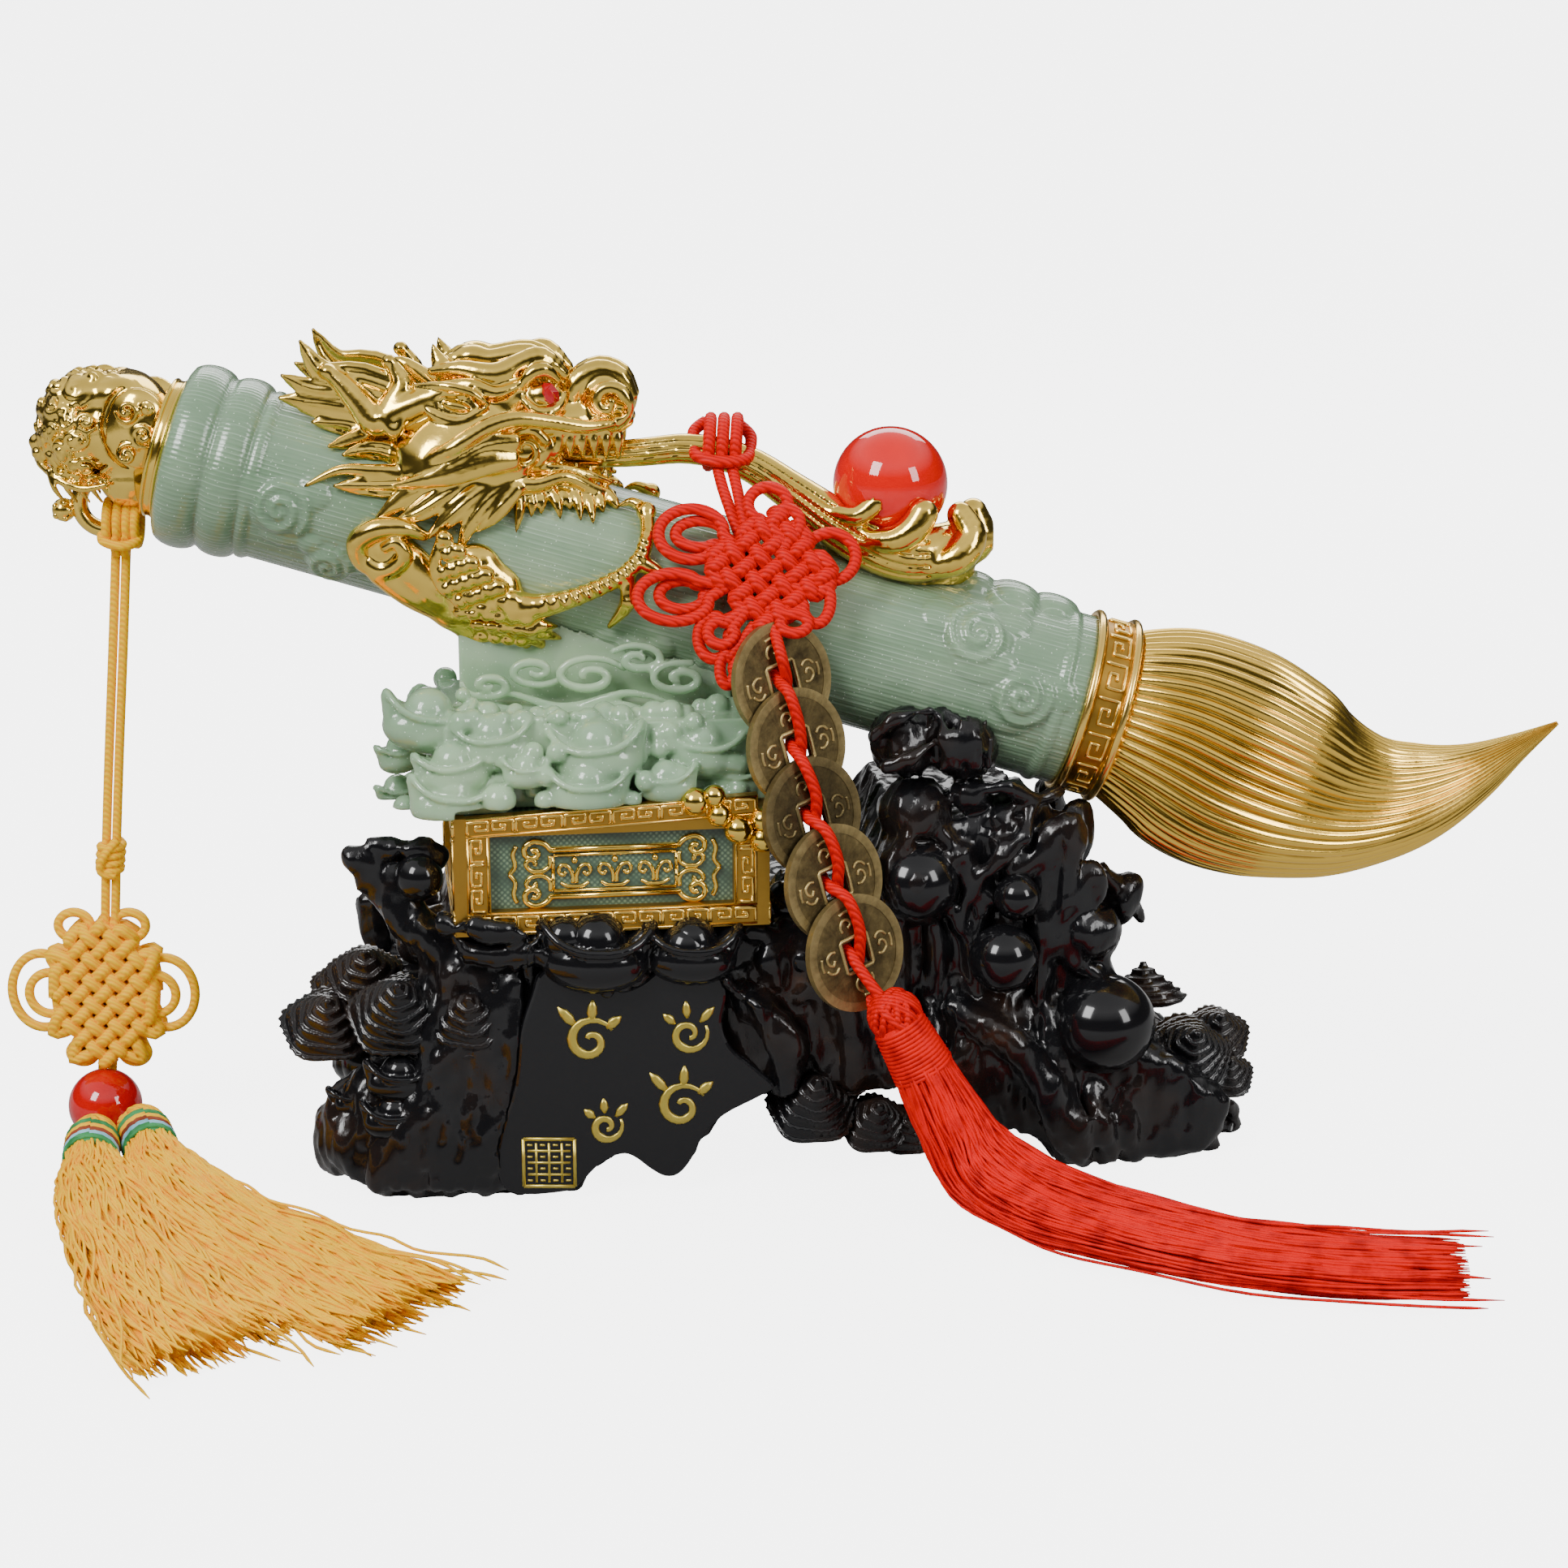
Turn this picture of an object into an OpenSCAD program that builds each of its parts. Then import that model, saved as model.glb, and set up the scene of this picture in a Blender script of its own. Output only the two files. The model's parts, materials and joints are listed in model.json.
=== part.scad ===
// Ornamental calligraphy brush on a carved stand.
// A large jade-green brush lies on a treasure chest and a black root-carved base.
// A gold dragon straddles the handle and holds a sceptre that carries a red ball.
// A knotted pendant with five coins hangs from the sceptre, another from the finial.
// Origin: middle of the footprint of the stand and brush, on the table. +X runs from
// the finial to the brush tip, +Y to the back, +Z up. All sizes are in millimetres.

/* [Brush] */
// Downward tilt of the brush towards its tip, in degrees
brush_tilt = 15.8; // [15.3:0.1:16.3]
// Length of the jade handle between finial and collar
handle_len = 197; // [196:0.5:198]
// Handle radius at the finial end
handle_r_left = 17.2; // [16.9:0.1:17.5]
// Handle radius at the collar end
handle_r_right = 18.4; // [18.2:0.1:18.6]
// Length of the gold collar along the brush
collar_len = 9.5; // [9:0.5:10]
// Radius of the gold collar
collar_r = 19.4; // [19.2:0.1:19.8]
// Radius of the tenons that hold finial and collar in the handle
tenon_r = 6; // [5:0.5:8]

/* [Stand] */
// Turn of the stand about the vertical, its right side further back, in degrees
stand_yaw = 8; // [7.5:0.1:8.5]
// Depth of the base from its front panel to its back
base_depth = 64; // [63:0.5:65]
// Width of the treasure chest
chest_w = 60; // [59.5:0.5:60.5]
// Depth of the treasure chest
chest_d = 52; // [51:0.5:53]
// Height of the chest between base and treasure
chest_h = 25; // [24.5:0.5:25]
// Thickness of the gold key-pattern frame on the chest
frame_t = 2.4; // [2:0.1:2.6]

/* [Dragon and sceptre] */
// Radius of the red ball on the sceptre
orb_r = 12; // [11.5:0.1:12.2]
// Gap left all round the ball in its cradle
orb_gap = 0.3; // [0.2:0.05:0.4]
// Radius of the sceptre's stem
stem_r = 2.9; // [2.7:0.1:3.1]

/* [Pendants] */
// Radius of the coins
coin_r = 12.2; // [11.8:0.1:12.4]
// Thickness of a coin's field
coin_t = 1.2; // [1.0:0.1:1.3]
// Width of a coin's square hole
coin_hole = 5.8; // [5.4:0.1:6.2]
// Diameter of the red cord
red_d = 2.5; // [2.3:0.1:2.6]
// Diameter of the yellow cord
yellow_d = 2; // [1.8:0.1:2.1]
// Radius of the red bead on the yellow cords
bead_r = 8; // [7.8:0.1:8.2]

/* [Hidden] */
$fn = 48;

eps = 0.01;
// left end of the handle's axis
handle_start = [-133.9, 0, 152.4];
// end rings and carved band of the handle, measured along its axis
ring_r = 4.6;
ring_places = [4.6, 13.4];
band_start = 119;
band_len = 14;
band_r = 19.6;
tenon_len = 12;
// cloud bosses on the handle: distance along the axis, turn about it, radius
cloud_bosses = [
    [22.5, 88, 9], [173, 46, 8], [185, 81, 7], [171, 0, 7], [182, 8, 6.5], [24, -88, 9], [178, -60, 8]
];
boss_stand_out = 1.8;
// stand
chest_left = -76;
chest_front = -30;
chest_floor = 59;
lid_rise = 3;
frame_band = 5;
// centre of the ball on the sceptre
orb_c = [16.3, -2, 145.8];
// centre of the bead on the yellow cords, and the direction of its bore
bead_c = [-155.3, -4.3, 8.1];
bead_lean = 37;
bead_bore_r = 3.2;
// lowest height that a soft piece may reach
floor_z = 0.05;

// ---------- helpers ----------
// unit vector along v
function unit(v) = v / norm(v);

// direction of a path at point i
function heading(p, i) = unit(p[min(i + 1, len(p) - 1)] - p[max(i - 1, 0)]);

// direction across a path
function sideways(dir, ref) = unit(cross(dir, ref));

// one ring of a swept tube: half width w across, half height h, never below the floor
function ring(c, dir, ref, w, h, n) =
    let (s = sideways(dir, ref), u = cross(s, dir))
    [for (k = [0 : n - 1])
        let (q = c + w * cos(360 * k / n) * s + h * sin(360 * k / n) * u)
        [q[0], q[1], max(q[2], floor_z)]];

// smooth value between b and c, with a and d as its neighbours
function between(a, b, c, d, t) =
    0.5 * (2 * b + (c - a) * t + (2 * a - 5 * b + 4 * c - d) * t * t
        + (3 * b - a - 3 * c + d) * t * t * t);

// list of rows made finer by a factor of m along a smooth curve
function smooth_rows(r, m) = [
    for (i = [0 : len(r) - 2], j = [0 : m - 1])
        between(r[max(i - 1, 0)], r[i], r[i + 1], r[min(i + 2, len(r) - 1)], j / m),
    r[len(r) - 1]
];

// closed skin over a stack of rings, n points in each
module skin(rings, n) {
    last = len(rings) - 1;
    points = [for (r = rings, p = r) p];
    sides = [
        for (i = [0 : last - 1], k = [0 : n - 1], part = [0, 1])
            let (a = i * n + k, b = i * n + (k + 1) % n)
            part == 0 ? [a, b, b + n] : [a, b + n, a + n]
    ];
    start = [for (k = [n - 1 : -1 : 0]) k];
    end = [for (k = [0 : n - 1]) last * n + k];
    polyhedron(points = points, faces = concat(sides, [start], [end]), convexity = 6);
}

// round tube along a path of points
module tube(path, d, n = 8, ref = [-0.8, 0, 0.6]) {
    rings = [for (i = [0 : len(path) - 1]) ring(path[i], heading(path, i), ref, d / 2, d / 2, n)];
    skin(rings, n);
}

// flattened bundle along rows of [x, y, z, half width, half height]
module bundle(rows, n = 14, ref = [0, 0, 1]) {
    path = [for (r = rows) [r[0], r[1], r[2]]];
    rings = [for (i = [0 : len(rows) - 1]) ring(path[i], heading(path, i), ref, rows[i][3], rows[i][4], n)];
    skin(rings, n);
}

// cone or cylinder between two points
module bar(a, b, r1, r2) {
    v = b - a;
    turn = atan2(v[1], v[0]);
    lean = acos(v[2] / norm(v));
    translate(a)
        rotate([0, lean, turn])
            cylinder(h = norm(v), r1 = r1, r2 = r2, $fn = 32);
}

module ball(c, r) {
    translate(c)
        sphere(r = r, $fn = 40);
}

// frame with z along the brush axis and -x upwards
module along_brush() {
    translate(handle_start)
        rotate([0, 90 + brush_tilt, 0])
            children();
}

// frame of the turned stand
module on_stand() {
    rotate([0, 0, stand_yaw])
        children();
}

// upright slab of an outline in x and z, from y0 to y1
module slab(outline, y0, y1) {
    translate([0, y1, 0])
        rotate([90, 0, 0])
            linear_extrude(height = y1 - y0)
                polygon(outline);
}

// ---------- brush ----------
module handle_outside() {
    along_brush() {
        cylinder(h = handle_len, r1 = handle_r_left, r2 = handle_r_right);
        for (z = ring_places)
            translate([0, 0, z])
                rotate_extrude()
                    translate([handle_r_left - ring_r + 1.2, 0])
                        intersection() {
                            circle(r = ring_r);
                            translate([0, -ring_r])
                                square([ring_r, 2 * ring_r]);
                        }
        translate([0, 0, band_start])
            cylinder(h = band_len, r = band_r);
        for (b = cloud_bosses)
            rotate([0, 0, b[1]])
                translate([-(handle_r_right + boss_stand_out - b[2]), 0, b[0]])
                    sphere(r = b[2], $fn = 40);
    }
}

// plain taper of the handle, which what sits on it is cut to
module handle_room() {
    along_brush()
        cylinder(h = handle_len, r1 = handle_r_left, r2 = handle_r_right);
}

module brush_handle() {
    color("darkseagreen")
        difference() {
            handle_outside();
            along_brush() {
                translate([0, 0, -eps])
                    cylinder(h = tenon_len + eps, r = tenon_r);
                translate([0, 0, handle_len - tenon_len])
                    cylinder(h = tenon_len + eps, r = tenon_r);
            }
        }
}

// lion-like finial: flange, haunch, curly head and a hanging loop
module finial() {
    color("goldenrod") {
        along_brush() {
            translate([0, 0, -3])
                cylinder(h = 3, r = 14.5);
            translate([0, 0, -1])
                cylinder(h = tenon_len, r = tenon_r);
        }
        intersection() {
            union() {
                ball([-144.5, 0, 157], 10.8);
                ball([-152.5, 0, 156.5], 10.5);
                ball([-150.5, 0, 164], 5.5);
                ball([-155.5, -5, 160.5], 4);
                ball([-155.5, 5, 160.5], 4);
                ball([-159, 0, 153.5], 4);
                ball([-142.5, -8, 160], 5);
                ball([-142.5, 8, 160], 5);
                ball([-156, -5.5, 150], 4.5);
                ball([-156, 5.5, 150], 4.5);
                ball([-143, 0, 147], 6.5);
            }
            along_brush()
                translate([0, 0, -34])
                    cylinder(h = 32, r = 24);
        }
        translate([-149, 0, 141.3])
            rotate([90, 0, 0])
                rotate_extrude()
                    translate([5.4, 0])
                        circle(r = 1.9);
        ball([-158, 0, 139.8], 2.8);
        bar([-158, 0, 139.8], [-154, 0, 141.5], 1.6, 1.6);
    }
}

module collar() {
    color("gold")
        along_brush()
            translate([0, 0, handle_len]) {
                rotate_extrude()
                    polygon([
                        [0, 0], [collar_r, 0], [collar_r, 1.6], [collar_r - 0.8, 2.2],
                        [collar_r - 0.8, collar_len - 2.2], [collar_r, collar_len - 1.6],
                        [collar_r, collar_len], [0, collar_len]
                    ]);
                translate([0, 0, 1 - tenon_len])
                    cylinder(h = tenon_len, r = tenon_r);
            }
}

// sections of the bristle head after the collar: x, y, z, radius
tip_rows = [
    [76.5, 0, 92.2, 23.2], [88, 0, 86.6, 25], [100, 0, 81.6, 23.2], [111.5, 0, 77.8, 18.9],
    [122.5, 0, 76.9, 14.3], [132.5, 0, 78.8, 10.8], [142, 0, 82.6, 6.9], [151.4, 0, 88.2, 3.2],
    [160, 0, 93.6, 0.5]
];
tip_sides = 40;
tip_steps = 3;

module brush_tip() {
    axis = [cos(brush_tilt), 0, -sin(brush_tilt)];
    face = handle_start + (handle_len + collar_len) * axis;
    root_row = [face[0], face[1], face[2], collar_r - 1.4];
    rows = smooth_rows(concat([root_row], tip_rows), tip_steps);
    path = [for (r = rows) [r[0], r[1], r[2]]];
    rings = [
        for (i = [0 : len(rows) - 1])
            ring(path[i], i == 0 ? axis : heading(path, i), [0, 1, 0], rows[i][3], rows[i][3], tip_sides)
    ];
    color("gold")
        skin(rings, tip_sides);
}

// ---------- stand ----------
// front outline of the base: left foot, scalloped panel edge, arch, right foot, ridge, top
base_outline = [
    [-103, 5], [-97, 1.5], [-90, 0], [-54, 0], [-50, 4.5], [-43, 8.3], [-37, 5.5], [-33, 3.5],
    [-29, 6], [-25, 13], [-20, 18], [-10, 21], [5, 19], [25, 19], [38, 14], [45, 6], [49, 0],
    [80, 0], [87, 6], [88, 15], [80, 22], [70, 32], [66, 46], [60, 58], [55, 70], [48, 80],
    [18, 82], [15, 70], [10, 60], [0, chest_floor], [-78, chest_floor], [-82, 50], [-81, 38],
    [-86, 33], [-100, 28], [-105, 16]
];
// lumps carved on the base, in the stand's own frame: centre and radius
base_balls = [
    [21, -25, 65, 9], [22, -23, 80, 7.5], [44, -28, 62, 4.6], [38, -30, 49, 7.6], [56, -25, 53, 9],
    [61, -24, 33.5, 11.4], [-47, -28, 56, 4.6], [-33, -29, 52, 5], [-20, -27, 55, 5],
    [-40, -31, 47.5, 2.4], [-85, -24, 69, 4.8], [-62, 26, 40, 12], [20, 24, 60, 12],
    [55, 22, 30, 14], [-20, 27, 46, 9], [-90, 22, 20, 11]
];
// shelf fungi: centre, radius of the fan, thickness
fungi = [
    [-98, -18, 38, 13, 5], [-88, -22, 42, 12, 6], [-76, -26, 39, 10, 5], [-94, -10, 48, 10, 4],
    [4, -28, 24, 12, 6], [14, -28, 20, 9, 5], [80, -14, 26, 12, 8], [76, -16, 17, 12, 4],
    [-91, 12, 34, 11, 5], [30, 28, 34, 12, 6], [78, 14, 24, 10, 6]
];

module base() {
    color([0.06, 0.05, 0.05])
        difference() {
            union() {
                on_stand() {
                    slab(base_outline, -base_depth / 2, base_depth / 2);
                    for (b = base_balls)
                        ball([b[0], b[1], b[2]], b[3]);
                    for (f = fungi)
                        translate([f[0], f[1], f[2]])
                            rotate([8, 0, 0])
                                cylinder(h = f[4], r1 = f[3], r2 = f[3] * 0.55);
                    // boat-shaped ingots on the left foot
                    translate([-96, -24.5, 24])
                        cylinder(h = 6, r1 = 6, r2 = 9);
                    translate([-92, -25.5, 13])
                        cylinder(h = 6, r1 = 5, r2 = 8);
                    // pouch and leaves in front of the handle
                    bar([18, -26, 92], [32, -26, 95], 7, 7.5);
                    ball([18, -26, 92], 7);
                    ball([32, -26, 95], 7.5);
                    bar([40, -22, 82], [56, -18, 70], 7, 6);
                    bar([-76, -20, 58], [-92, -14, 72], 6, 2);
                    bar([-76, -12, 58], [-80, -8, 74], 5, 2);
                    bar([60, -10, 56], [66, -8, 66], 6, 3);
                    // fungus and pebble at the end of the right foot
                    ball([82, -6, 12], 7);
                }
            }
            // room for the chest, the handle and the tenon of the arch
            on_stand()
                translate([chest_left - frame_t, chest_front - 4, chest_floor])
                    cube([chest_w + 2 * frame_t, 80, 40]);
            handle_outside();
            along_brush()
                translate([0, 0, handle_len])
                    cylinder(h = 14, r = collar_r + 0.3);
        }
}

// dark green core of the chest
module chest_box() {
    color([0.33, 0.43, 0.33])
        on_stand()
            translate([chest_left, chest_front, chest_floor])
                cube([chest_w, chest_d, chest_h]);
}

// outline of the frame's front, its top edge rising to the right
function frame_outline(w, h, rise) = [[0, 0], [w, 0], [w, h + rise], [0, h]];

module chest_frame() {
    b = frame_band;
    color("gold")
        on_stand() {
            translate([chest_left, 0, chest_floor])
                for (y = [chest_front - frame_t, chest_front + chest_d])
                    difference() {
                        slab(frame_outline(chest_w, chest_h, y < 0 ? lid_rise : 0), y, y + frame_t);
                        translate([b, 0, b])
                            slab(frame_outline(chest_w - 2 * b, chest_h - 1.8 * b, 0), y - 1, y + frame_t + 1);
                    }
            for (x = [chest_left - frame_t, chest_left + chest_w])
                difference() {
                    translate([x, chest_front - frame_t, chest_floor])
                        cube([frame_t, chest_d + 2 * frame_t, chest_h]);
                    translate([x - 1, chest_front + b, chest_floor + b])
                        cube([frame_t + 2, chest_d - 2 * b, chest_h - 2 * b]);
                }
        }
}

// cartouche on the front of the chest
module chest_plaque() {
    w = 40;
    h = 12;
    color("gold")
        on_stand()
            translate([chest_left + chest_w / 2 + 0.5, chest_front - 1.4, chest_floor + 12.2]) {
                rotate([-90, 0, 0])
                    linear_extrude(height = 1.4)
                        difference() {
                            square([w, h], center = true);
                            square([w - 2.4, h - 2.4], center = true);
                        }
                for (x = [-1, 1], z = [-1, 1])
                    translate([x * (w / 2 - 1.5), 0, z * (h / 2 - 1.5)])
                        rotate([-90, 0, 0])
                            cylinder(h = 1.4, r = 2.6);
            }
}

// berries: x from the chest's right side, z from its floor, radius
berries = [[-13, 27, 3], [-8, 24, 2.6], [-4, 20.7, 3.1], [1, 18.5, 2.8], [1, 22.5, 2.6], [-9, 28, 2.4]];

// cluster of gold berries at the frame's top right corner
module chest_berries() {
    color("gold")
        on_stand()
            difference() {
                for (q = berries)
                    ball([chest_left + chest_w + q[0], chest_front - frame_t, chest_floor + q[1]], q[2]);
                translate([chest_left - 5, chest_front - frame_t, chest_floor - 5])
                    cube([chest_w + 5, 20, 45]);
                translate([chest_left - 5, chest_front - frame_t, chest_floor - 5])
                    cube([chest_w + 5 + frame_t, 20, 5 + chest_h]);
            }
}

// ingots on the treasure: centre in the stand's frame, size
ingots = [
    [-72, -27, 99, 7.5], [-52, -30, 97, 8.5], [-26, -28, 99, 7.5], [-62, -30, 90, 7], [-40, -31, 91, 6],
    [-82, -14, 100, 7], [-80, -20, 88.6, 4.5], [-18, -16, 96, 6.5], [-20, 20, 98, 8], [-46, 24, 99, 8.5],
    [-70, 20, 99, 8], [-83, 10, 96, 7]
];

// block of the treasure that carries the handle
module saddle_block() {
    translate([-71, -13, 98])
        cube([52, 26, 15.4]);
}

module treasure_heap() {
    color("darkseagreen")
        difference() {
            union() {
                on_stand() {
                    translate([chest_left - 6, chest_front + 2, chest_floor + chest_h])
                        cube([chest_w + 9, chest_d - 4, 22]);
                    for (g = ingots) {
                        translate([g[0], g[1], g[2] - 0.5 * g[3]])
                            cylinder(h = 0.7 * g[3], r1 = 0.55 * g[3], r2 = g[3]);
                        ball([g[0], g[1], g[2]], 0.62 * g[3]);
                    }
                }
                saddle_block();
            }
            handle_outside();
            // the front rim of the chest stands in front of the heap's foot
            on_stand() {
                translate([chest_left - 1, chest_front - frame_t - 8, chest_floor - 1])
                    cube([chest_w + 2, frame_t + 8, chest_h + lid_rise + 1.2]);
                translate([chest_left - 20, chest_front - 20, chest_floor - 1])
                    cube([chest_w + 40, chest_d + 40, chest_h + 1]);
            }
        }
}

// ---------- dragon ----------
module dragon_head() {
    color("gold")
        difference() {
            union() {
                // skull, brow, snout and nose
                ball([-70, 0, 154], 17);
                ball([-60, -6, 164], 8);
                ball([-60, 6, 164], 8);
                ball([-50, 0, 157], 9.5);
                ball([-43.5, 0, 162.5], 6.8);
                for (side = [-1, 1]) {
                    // cheek, horn, hair, mane, whisker and beard
                    ball([-68, side * 13, 148], 9);
                    bar([-82, side * 9, 161], [-101, side * 12, 171], 4, 1.2);
                    bar([-80, side * 5, 161], [-105, side * 8, 174.5], 4, 1);
                    bar([-78, side * 13, 156], [-103, side * 15, 159], 5, 1.2);
                    bar([-74, side * 16, 149], [-104, side * 18.5, 147.5], 5, 1);
                    bar([-72, side * 17, 145], [-83, side * 20, 142.5], 4.5, 1.6);
                    // lower jaw and upper lip
                    bar([-66, side * 16, 144], [-42, side * 11, 147.5], 4.5, 2.6);
                    bar([-60, side * 11, 154], [-40, side * 5, 157.5], 4, 2.5);
                }
            }
            handle_room();
            // mouth, open to the right, and the hole for the sceptre's end
            bar([-56, 0, 151.8], [-30, 0, 154.2], 5.2, 6.2);
            stem_end();
            gem_body(-1, eps);
            gem_body(1, eps);
        }
}

// red stone in an eye socket
module gem_body(side, more) {
    translate([-54.2, side * 10.2, 165.5])
        sphere(r = 2.4 + more, $fn = 32);
}

module eye_gem_near() {
    color("red")
        gem_body(-1, 0);
}

module eye_gem_far() {
    color("red")
        gem_body(1, 0);
}

// shoulder, scaled limb, forearm and claws on the near side of the handle
leg_y = -20;

module leg_piece() {
    shoulder = [-87, leg_y, 133.5];
    elbow = [-67, leg_y, 122.3];
    wrist = [-41, leg_y + 1, 129];
    knuckle = [-39.5, leg_y + 4, 142];
    difference() {
        union() {
            ball(shoulder, 6.5);
            bar(shoulder, elbow, 5, 7);
            ball(elbow, 8);
            bar(elbow, wrist, 5, 2.8);
            ball(wrist, 3.2);
            bar(wrist, knuckle, 2.6, 2.2);
            ball(knuckle, 2.8);
            bar([-64, leg_y + 3, 120], [-54, leg_y + 5, 118], 4.5, 2);
        }
        handle_room();
    }
}

module dragon_foreleg_near() {
    color("goldenrod")
        leg_piece();
}

module dragon_foreleg_far() {
    color("goldenrod")
        mirror([0, 1, 0])
            leg_piece();
}

// ---------- sceptre and ball ----------
// corners of the stem, from the dragon's mouth to the cradle, and the end in the mouth
stem_points = [[-26, -1.5, 155], [-12, -2, 153.2], [0, -2, 145.6], [11, -2, 134.6]];
stem_root = [-62, -0.5, 151.2];

// end of the stem, which the dragon's mouth closes on
module stem_end() {
    bar(stem_root, stem_points[0], stem_r - 0.3, stem_r);
}

module sceptre() {
    color("gold")
        difference() {
            union() {
                stem_end();
                for (i = [0 : 2])
                    bar(stem_points[i], stem_points[i + 1], stem_r + 0.2 * i, stem_r + 0.2 * (i + 1));
                for (i = [0 : 2])
                    ball(stem_points[i], stem_r + 0.25 + 0.2 * i);
                // cradle under the ball, with its lobes
                translate([orb_c[0], orb_c[1], 126]) {
                    cylinder(h = 12.6, r1 = 5.5, r2 = 11.4);
                    cylinder(h = 4.4, r = 8.4);
                }
                ball([23.5, -9.5, 137.5], 4.4);
                ball([23.5, 5.5, 137.5], 4.4);
                ball([29, -2, 135], 5);
            }
            handle_room();
            ball(orb_c, orb_r + orb_gap);
        }
}

module orb() {
    color("red")
        translate(orb_c)
            sphere(r = orb_r);
}

// ---------- red pendant ----------
// lark's head of the red cord around the sceptre
module red_hitch() {
    color("red") {
        for (x = [-20.6, -17.6])
            translate([x, -1.8, 154.3])
                rotate([0, 92, 0])
                    rotate_extrude()
                        translate([4.6, 0])
                            circle(r = red_d / 2 + 0.15);
        bar([-23.5, -5.8, 151.6], [-14.5, -5.8, 151.4], 1.3, 1.3);
    }
}

// the doubled cord's two strands, from the hitch through knot, coins and tassel
red_a = [
    [-20, -6, 150.5], [-19, -9, 147], [-17.5, -12, 143], [-15.5, -14.5, 138], [-12.5, -18, 131],
    [-9.5, -22, 124.5], [-8, -28, 120], [-6.5, -31, 115], [-5.5, -28, 109.5], [-6, -26.5, 103.5],
    [-4.5, -27, 97.5], [-4.5, -32, 96.5], [-2, -36, 94], [0.5, -35.5, 87.5], [0.5, -33.5, 82],
    [0.5, -32, 76], [1.5, -32.5, 70], [3, -37.5, 68.5], [7, -40.5, 66.5], [9.5, -40, 60],
    [9.5, -38.5, 54.5], [9.5, -37, 48.5], [12, -39.5, 43.5], [16, -42.6, 40], [20, -43, 33],
    [25, -44.5, 25], [31, -47, 16], [38, -51, 9.5], [48, -58.5, 6.5], [60, -67.5, 5.5],
    [73, -76, 5], [88, -82, 4.5], [103, -85.5, 4], [116, -87.5, 4]
];
red_b = [
    [-17, -6, 150.5], [-16, -9, 147], [-15, -12, 143], [-13.5, -15.5, 138], [-11, -20, 131],
    [-9, -25, 124.5], [-9.5, -26.5, 117], [-7.5, -28.5, 110], [-5, -33, 108], [-3, -32.5, 101.5],
    [-2.5, -31, 96], [-3, -29.5, 90], [-1.5, -30.5, 84], [-1.5, -35, 82.5], [2.5, -38.5, 80.5],
    [5, -38, 74], [5, -36, 68.5], [5, -34.5, 62.5], [6, -35, 56.5], [7.5, -39.5, 54.5],
    [12, -42.5, 48.5], [16.5, -43.3, 43]
];

module red_cord_a() {
    color("red")
        tube(red_a, red_d);
}

module red_cord_b() {
    color("red")
        tube(red_b, red_d);
}

// woven knot body with its loops, leaning on the handle
knot_c = [-11.5, -20.5, 130.3];
knot_lean = 22;
// loops of the red knot: x and z of the centre from the knot's middle, radius
red_loops = [
    [-15.5, 9, 5.6], [-17.5, -3, 6], [-10.5, -12.5, 4.2], [2, 14, 5], [14, 5, 5], [12, -3.5, 3.8]
];

module red_knot() {
    color("red")
        translate(knot_c)
            rotate([-knot_lean, 0, 0]) {
                rotate([90, 0, 0])
                    rotate([0, 0, 38])
                        translate([-9.5, -9.5, -3])
                            cube([19, 19, 6]);
                for (q = red_loops)
                    translate([q[0], 0, q[1]])
                        rotate([90, 0, 0])
                            rotate_extrude($fn = 32)
                                translate([q[2], 0])
                                    circle(r = red_d / 2, $fn = 16);
            }
}

// centres of the coins, top to bottom
coin_places = [
    [-6.5, -28.5, 109.7], [-3.5, -31.4, 96.3], [-0.3, -34.2, 82.4], [4.2, -36.6, 68.8], [8.6, -39, 54.5]
];
coin_roll = -14.8;
coin_turn = 38;
rim_w = 1.9;
rim_up = 0.15;

module coin(i) {
    color([0.55, 0.45, 0.25])
        translate(coin_places[i])
            rotate([0, coin_roll, 0])
                rotate([0, 0, coin_turn])
                    rotate([90, 0, 0])
                        difference() {
                            union() {
                                cylinder(h = coin_t, r = coin_r, center = true);
                                difference() {
                                    cylinder(h = coin_t + 2 * rim_up, r = coin_r, center = true);
                                    cylinder(h = coin_t + 1, r = coin_r - rim_w, center = true);
                                }
                            }
                            cube([coin_hole, coin_hole, 4], center = true);
                        }
}

// round head of the red tassel: centre and radius
red_head_c = [16.8, -43.4, 42.4];
red_head_r = 5.2;

module red_tassel_head() {
    color("red")
        ball(red_head_c, red_head_r);
}

// wound neck below the head
module red_tassel_wrap() {
    color("red")
        difference() {
            bar([17.4, -43.6, 41], [23, -44, 30.5], red_head_r, 7);
            ball(red_head_c, red_head_r);
        }
}

module red_tassel_skirt() {
    color("red")
        bundle(smooth_rows([
            [23, -44, 30.5, 6.8, 6.4], [28, -46, 21, 8.4, 7.4], [35, -49.5, 11.5, 10.5, 8],
            [47, -58, 7, 12.5, 6.8], [63, -69, 6, 13, 5.8], [83, -80, 5.5, 12.5, 5.4],
            [105, -85.5, 5.2, 12, 5.1], [126, -88.5, 5.2, 12, 5.1]
        ], 2), 16);
}

// ---------- yellow pendant ----------
module yellow_hitch() {
    color("orange") {
        for (x = [-148.6, -145.4])
            translate([x, 0, 137.6])
                rotate([0, 90, 0])
                    rotate_extrude()
                        translate([3.2, 0])
                            circle(r = yellow_d / 2 + 0.3);
        bar([-149.6, -1.7, 134.9], [-144.4, -1.7, 134.9], 1.2, 1.2);
    }
}

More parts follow.
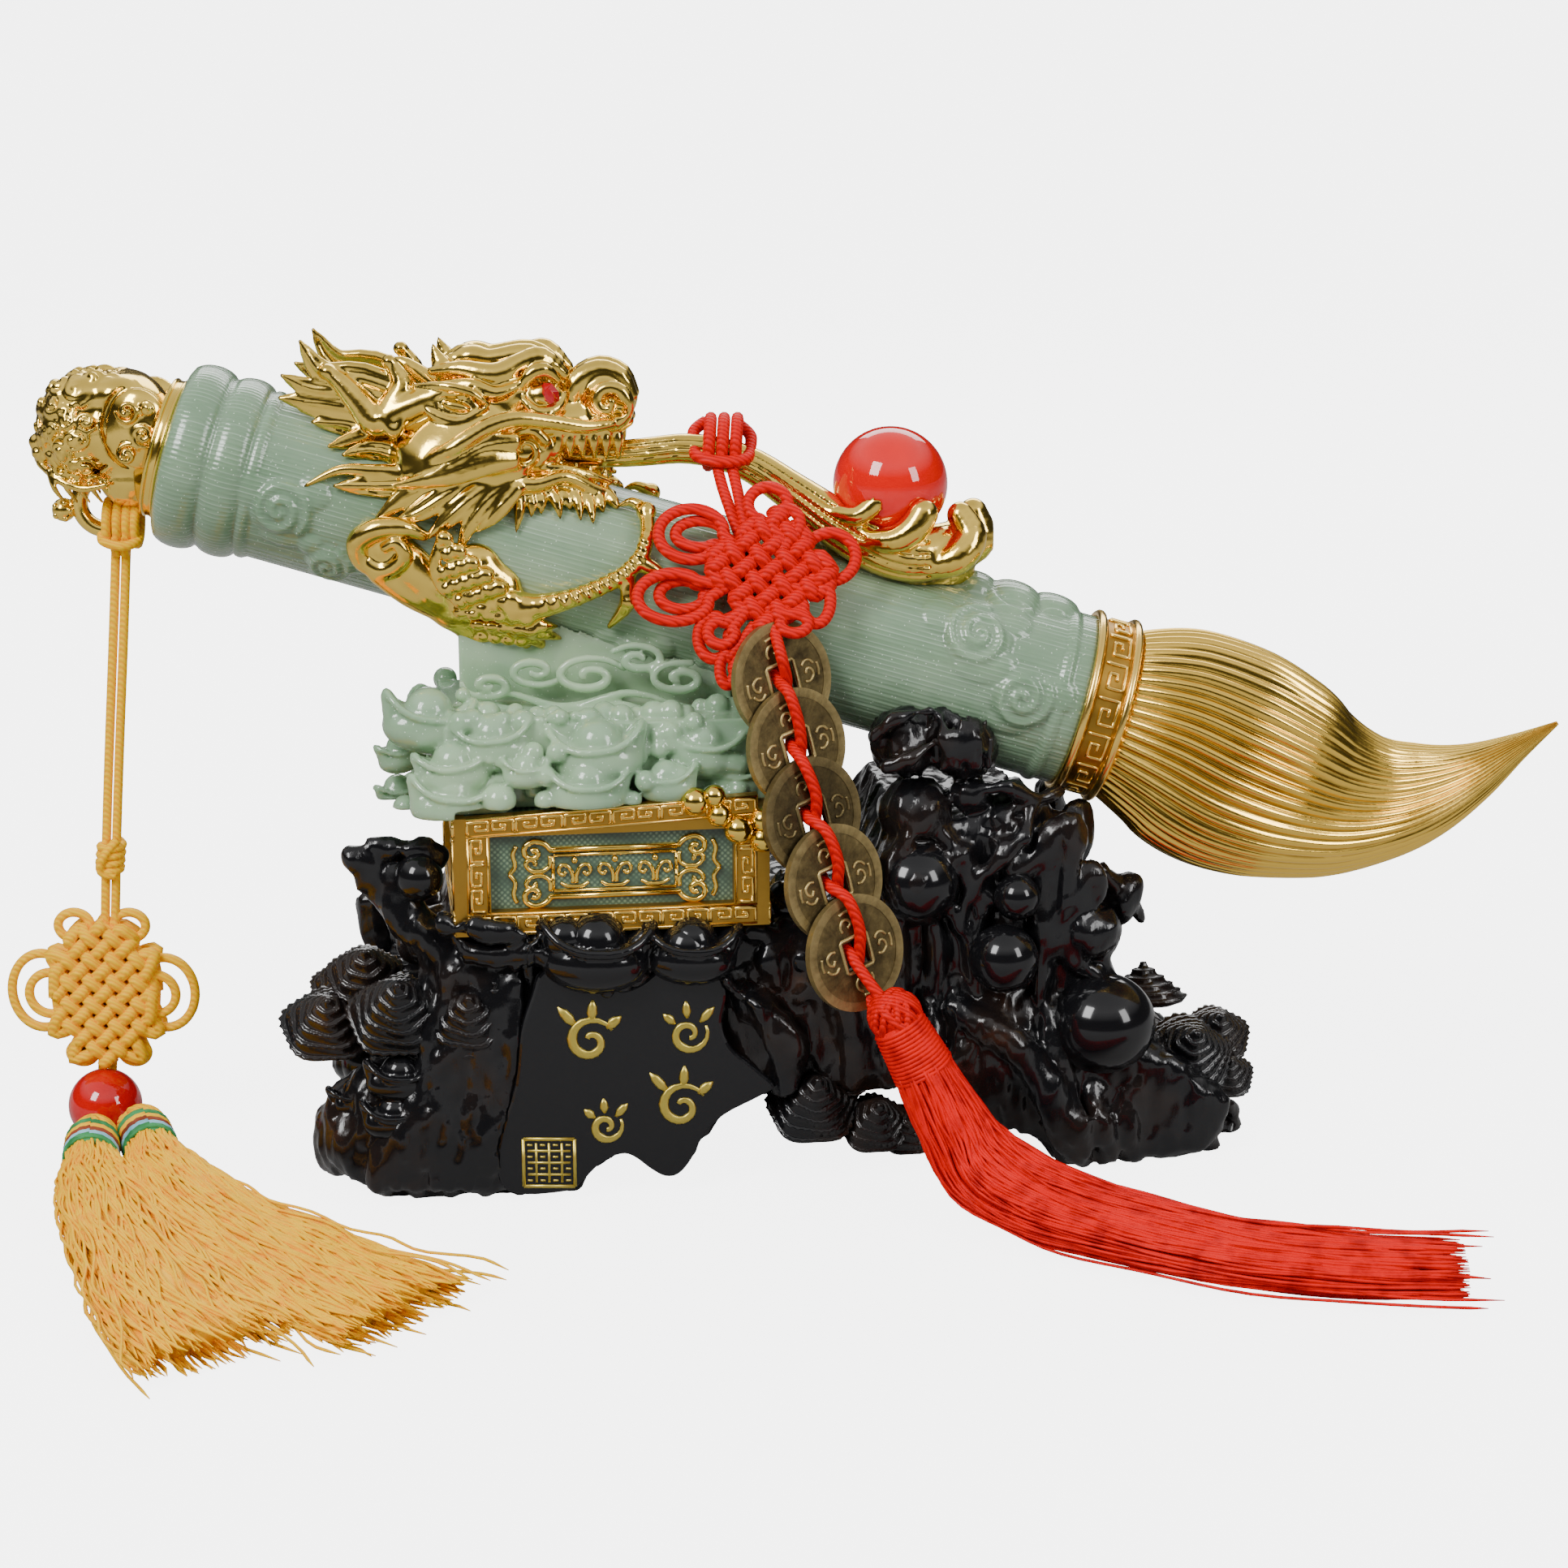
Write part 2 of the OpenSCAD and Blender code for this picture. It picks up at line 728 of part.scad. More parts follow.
yellow_a = [
    [-147.2, 0, 133], [-148.4, -0.5, 117], [-149.8, -1, 100], [-151.2, -1.5, 83], [-152.4, -2, 67],
    [-153.4, -1.8, 53], [-154.6, -1, 38], [-155.8, 0, 25], [-156.4, 0.2, 16], [-156.3, -4.3, 8.4],
    [-156, -9, 2.6], [-155.4, -14.5, 1.9], [-154, -20.5, 4.4], [-152.8, -27, 6.2], [-151, -37, 6.5],
    [-147.5, -50, 6], [-142, -64, 5.4], [-135.5, -79, 4.8], [-127.5, -94, 4.2], [-118.5, -108.5, 3.6]
];
yellow_b = [
    [-145, 0, 133], [-146.2, -0.5, 117], [-147.6, -1, 100], [-149, -1.5, 83], [-150.2, -2, 67],
    [-151.2, -1.8, 53], [-152.4, -1, 38], [-153.6, 0, 25], [-154.2, 0.2, 16], [-154.3, -4.3, 8.4],
    [-153.6, -9, 2.6], [-151, -13, 1.9], [-147, -17, 4.4], [-144, -22, 6.4], [-140, -31, 6.8],
    [-133, -45, 6.2], [-123.5, -59, 5.4], [-112, -73, 4.8], [-99, -86.5, 4.2], [-86, -99, 3.6]
];

module yellow_cord_a() {
    color("orange")
        tube(yellow_a, yellow_d);
}

module yellow_cord_b() {
    color("orange")
        tube(yellow_b, yellow_d);
}

module yellow_slip_knot() {
    color("orange")
        bar([-151.3, -2, 68], [-151.9, -1.8, 61], 2.9, 2.9);
}

// basket-weave knot with its loops
yellow_knot_c = [-154.6, -1, 34];
// loops of the yellow knot: x and z of the centre from the knot's middle, radius
yellow_loops = [[-12, -0.5, 8.6], [-9.5, -2, 5.6], [12.5, -1, 8.2], [9.5, -1, 5], [-3.5, 12.5, 3], [4.5, 12.5, 3]];

module yellow_knot() {
    color("orange")
        translate(yellow_knot_c)
            rotate([90, 0, 0]) {
                linear_extrude(height = 6, center = true)
                    polygon([[-9.5, 0], [-8, 9], [0, 14.5], [8, 9], [9.5, 0], [7, -10], [0, -16], [-7, -10]]);
                for (q = yellow_loops)
                    translate([q[0], q[1], 0])
                        rotate_extrude($fn = 32)
                            translate([q[2], 0])
                                circle(r = yellow_d / 2, $fn = 16);
            }
}

module yellow_bead() {
    color("red")
        translate(bead_c)
            rotate([-bead_lean, 0, 0])
                difference() {
                    sphere(r = bead_r);
                    cylinder(h = 3 * bead_r, r = bead_bore_r, center = true);
                }
}

// start, end and radii of each wound neck
neck_a = [[-153, -28.5, 6.6], [-151.9, -36, 7]];
neck_b = [[-143.1, -23.2, 6.8], [-140.2, -30.5, 7.2]];
neck_r = 5.2;

head_r = 5.2;
head_a = [-153.4, -26.7, 6.4];
head_b = [-144, -21.2, 6.6];

// wound neck of a tassel, which closes on its round head
module tassel_neck(neck, head) {
    color("mediumseagreen")
        difference() {
            bar(neck[0], neck[1], neck_r, neck_r + 0.5);
            ball(head, head_r);
        }
}

module yellow_head_a() {
    color("orange")
        ball(head_a, head_r);
}

module yellow_head_b() {
    color("orange")
        ball(head_b, head_r);
}

module yellow_wrap_a() {
    tassel_neck(neck_a, head_a);
}

module yellow_wrap_b() {
    tassel_neck(neck_b, head_b);
}

module yellow_skirt_a() {
    color("orange")
        bundle(smooth_rows([
            [-151.9, -36.1, 7, 5.6, 5.6], [-148.5, -48, 7, 7.5, 6.8], [-143.5, -62, 6.4, 9, 6.2],
            [-137, -78, 5.6, 9.6, 5.4], [-130, -94, 4.8, 10.5, 4.6], [-121, -109, 4.2, 12, 4],
            [-112, -122, 3.8, 13, 3.6]
        ], 2), 14);
}

module yellow_skirt_b() {
    color("orange")
        bundle(smooth_rows([
            [-140.2, -30.7, 7.2, 5.6, 5.6], [-134, -43, 7, 7.4, 6.8], [-124.5, -56.5, 6.4, 8.6, 6.2],
            [-112, -70, 5.6, 9.6, 5.4], [-98, -83, 4.8, 10.5, 4.6], [-85, -95, 4.2, 12, 4],
            [-73, -105, 3.8, 13, 3.6]
        ], 2), 14);
}

base();
chest_box();
chest_frame();
chest_plaque();
chest_berries();
treasure_heap();
brush_handle();
finial();
collar();
brush_tip();
dragon_head();
dragon_foreleg_near();
dragon_foreleg_far();
eye_gem_near();
eye_gem_far();
sceptre();
orb();
red_hitch();
red_cord_a();
red_cord_b();
red_knot();
coin(0);  // coin_1
coin(1);  // coin_2
coin(2);  // coin_3
coin(3);  // coin_4
coin(4);  // coin_5
red_tassel_head();
red_tassel_wrap();
red_tassel_skirt();
yellow_hitch();
yellow_cord_a();
yellow_cord_b();
yellow_slip_knot();
yellow_knot();
yellow_bead();
yellow_head_a();
yellow_head_b();
yellow_wrap_a();
yellow_wrap_b();
yellow_skirt_a();
yellow_skirt_b();
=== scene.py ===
import json
import math

import bpy
import numpy as np
import openvdb
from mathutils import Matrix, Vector

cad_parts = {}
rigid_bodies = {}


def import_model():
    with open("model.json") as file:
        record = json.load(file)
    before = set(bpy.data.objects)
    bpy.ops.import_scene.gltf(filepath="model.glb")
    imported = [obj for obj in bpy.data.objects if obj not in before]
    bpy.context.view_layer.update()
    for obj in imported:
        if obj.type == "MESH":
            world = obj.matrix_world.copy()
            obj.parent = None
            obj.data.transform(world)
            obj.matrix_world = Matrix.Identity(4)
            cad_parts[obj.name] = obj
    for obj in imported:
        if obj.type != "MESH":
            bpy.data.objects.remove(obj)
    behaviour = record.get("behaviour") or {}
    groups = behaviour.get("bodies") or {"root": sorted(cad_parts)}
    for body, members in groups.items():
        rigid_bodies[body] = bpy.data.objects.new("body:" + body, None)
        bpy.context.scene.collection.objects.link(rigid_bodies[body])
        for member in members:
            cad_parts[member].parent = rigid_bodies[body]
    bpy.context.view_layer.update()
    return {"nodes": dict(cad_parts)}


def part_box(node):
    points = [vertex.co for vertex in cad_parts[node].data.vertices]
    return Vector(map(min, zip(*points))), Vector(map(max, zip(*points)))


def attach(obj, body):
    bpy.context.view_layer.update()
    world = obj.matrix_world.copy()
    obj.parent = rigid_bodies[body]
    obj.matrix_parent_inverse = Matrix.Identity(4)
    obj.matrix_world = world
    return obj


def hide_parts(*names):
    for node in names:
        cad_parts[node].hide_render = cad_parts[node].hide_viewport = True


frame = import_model()

# Lengths below are millimetres in the frame of the CAD model; MM turns them into Blender's metres.
MM = 0.001
BODY = "stand"

# The brush's axis starts at the finial and falls towards the tip.
AXIS_START = np.array([-133.9, 0.0, 152.4])
TILT = math.radians(15.8)
AXIS = np.array([math.cos(TILT), 0.0, -math.sin(TILT)])
UP = np.array([math.sin(TILT), 0.0, math.cos(TILT)])
HANDLE_LEN = 197.0
R_LEFT = 17.2
R_RIGHT = 18.4
# The stand is turned about the vertical.
YAW = math.radians(8)
# Plane of the front view in which most of the carving is drawn.
VIEW_Y = -14.0
CAMERA = np.array([-6.0, -676.1, 261.2])


# ---------- placing ----------
def spot(x, z, y=VIEW_Y):
    """A point drawn at x, z in the plane VIEW_Y, slid along the camera's line of sight to depth y."""
    t = (y - CAMERA[1]) / (VIEW_Y - CAMERA[1])
    return CAMERA + t * (np.array([x, VIEW_Y, z]) - CAMERA)


def along(u, up=0.0, side=0.0):
    """A point at u along the brush, up from its axis and side towards the back."""
    return AXIS_START + u * AXIS + up * UP + side * np.array([0.0, 1.0, 0.0])


def on_brush(x, z, lift=0.0):
    """A point drawn at x, z, slid along the line of sight on to the handle's near side, lift off it."""
    y = -18.0
    for _ in range(12):
        p = spot(x, z, y)
        rel = p - AXIS_START
        radius = R_LEFT + (R_RIGHT - R_LEFT) * (rel @ AXIS) / HANDLE_LEN + lift
        up = rel @ UP
        y = -math.sqrt(max(radius ** 2 - up ** 2, 4.0))
    return spot(x, z, y)


def stand(x, y, z):
    """A point given in the turned stand's own frame."""
    return np.array([x * math.cos(YAW) - y * math.sin(YAW), x * math.sin(YAW) + y * math.cos(YAW), z])


def spline(points, steps=6, closed=False):
    """A smooth row of points through the given ones, of any number of columns."""
    p = np.array([list(q) for q in points], float)
    n = len(p)
    rows = []
    for i in range(n if closed else n - 1):
        if closed:
            a, b, c, d = (p[(i + k) % n] for k in (-1, 0, 1, 2))
        else:
            a, b, c, d = p[max(i - 1, 0)], p[i], p[i + 1], p[min(i + 2, n - 1)]
        for j in range(steps):
            t = j / steps
            rows.append(0.5 * (2 * b + (c - a) * t + (2 * a - 5 * b + 4 * c - d) * t * t
                               + (3 * b - a - 3 * c + d) * t ** 3))
    if not closed:
        rows.append(p[-1])
    return np.array(rows)


# ---------- meshes ----------
def make_piece(name, verts, faces, material, nodes=(), body=BODY, smooth=True):
    """A mesh piece from points in millimetres and an array of quads, or of triangles."""
    verts = np.asarray(verts, np.float32) * MM
    faces = np.asarray(faces, np.int32)
    count, corners = faces.shape
    mesh = bpy.data.meshes.new(name)
    mesh.vertices.add(len(verts))
    mesh.vertices.foreach_set("co", verts.ravel())
    mesh.loops.add(count * corners)
    mesh.loops.foreach_set("vertex_index", faces.ravel())
    mesh.polygons.add(count)
    mesh.polygons.foreach_set("loop_start", np.arange(0, count * corners, corners, dtype=np.int32))
    mesh.update(calc_edges=True)
    mesh.validate()
    if smooth:
        mesh.shade_smooth()
    else:
        mesh.shade_flat()
    mesh.materials.append(material)
    piece = bpy.data.objects.new(name, mesh)
    bpy.context.scene.collection.objects.link(piece)
    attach(piece, body)
    if nodes:
        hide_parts(*nodes)
    return piece


def grid_faces(rows, cols, wrap=True, start=0):
    """Quads over a grid of rows and columns; the columns close on themselves if wrap."""
    i = np.arange(rows - 1)[:, None]
    j = np.arange(cols if wrap else cols - 1)[None, :]
    k = (j + 1) % cols
    quads = np.stack([i * cols + j, i * cols + k, (i + 1) * cols + k, (i + 1) * cols + j], -1)
    return quads.reshape(-1, 4) + start


def frames_along(path, ref):
    """Side and up vectors at each point of a path, turned as little as may be."""
    head = np.gradient(path, axis=0)
    head /= np.linalg.norm(head, axis=1)[:, None] + 1e-9
    side = np.zeros_like(path)
    last = np.array(ref, float)
    for i, h in enumerate(head):
        s = last - (last @ h) * h
        if np.linalg.norm(s) < 1e-3:
            s = np.cross(h, [0.3, 0.5, 0.8])
        last = s / np.linalg.norm(s)
        side[i] = last
    return side, np.cross(head, side)


def tube_rings(path, radii, sides, ref=(0, 1, 0), flat=1.0):
    """Rings of points round a path; flat thins the tube across ref."""
    path = np.asarray(path, float)
    side, up = frames_along(path, ref)
    angle = np.linspace(0, 2 * np.pi, sides, endpoint=False)
    radii = np.broadcast_to(np.asarray(radii, float), (len(path),))[:, None, None]
    ring = (flat * np.cos(angle)[None, :, None] * side[:, None] + np.sin(angle)[None, :, None] * up[:, None])
    return path[:, None] + radii * ring


class Parts:
    """Points and quads of several tubes or grids that become one piece."""

    def __init__(self):
        self.verts = []
        self.faces = []
        self.count = 0

    def grid(self, rings, wrap=True, caps=True):
        rows, cols = rings.shape[:2]
        self.verts.append(rings.reshape(-1, 3))
        self.faces.append(grid_faces(rows, cols, wrap, self.count))
        if caps and wrap:
            for row, flip in ((0, False), (rows - 1, True)):
                base = self.count + row * cols
                for j in range(1, cols // 2):
                    quad = [base + j - 1, base + (-j) % cols, base + (-j - 1) % cols, base + j]
                    self.faces.append(np.array([quad[::-1] if flip else quad]))
        self.count += rows * cols

    def tube(self, path, radii, sides=8, ref=(0, 1, 0), flat=1.0):
        self.grid(tube_rings(path, radii, sides, ref, flat))

    def loop(self, path, radius, sides=8, ref=(0, 1, 0), flat=1.0):
        """A closed tube, the path's last point next to its first."""
        path = np.asarray(path, float)
        ring = tube_rings(np.vstack([path[-2:], path, path[:2]]), radius, sides, ref, flat)[2:-2]
        rows, cols = ring.shape[:2]
        self.verts.append(ring.reshape(-1, 3))
        quads = grid_faces(rows + 1, cols, True) % (rows * cols) + self.count
        self.faces.append(quads)
        self.count += rows * cols

    def ball(self, centre, radius, rows=16, cols=24, turn=None):
        """An ellipsoid; radius is a number or three, and turn a rotation matrix."""
        lat = np.linspace(0.02, np.pi - 0.02, rows)[:, None]
        lon = np.linspace(0, 2 * np.pi, cols, endpoint=False)[None, :]
        p = np.stack([np.sin(lat) * np.cos(lon), np.sin(lat) * np.sin(lon),
                      np.cos(lat) * np.ones_like(lon)], -1) * np.asarray(radius, float)
        if turn is not None:
            p = p @ np.asarray(turn).T
        self.grid(p[::-1] + np.asarray(centre, float))

    def piece(self, name, material, slot, nodes=(), body=BODY, smooth=True):
        return make_piece(name, np.vstack(self.verts), np.vstack(self.faces), material, nodes, body, smooth)


# ---------- sculpting in a block of distances ----------
class Block:
    """Signed distances in millimetres on a regular grid, negative inside the carving."""

    FAR = 8.0

    def __init__(self, low, high, voxel):
        self.low = np.array(low, float)
        self.voxel = voxel
        self.size = np.ceil((np.array(high, float) - self.low) / voxel).astype(int) + 1
        self.d = np.full(tuple(self.size), self.FAR, np.float32)

    def window(self, low, high, pad):
        """The part of the grid round a box: its slices and the open coordinate arrays."""
        a = np.clip(np.floor((np.asarray(low) - pad - self.low) / self.voxel).astype(int), 0, self.size)
        b = np.clip(np.ceil((np.asarray(high) + pad - self.low) / self.voxel).astype(int) + 1, 0, self.size)
        if np.any(b <= a):
            return None
        cells = tuple(slice(i, j) for i, j in zip(a, b))
        axes = []
        for k in range(3):
            shape = [1, 1, 1]
            shape[k] = b[k] - a[k]
            axes.append((self.low[k] + self.voxel * np.arange(a[k], b[k])).reshape(shape).astype(np.float32))
        return cells, axes

    def blend(self, cells, field, k, cut=False):
        old = self.d[cells]
        if cut:
            old, field = -old, field
        if k > 0:
            h = np.clip(0.5 + 0.5 * (field - old) / k, 0, 1)
            new = field * (1 - h) + old * h - k * h * (1 - h)
        else:
            new = np.minimum(old, field)
        self.d[cells] = -new if cut else new

    def blob(self, centre, radii, k=1.0, turn=None, cut=False):
        """An ellipsoid; turn is a rotation matrix whose columns are its own axes."""
        centre = np.asarray(centre, float)
        radii = np.broadcast_to(np.asarray(radii, float), (3,))
        reach = np.full(3, radii.max()) if turn is not None else radii
        found = self.window(centre - reach, centre + reach, k + 2 * self.voxel)
        if found is None:
            return
        cells, (x, y, z) = found
        x, y, z = x - centre[0], y - centre[1], z - centre[2]
        if turn is not None:
            t = np.asarray(turn, float)
            x, y, z = (t[0, i] * x + t[1, i] * y + t[2, i] * z for i in range(3))
        inner = np.sqrt((x / radii[0]) ** 2 + (y / radii[1]) ** 2 + (z / radii[2]) ** 2)
        outer = np.sqrt((x / radii[0] ** 2) ** 2 + (y / radii[1] ** 2) ** 2 + (z / radii[2] ** 2) ** 2)
        self.blend(cells, (inner * (inner - 1) / (outer + 1e-6)).astype(np.float32), k, cut)

    def strand(self, points, radii, k=0.8, steps=5, cut=False, flat=1.0):
        """A tapered tube along a spline; flat thins it in the y direction."""
        radii = np.broadcast_to(np.asarray(radii, float), (len(points),)) if np.ndim(radii) == 0 \
            else np.interp(np.linspace(0, 1, len(points)), np.linspace(0, 1, len(radii)), radii)
        rows = spline([[*p, r] for p, r in zip(points, radii)], steps)
        widest = rows[:, 3].max()
        found = self.window(rows[:, :3].min(0) - widest, rows[:, :3].max(0) + widest, k + 2 * self.voxel)
        if found is None:
            return
        cells, _ = found
        field = np.full(self.d[cells].shape, self.FAR, np.float32)
        first = np.array([c.start for c in cells])
        for a, b in zip(rows[:-1], rows[1:]):
            ends = np.array([a[:3], b[:3]])
            r = max(a[3], b[3])
            part = self.window(ends.min(0) - r, ends.max(0) + r, k + 2 * self.voxel)
            if part is None:
                continue
            sub, (x, y, z) = part
            local = tuple(slice(s.start - o, s.stop - o) for s, o in zip(sub, first))
            v = b[:3] - a[:3]
            x, y, z = x - a[0], (y - a[1]) / flat, z - a[2]
            t = np.clip((x * v[0] + y * v[1] / flat + z * v[2]) / (v @ v + 1e-9), 0, 1)
            d = np.sqrt((x - t * v[0]) ** 2 + (y - t * v[1] / flat) ** 2 + (z - t * v[2]) ** 2) \
                - (a[3] + t * (b[3] - a[3]))
            field[local] = np.minimum(field[local], d)
        self.blend(cells, field, k, cut)

    def field(self, function, low, high, k=1.0, cut=False):
        """Blends in any distance function of open x, y, z arrays."""
        cells, (x, y, z) = self.window(low, high, k + 2 * self.voxel)
        self.blend(cells, function(x, y, z).astype(np.float32), k, cut)

    def rough(self, height, pitch, seed, low=None, high=None, upright=1.0):
        """Raises and lowers the surface by smooth waves about pitch long, longer in height if upright is small."""
        low = self.low if low is None else low
        high = self.low + self.voxel * self.size if high is None else high
        cells, (x, y, z) = self.window(low, high, 0)
        rng = np.random.default_rng(seed)
        total = 0
        for _ in range(7):
            way = rng.normal(size=3) * (1, 1, upright)
            way *= 2 * np.pi / (pitch * rng.uniform(0.6, 1.6) * np.linalg.norm(way))
            total = total + np.sin(way[0] * x + way[1] * y + way[2] * z + rng.uniform(0, 6.3))
        self.d[cells] += (height * total / 2.6).astype(np.float32)

    def mirrored(self):
        """The block with its near half, y below 0, repeated behind. Its last y row is y = 0."""
        whole = Block.__new__(Block)
        whole.low, whole.voxel = self.low, self.voxel
        whole.d = np.concatenate([self.d, self.d[:, -2::-1]], axis=1)
        whole.size = np.array(whole.d.shape)
        return whole

    def piece(self, name, material, slot, nodes=(), body=BODY, floor=None):
        grid = openvdb.FloatGrid(self.FAR)
        grid.copyFromArray(np.ascontiguousarray(self.d), tolerance=0.0)
        points, quads = grid.convertToQuads(isovalue=0.0)
        verts = points * self.voxel + self.low
        if floor is not None:
            verts[:, 2] = np.maximum(verts[:, 2], floor)
        return make_piece(name, verts, quads[:, ::-1], material, nodes, body)


def turned(x=0.0, y=0.0, z=0.0):
    """Rotation matrix for turns about x, then y, then z, in degrees."""
    a, b, c = (math.radians(v) for v in (x, y, z))
    rx = np.array([[1, 0, 0], [0, math.cos(a), -math.sin(a)], [0, math.sin(a), math.cos(a)]])
    ry = np.array([[math.cos(b), 0, math.sin(b)], [0, 1, 0], [-math.sin(b), 0, math.cos(b)]])
    rz = np.array([[math.cos(c), -math.sin(c), 0], [math.sin(c), math.cos(c), 0], [0, 0, 1]])
    return rz @ ry @ rx


# ---------- materials ----------
def new_material(name, **values):
    """A Principled material with the given socket values."""
    material = bpy.data.materials.new(name)
    material.use_nodes = True
    shader = material.node_tree.nodes["Principled BSDF"]
    for key, value in values.items():
        shader.inputs[key.replace("_", " ")].default_value = value
    return material, material.node_tree, shader


def add_node(tree, kind, inputs=None, **settings):
    node = tree.nodes.new(kind)
    for key, value in settings.items():
        setattr(node, key, value)
    for key, value in (inputs or {}).items():
        if isinstance(value, bpy.types.NodeSocket):
            tree.links.new(value, node.inputs[key])
        else:
            node.inputs[key].default_value = value
    return node


def place_of(tree, scale=(1, 1, 1), turn=(0, 0, 0)):
    """Object coordinates in metres, scaled and turned."""
    source = add_node(tree, "ShaderNodeTexCoord")
    return add_node(tree, "ShaderNodeMapping", {"Vector": source.outputs["Object"], "Scale": scale,
                                                "Rotation": turn}).outputs[0]


def ramp(tree, factor, stops):
    """A colour ramp of (place, colour) stops."""
    node = add_node(tree, "ShaderNodeValToRGB", {"Fac": factor})
    while len(node.color_ramp.elements) < len(stops):
        node.color_ramp.elements.new(0.5)
    for element, (place, colour) in zip(node.color_ramp.elements, stops):
        element.position = place
        element.color = (*colour, 1)
    return node.outputs["Color"]


def bump(tree, shader, height, strength, distance):
    node = add_node(tree, "ShaderNodeBump", {"Height": height, "Strength": strength, "Distance": distance})
    tree.links.new(node.outputs[0], shader.inputs["Normal"])


def noise(tree, vector, scale, detail=3.0, rough=0.55):
    node = add_node(tree, "ShaderNodeTexNoise",
                    {"Vector": vector, "Scale": scale, "Detail": detail, "Roughness": rough})
    return node.outputs["Fac"]


def gold_painted_shade_material(name, bright, dark, roughness, grain=0.25):
    """Electroplated gold, darker in its recesses as painted shade, with a faintly uneven polish."""
    material, tree, shader = new_material(name, Metallic=1.0, Roughness=roughness)
    place = place_of(tree)
    # low pointiness picks the dark colour: painted shade in recesses and creases
    cavity = add_node(tree, "ShaderNodeNewGeometry").outputs["Pointiness"]
    stain = noise(tree, place, 160, 4)
    shade = add_node(tree, "ShaderNodeMath", {0: stain, 1: 0.10, 2: cavity}, operation="MULTIPLY_ADD")
    tree.links.new(ramp(tree, shade.outputs[0], [(0.44, dark), (0.54, bright), (0.75, bright)]),
                   shader.inputs["Base Color"])
    rough = add_node(tree, "ShaderNodeMapRange", {"Value": stain, "To Min": roughness * 0.7,
                                                  "To Max": roughness * 1.6})
    tree.links.new(rough.outputs[0], shader.inputs["Roughness"])
    bump(tree, shader, noise(tree, place, 700, 2), grain, 0.0001)
    return material


def jade_material(name, lines, lift=1.0):
    """Translucent pale green resin with fine bright specks; lines adds the handle's engraved lines as bump, with a
    painted highlight along them in a paler green.
    """
    material, tree, shader = new_material(
        name, Roughness=0.16, Coat_Weight=0.4, Coat_Roughness=0.05, Subsurface_Weight=0.35,
        Subsurface_Radius=(0.004, 0.006, 0.004), Subsurface_Scale=1.0, IOR=1.5)
    place = place_of(tree)
    cloudy = noise(tree, place, 28, 4)
    colour = ramp(tree, cloudy, [(place_at, tuple(c * lift for c in shade)) for place_at, shade in (
        (0.30, (0.165, 0.275, 0.165)), (0.50, (0.230, 0.350, 0.222)), (0.72, (0.34, 0.47, 0.30)))])
    speck = add_node(tree, "ShaderNodeTexVoronoi", {"Vector": place, "Scale": 900.0})
    dot = add_node(tree, "ShaderNodeMath", {0: speck.outputs["Distance"], 1: 0.115}, operation="LESS_THAN")
    light = add_node(tree, "ShaderNodeMix", {"Factor": dot.outputs[0]}, data_type="RGBA")
    tree.links.new(colour, light.inputs["A"])
    light.inputs["B"].default_value = (0.62, 0.74, 0.60, 1)
    out = light.outputs["Result"]
    if lines:
        local = add_node(tree, "ShaderNodeTexCoord").outputs["Object"]
        shift = add_node(tree, "ShaderNodeVectorMath", {0: local}, operation="SUBTRACT")
        shift.inputs[1].default_value = tuple(AXIS_START * MM)
        turn = add_node(tree, "ShaderNodeVectorRotate", {"Vector": shift.outputs[0], "Angle": -TILT},
                        rotation_type="Y_AXIS")
        split = add_node(tree, "ShaderNodeSeparateXYZ", {"Vector": turn.outputs[0]})
        angle = add_node(tree, "ShaderNodeMath", {0: split.outputs["Y"], 1: split.outputs["Z"]},
                         operation="ARCTAN2")
        wave = add_node(tree, "ShaderNodeMath", {0: angle.outputs[0], 1: 116.0}, operation="MULTIPLY")
        line = add_node(tree, "ShaderNodeMath", {0: wave.outputs[0]}, operation="SINE")
        along_map = add_node(tree, "ShaderNodeMapping", {"Vector": turn.outputs[0], "Scale": (45, 700, 700)})
        broken = noise(tree, along_map.outputs[0], 1.0, 2)
        gate = add_node(tree, "ShaderNodeMapRange", {"Value": broken, "From Min": 0.42, "From Max": 0.58})
        line_up = add_node(tree, "ShaderNodeMapRange", {"Value": line.outputs[0], "From Min": 0.55,
                                                        "From Max": 0.98})
        strength = add_node(tree, "ShaderNodeMath", {0: line_up.outputs[0], 1: gate.outputs[0]},
                            operation="MULTIPLY")
        # the paler green mixed in along the engraved lines is a painted highlight
        line_highlight_amount = add_node(tree, "ShaderNodeMath", {0: strength.outputs[0], 1: 0.22}, operation="MULTIPLY")
        lined = add_node(tree, "ShaderNodeMix", {"Factor": line_highlight_amount.outputs[0]}, data_type="RGBA")
        tree.links.new(out, lined.inputs["A"])
        lined.inputs["B"].default_value = (0.72, 0.84, 0.72, 1)
        out = lined.outputs["Result"]
        bump(tree, shader, line.outputs[0], 0.18, 0.0002)
    else:
        bump(tree, shader, noise(tree, place, 260, 3), 0.12, 0.0003)
    tree.links.new(out, shader.inputs["Base Color"])
    return material


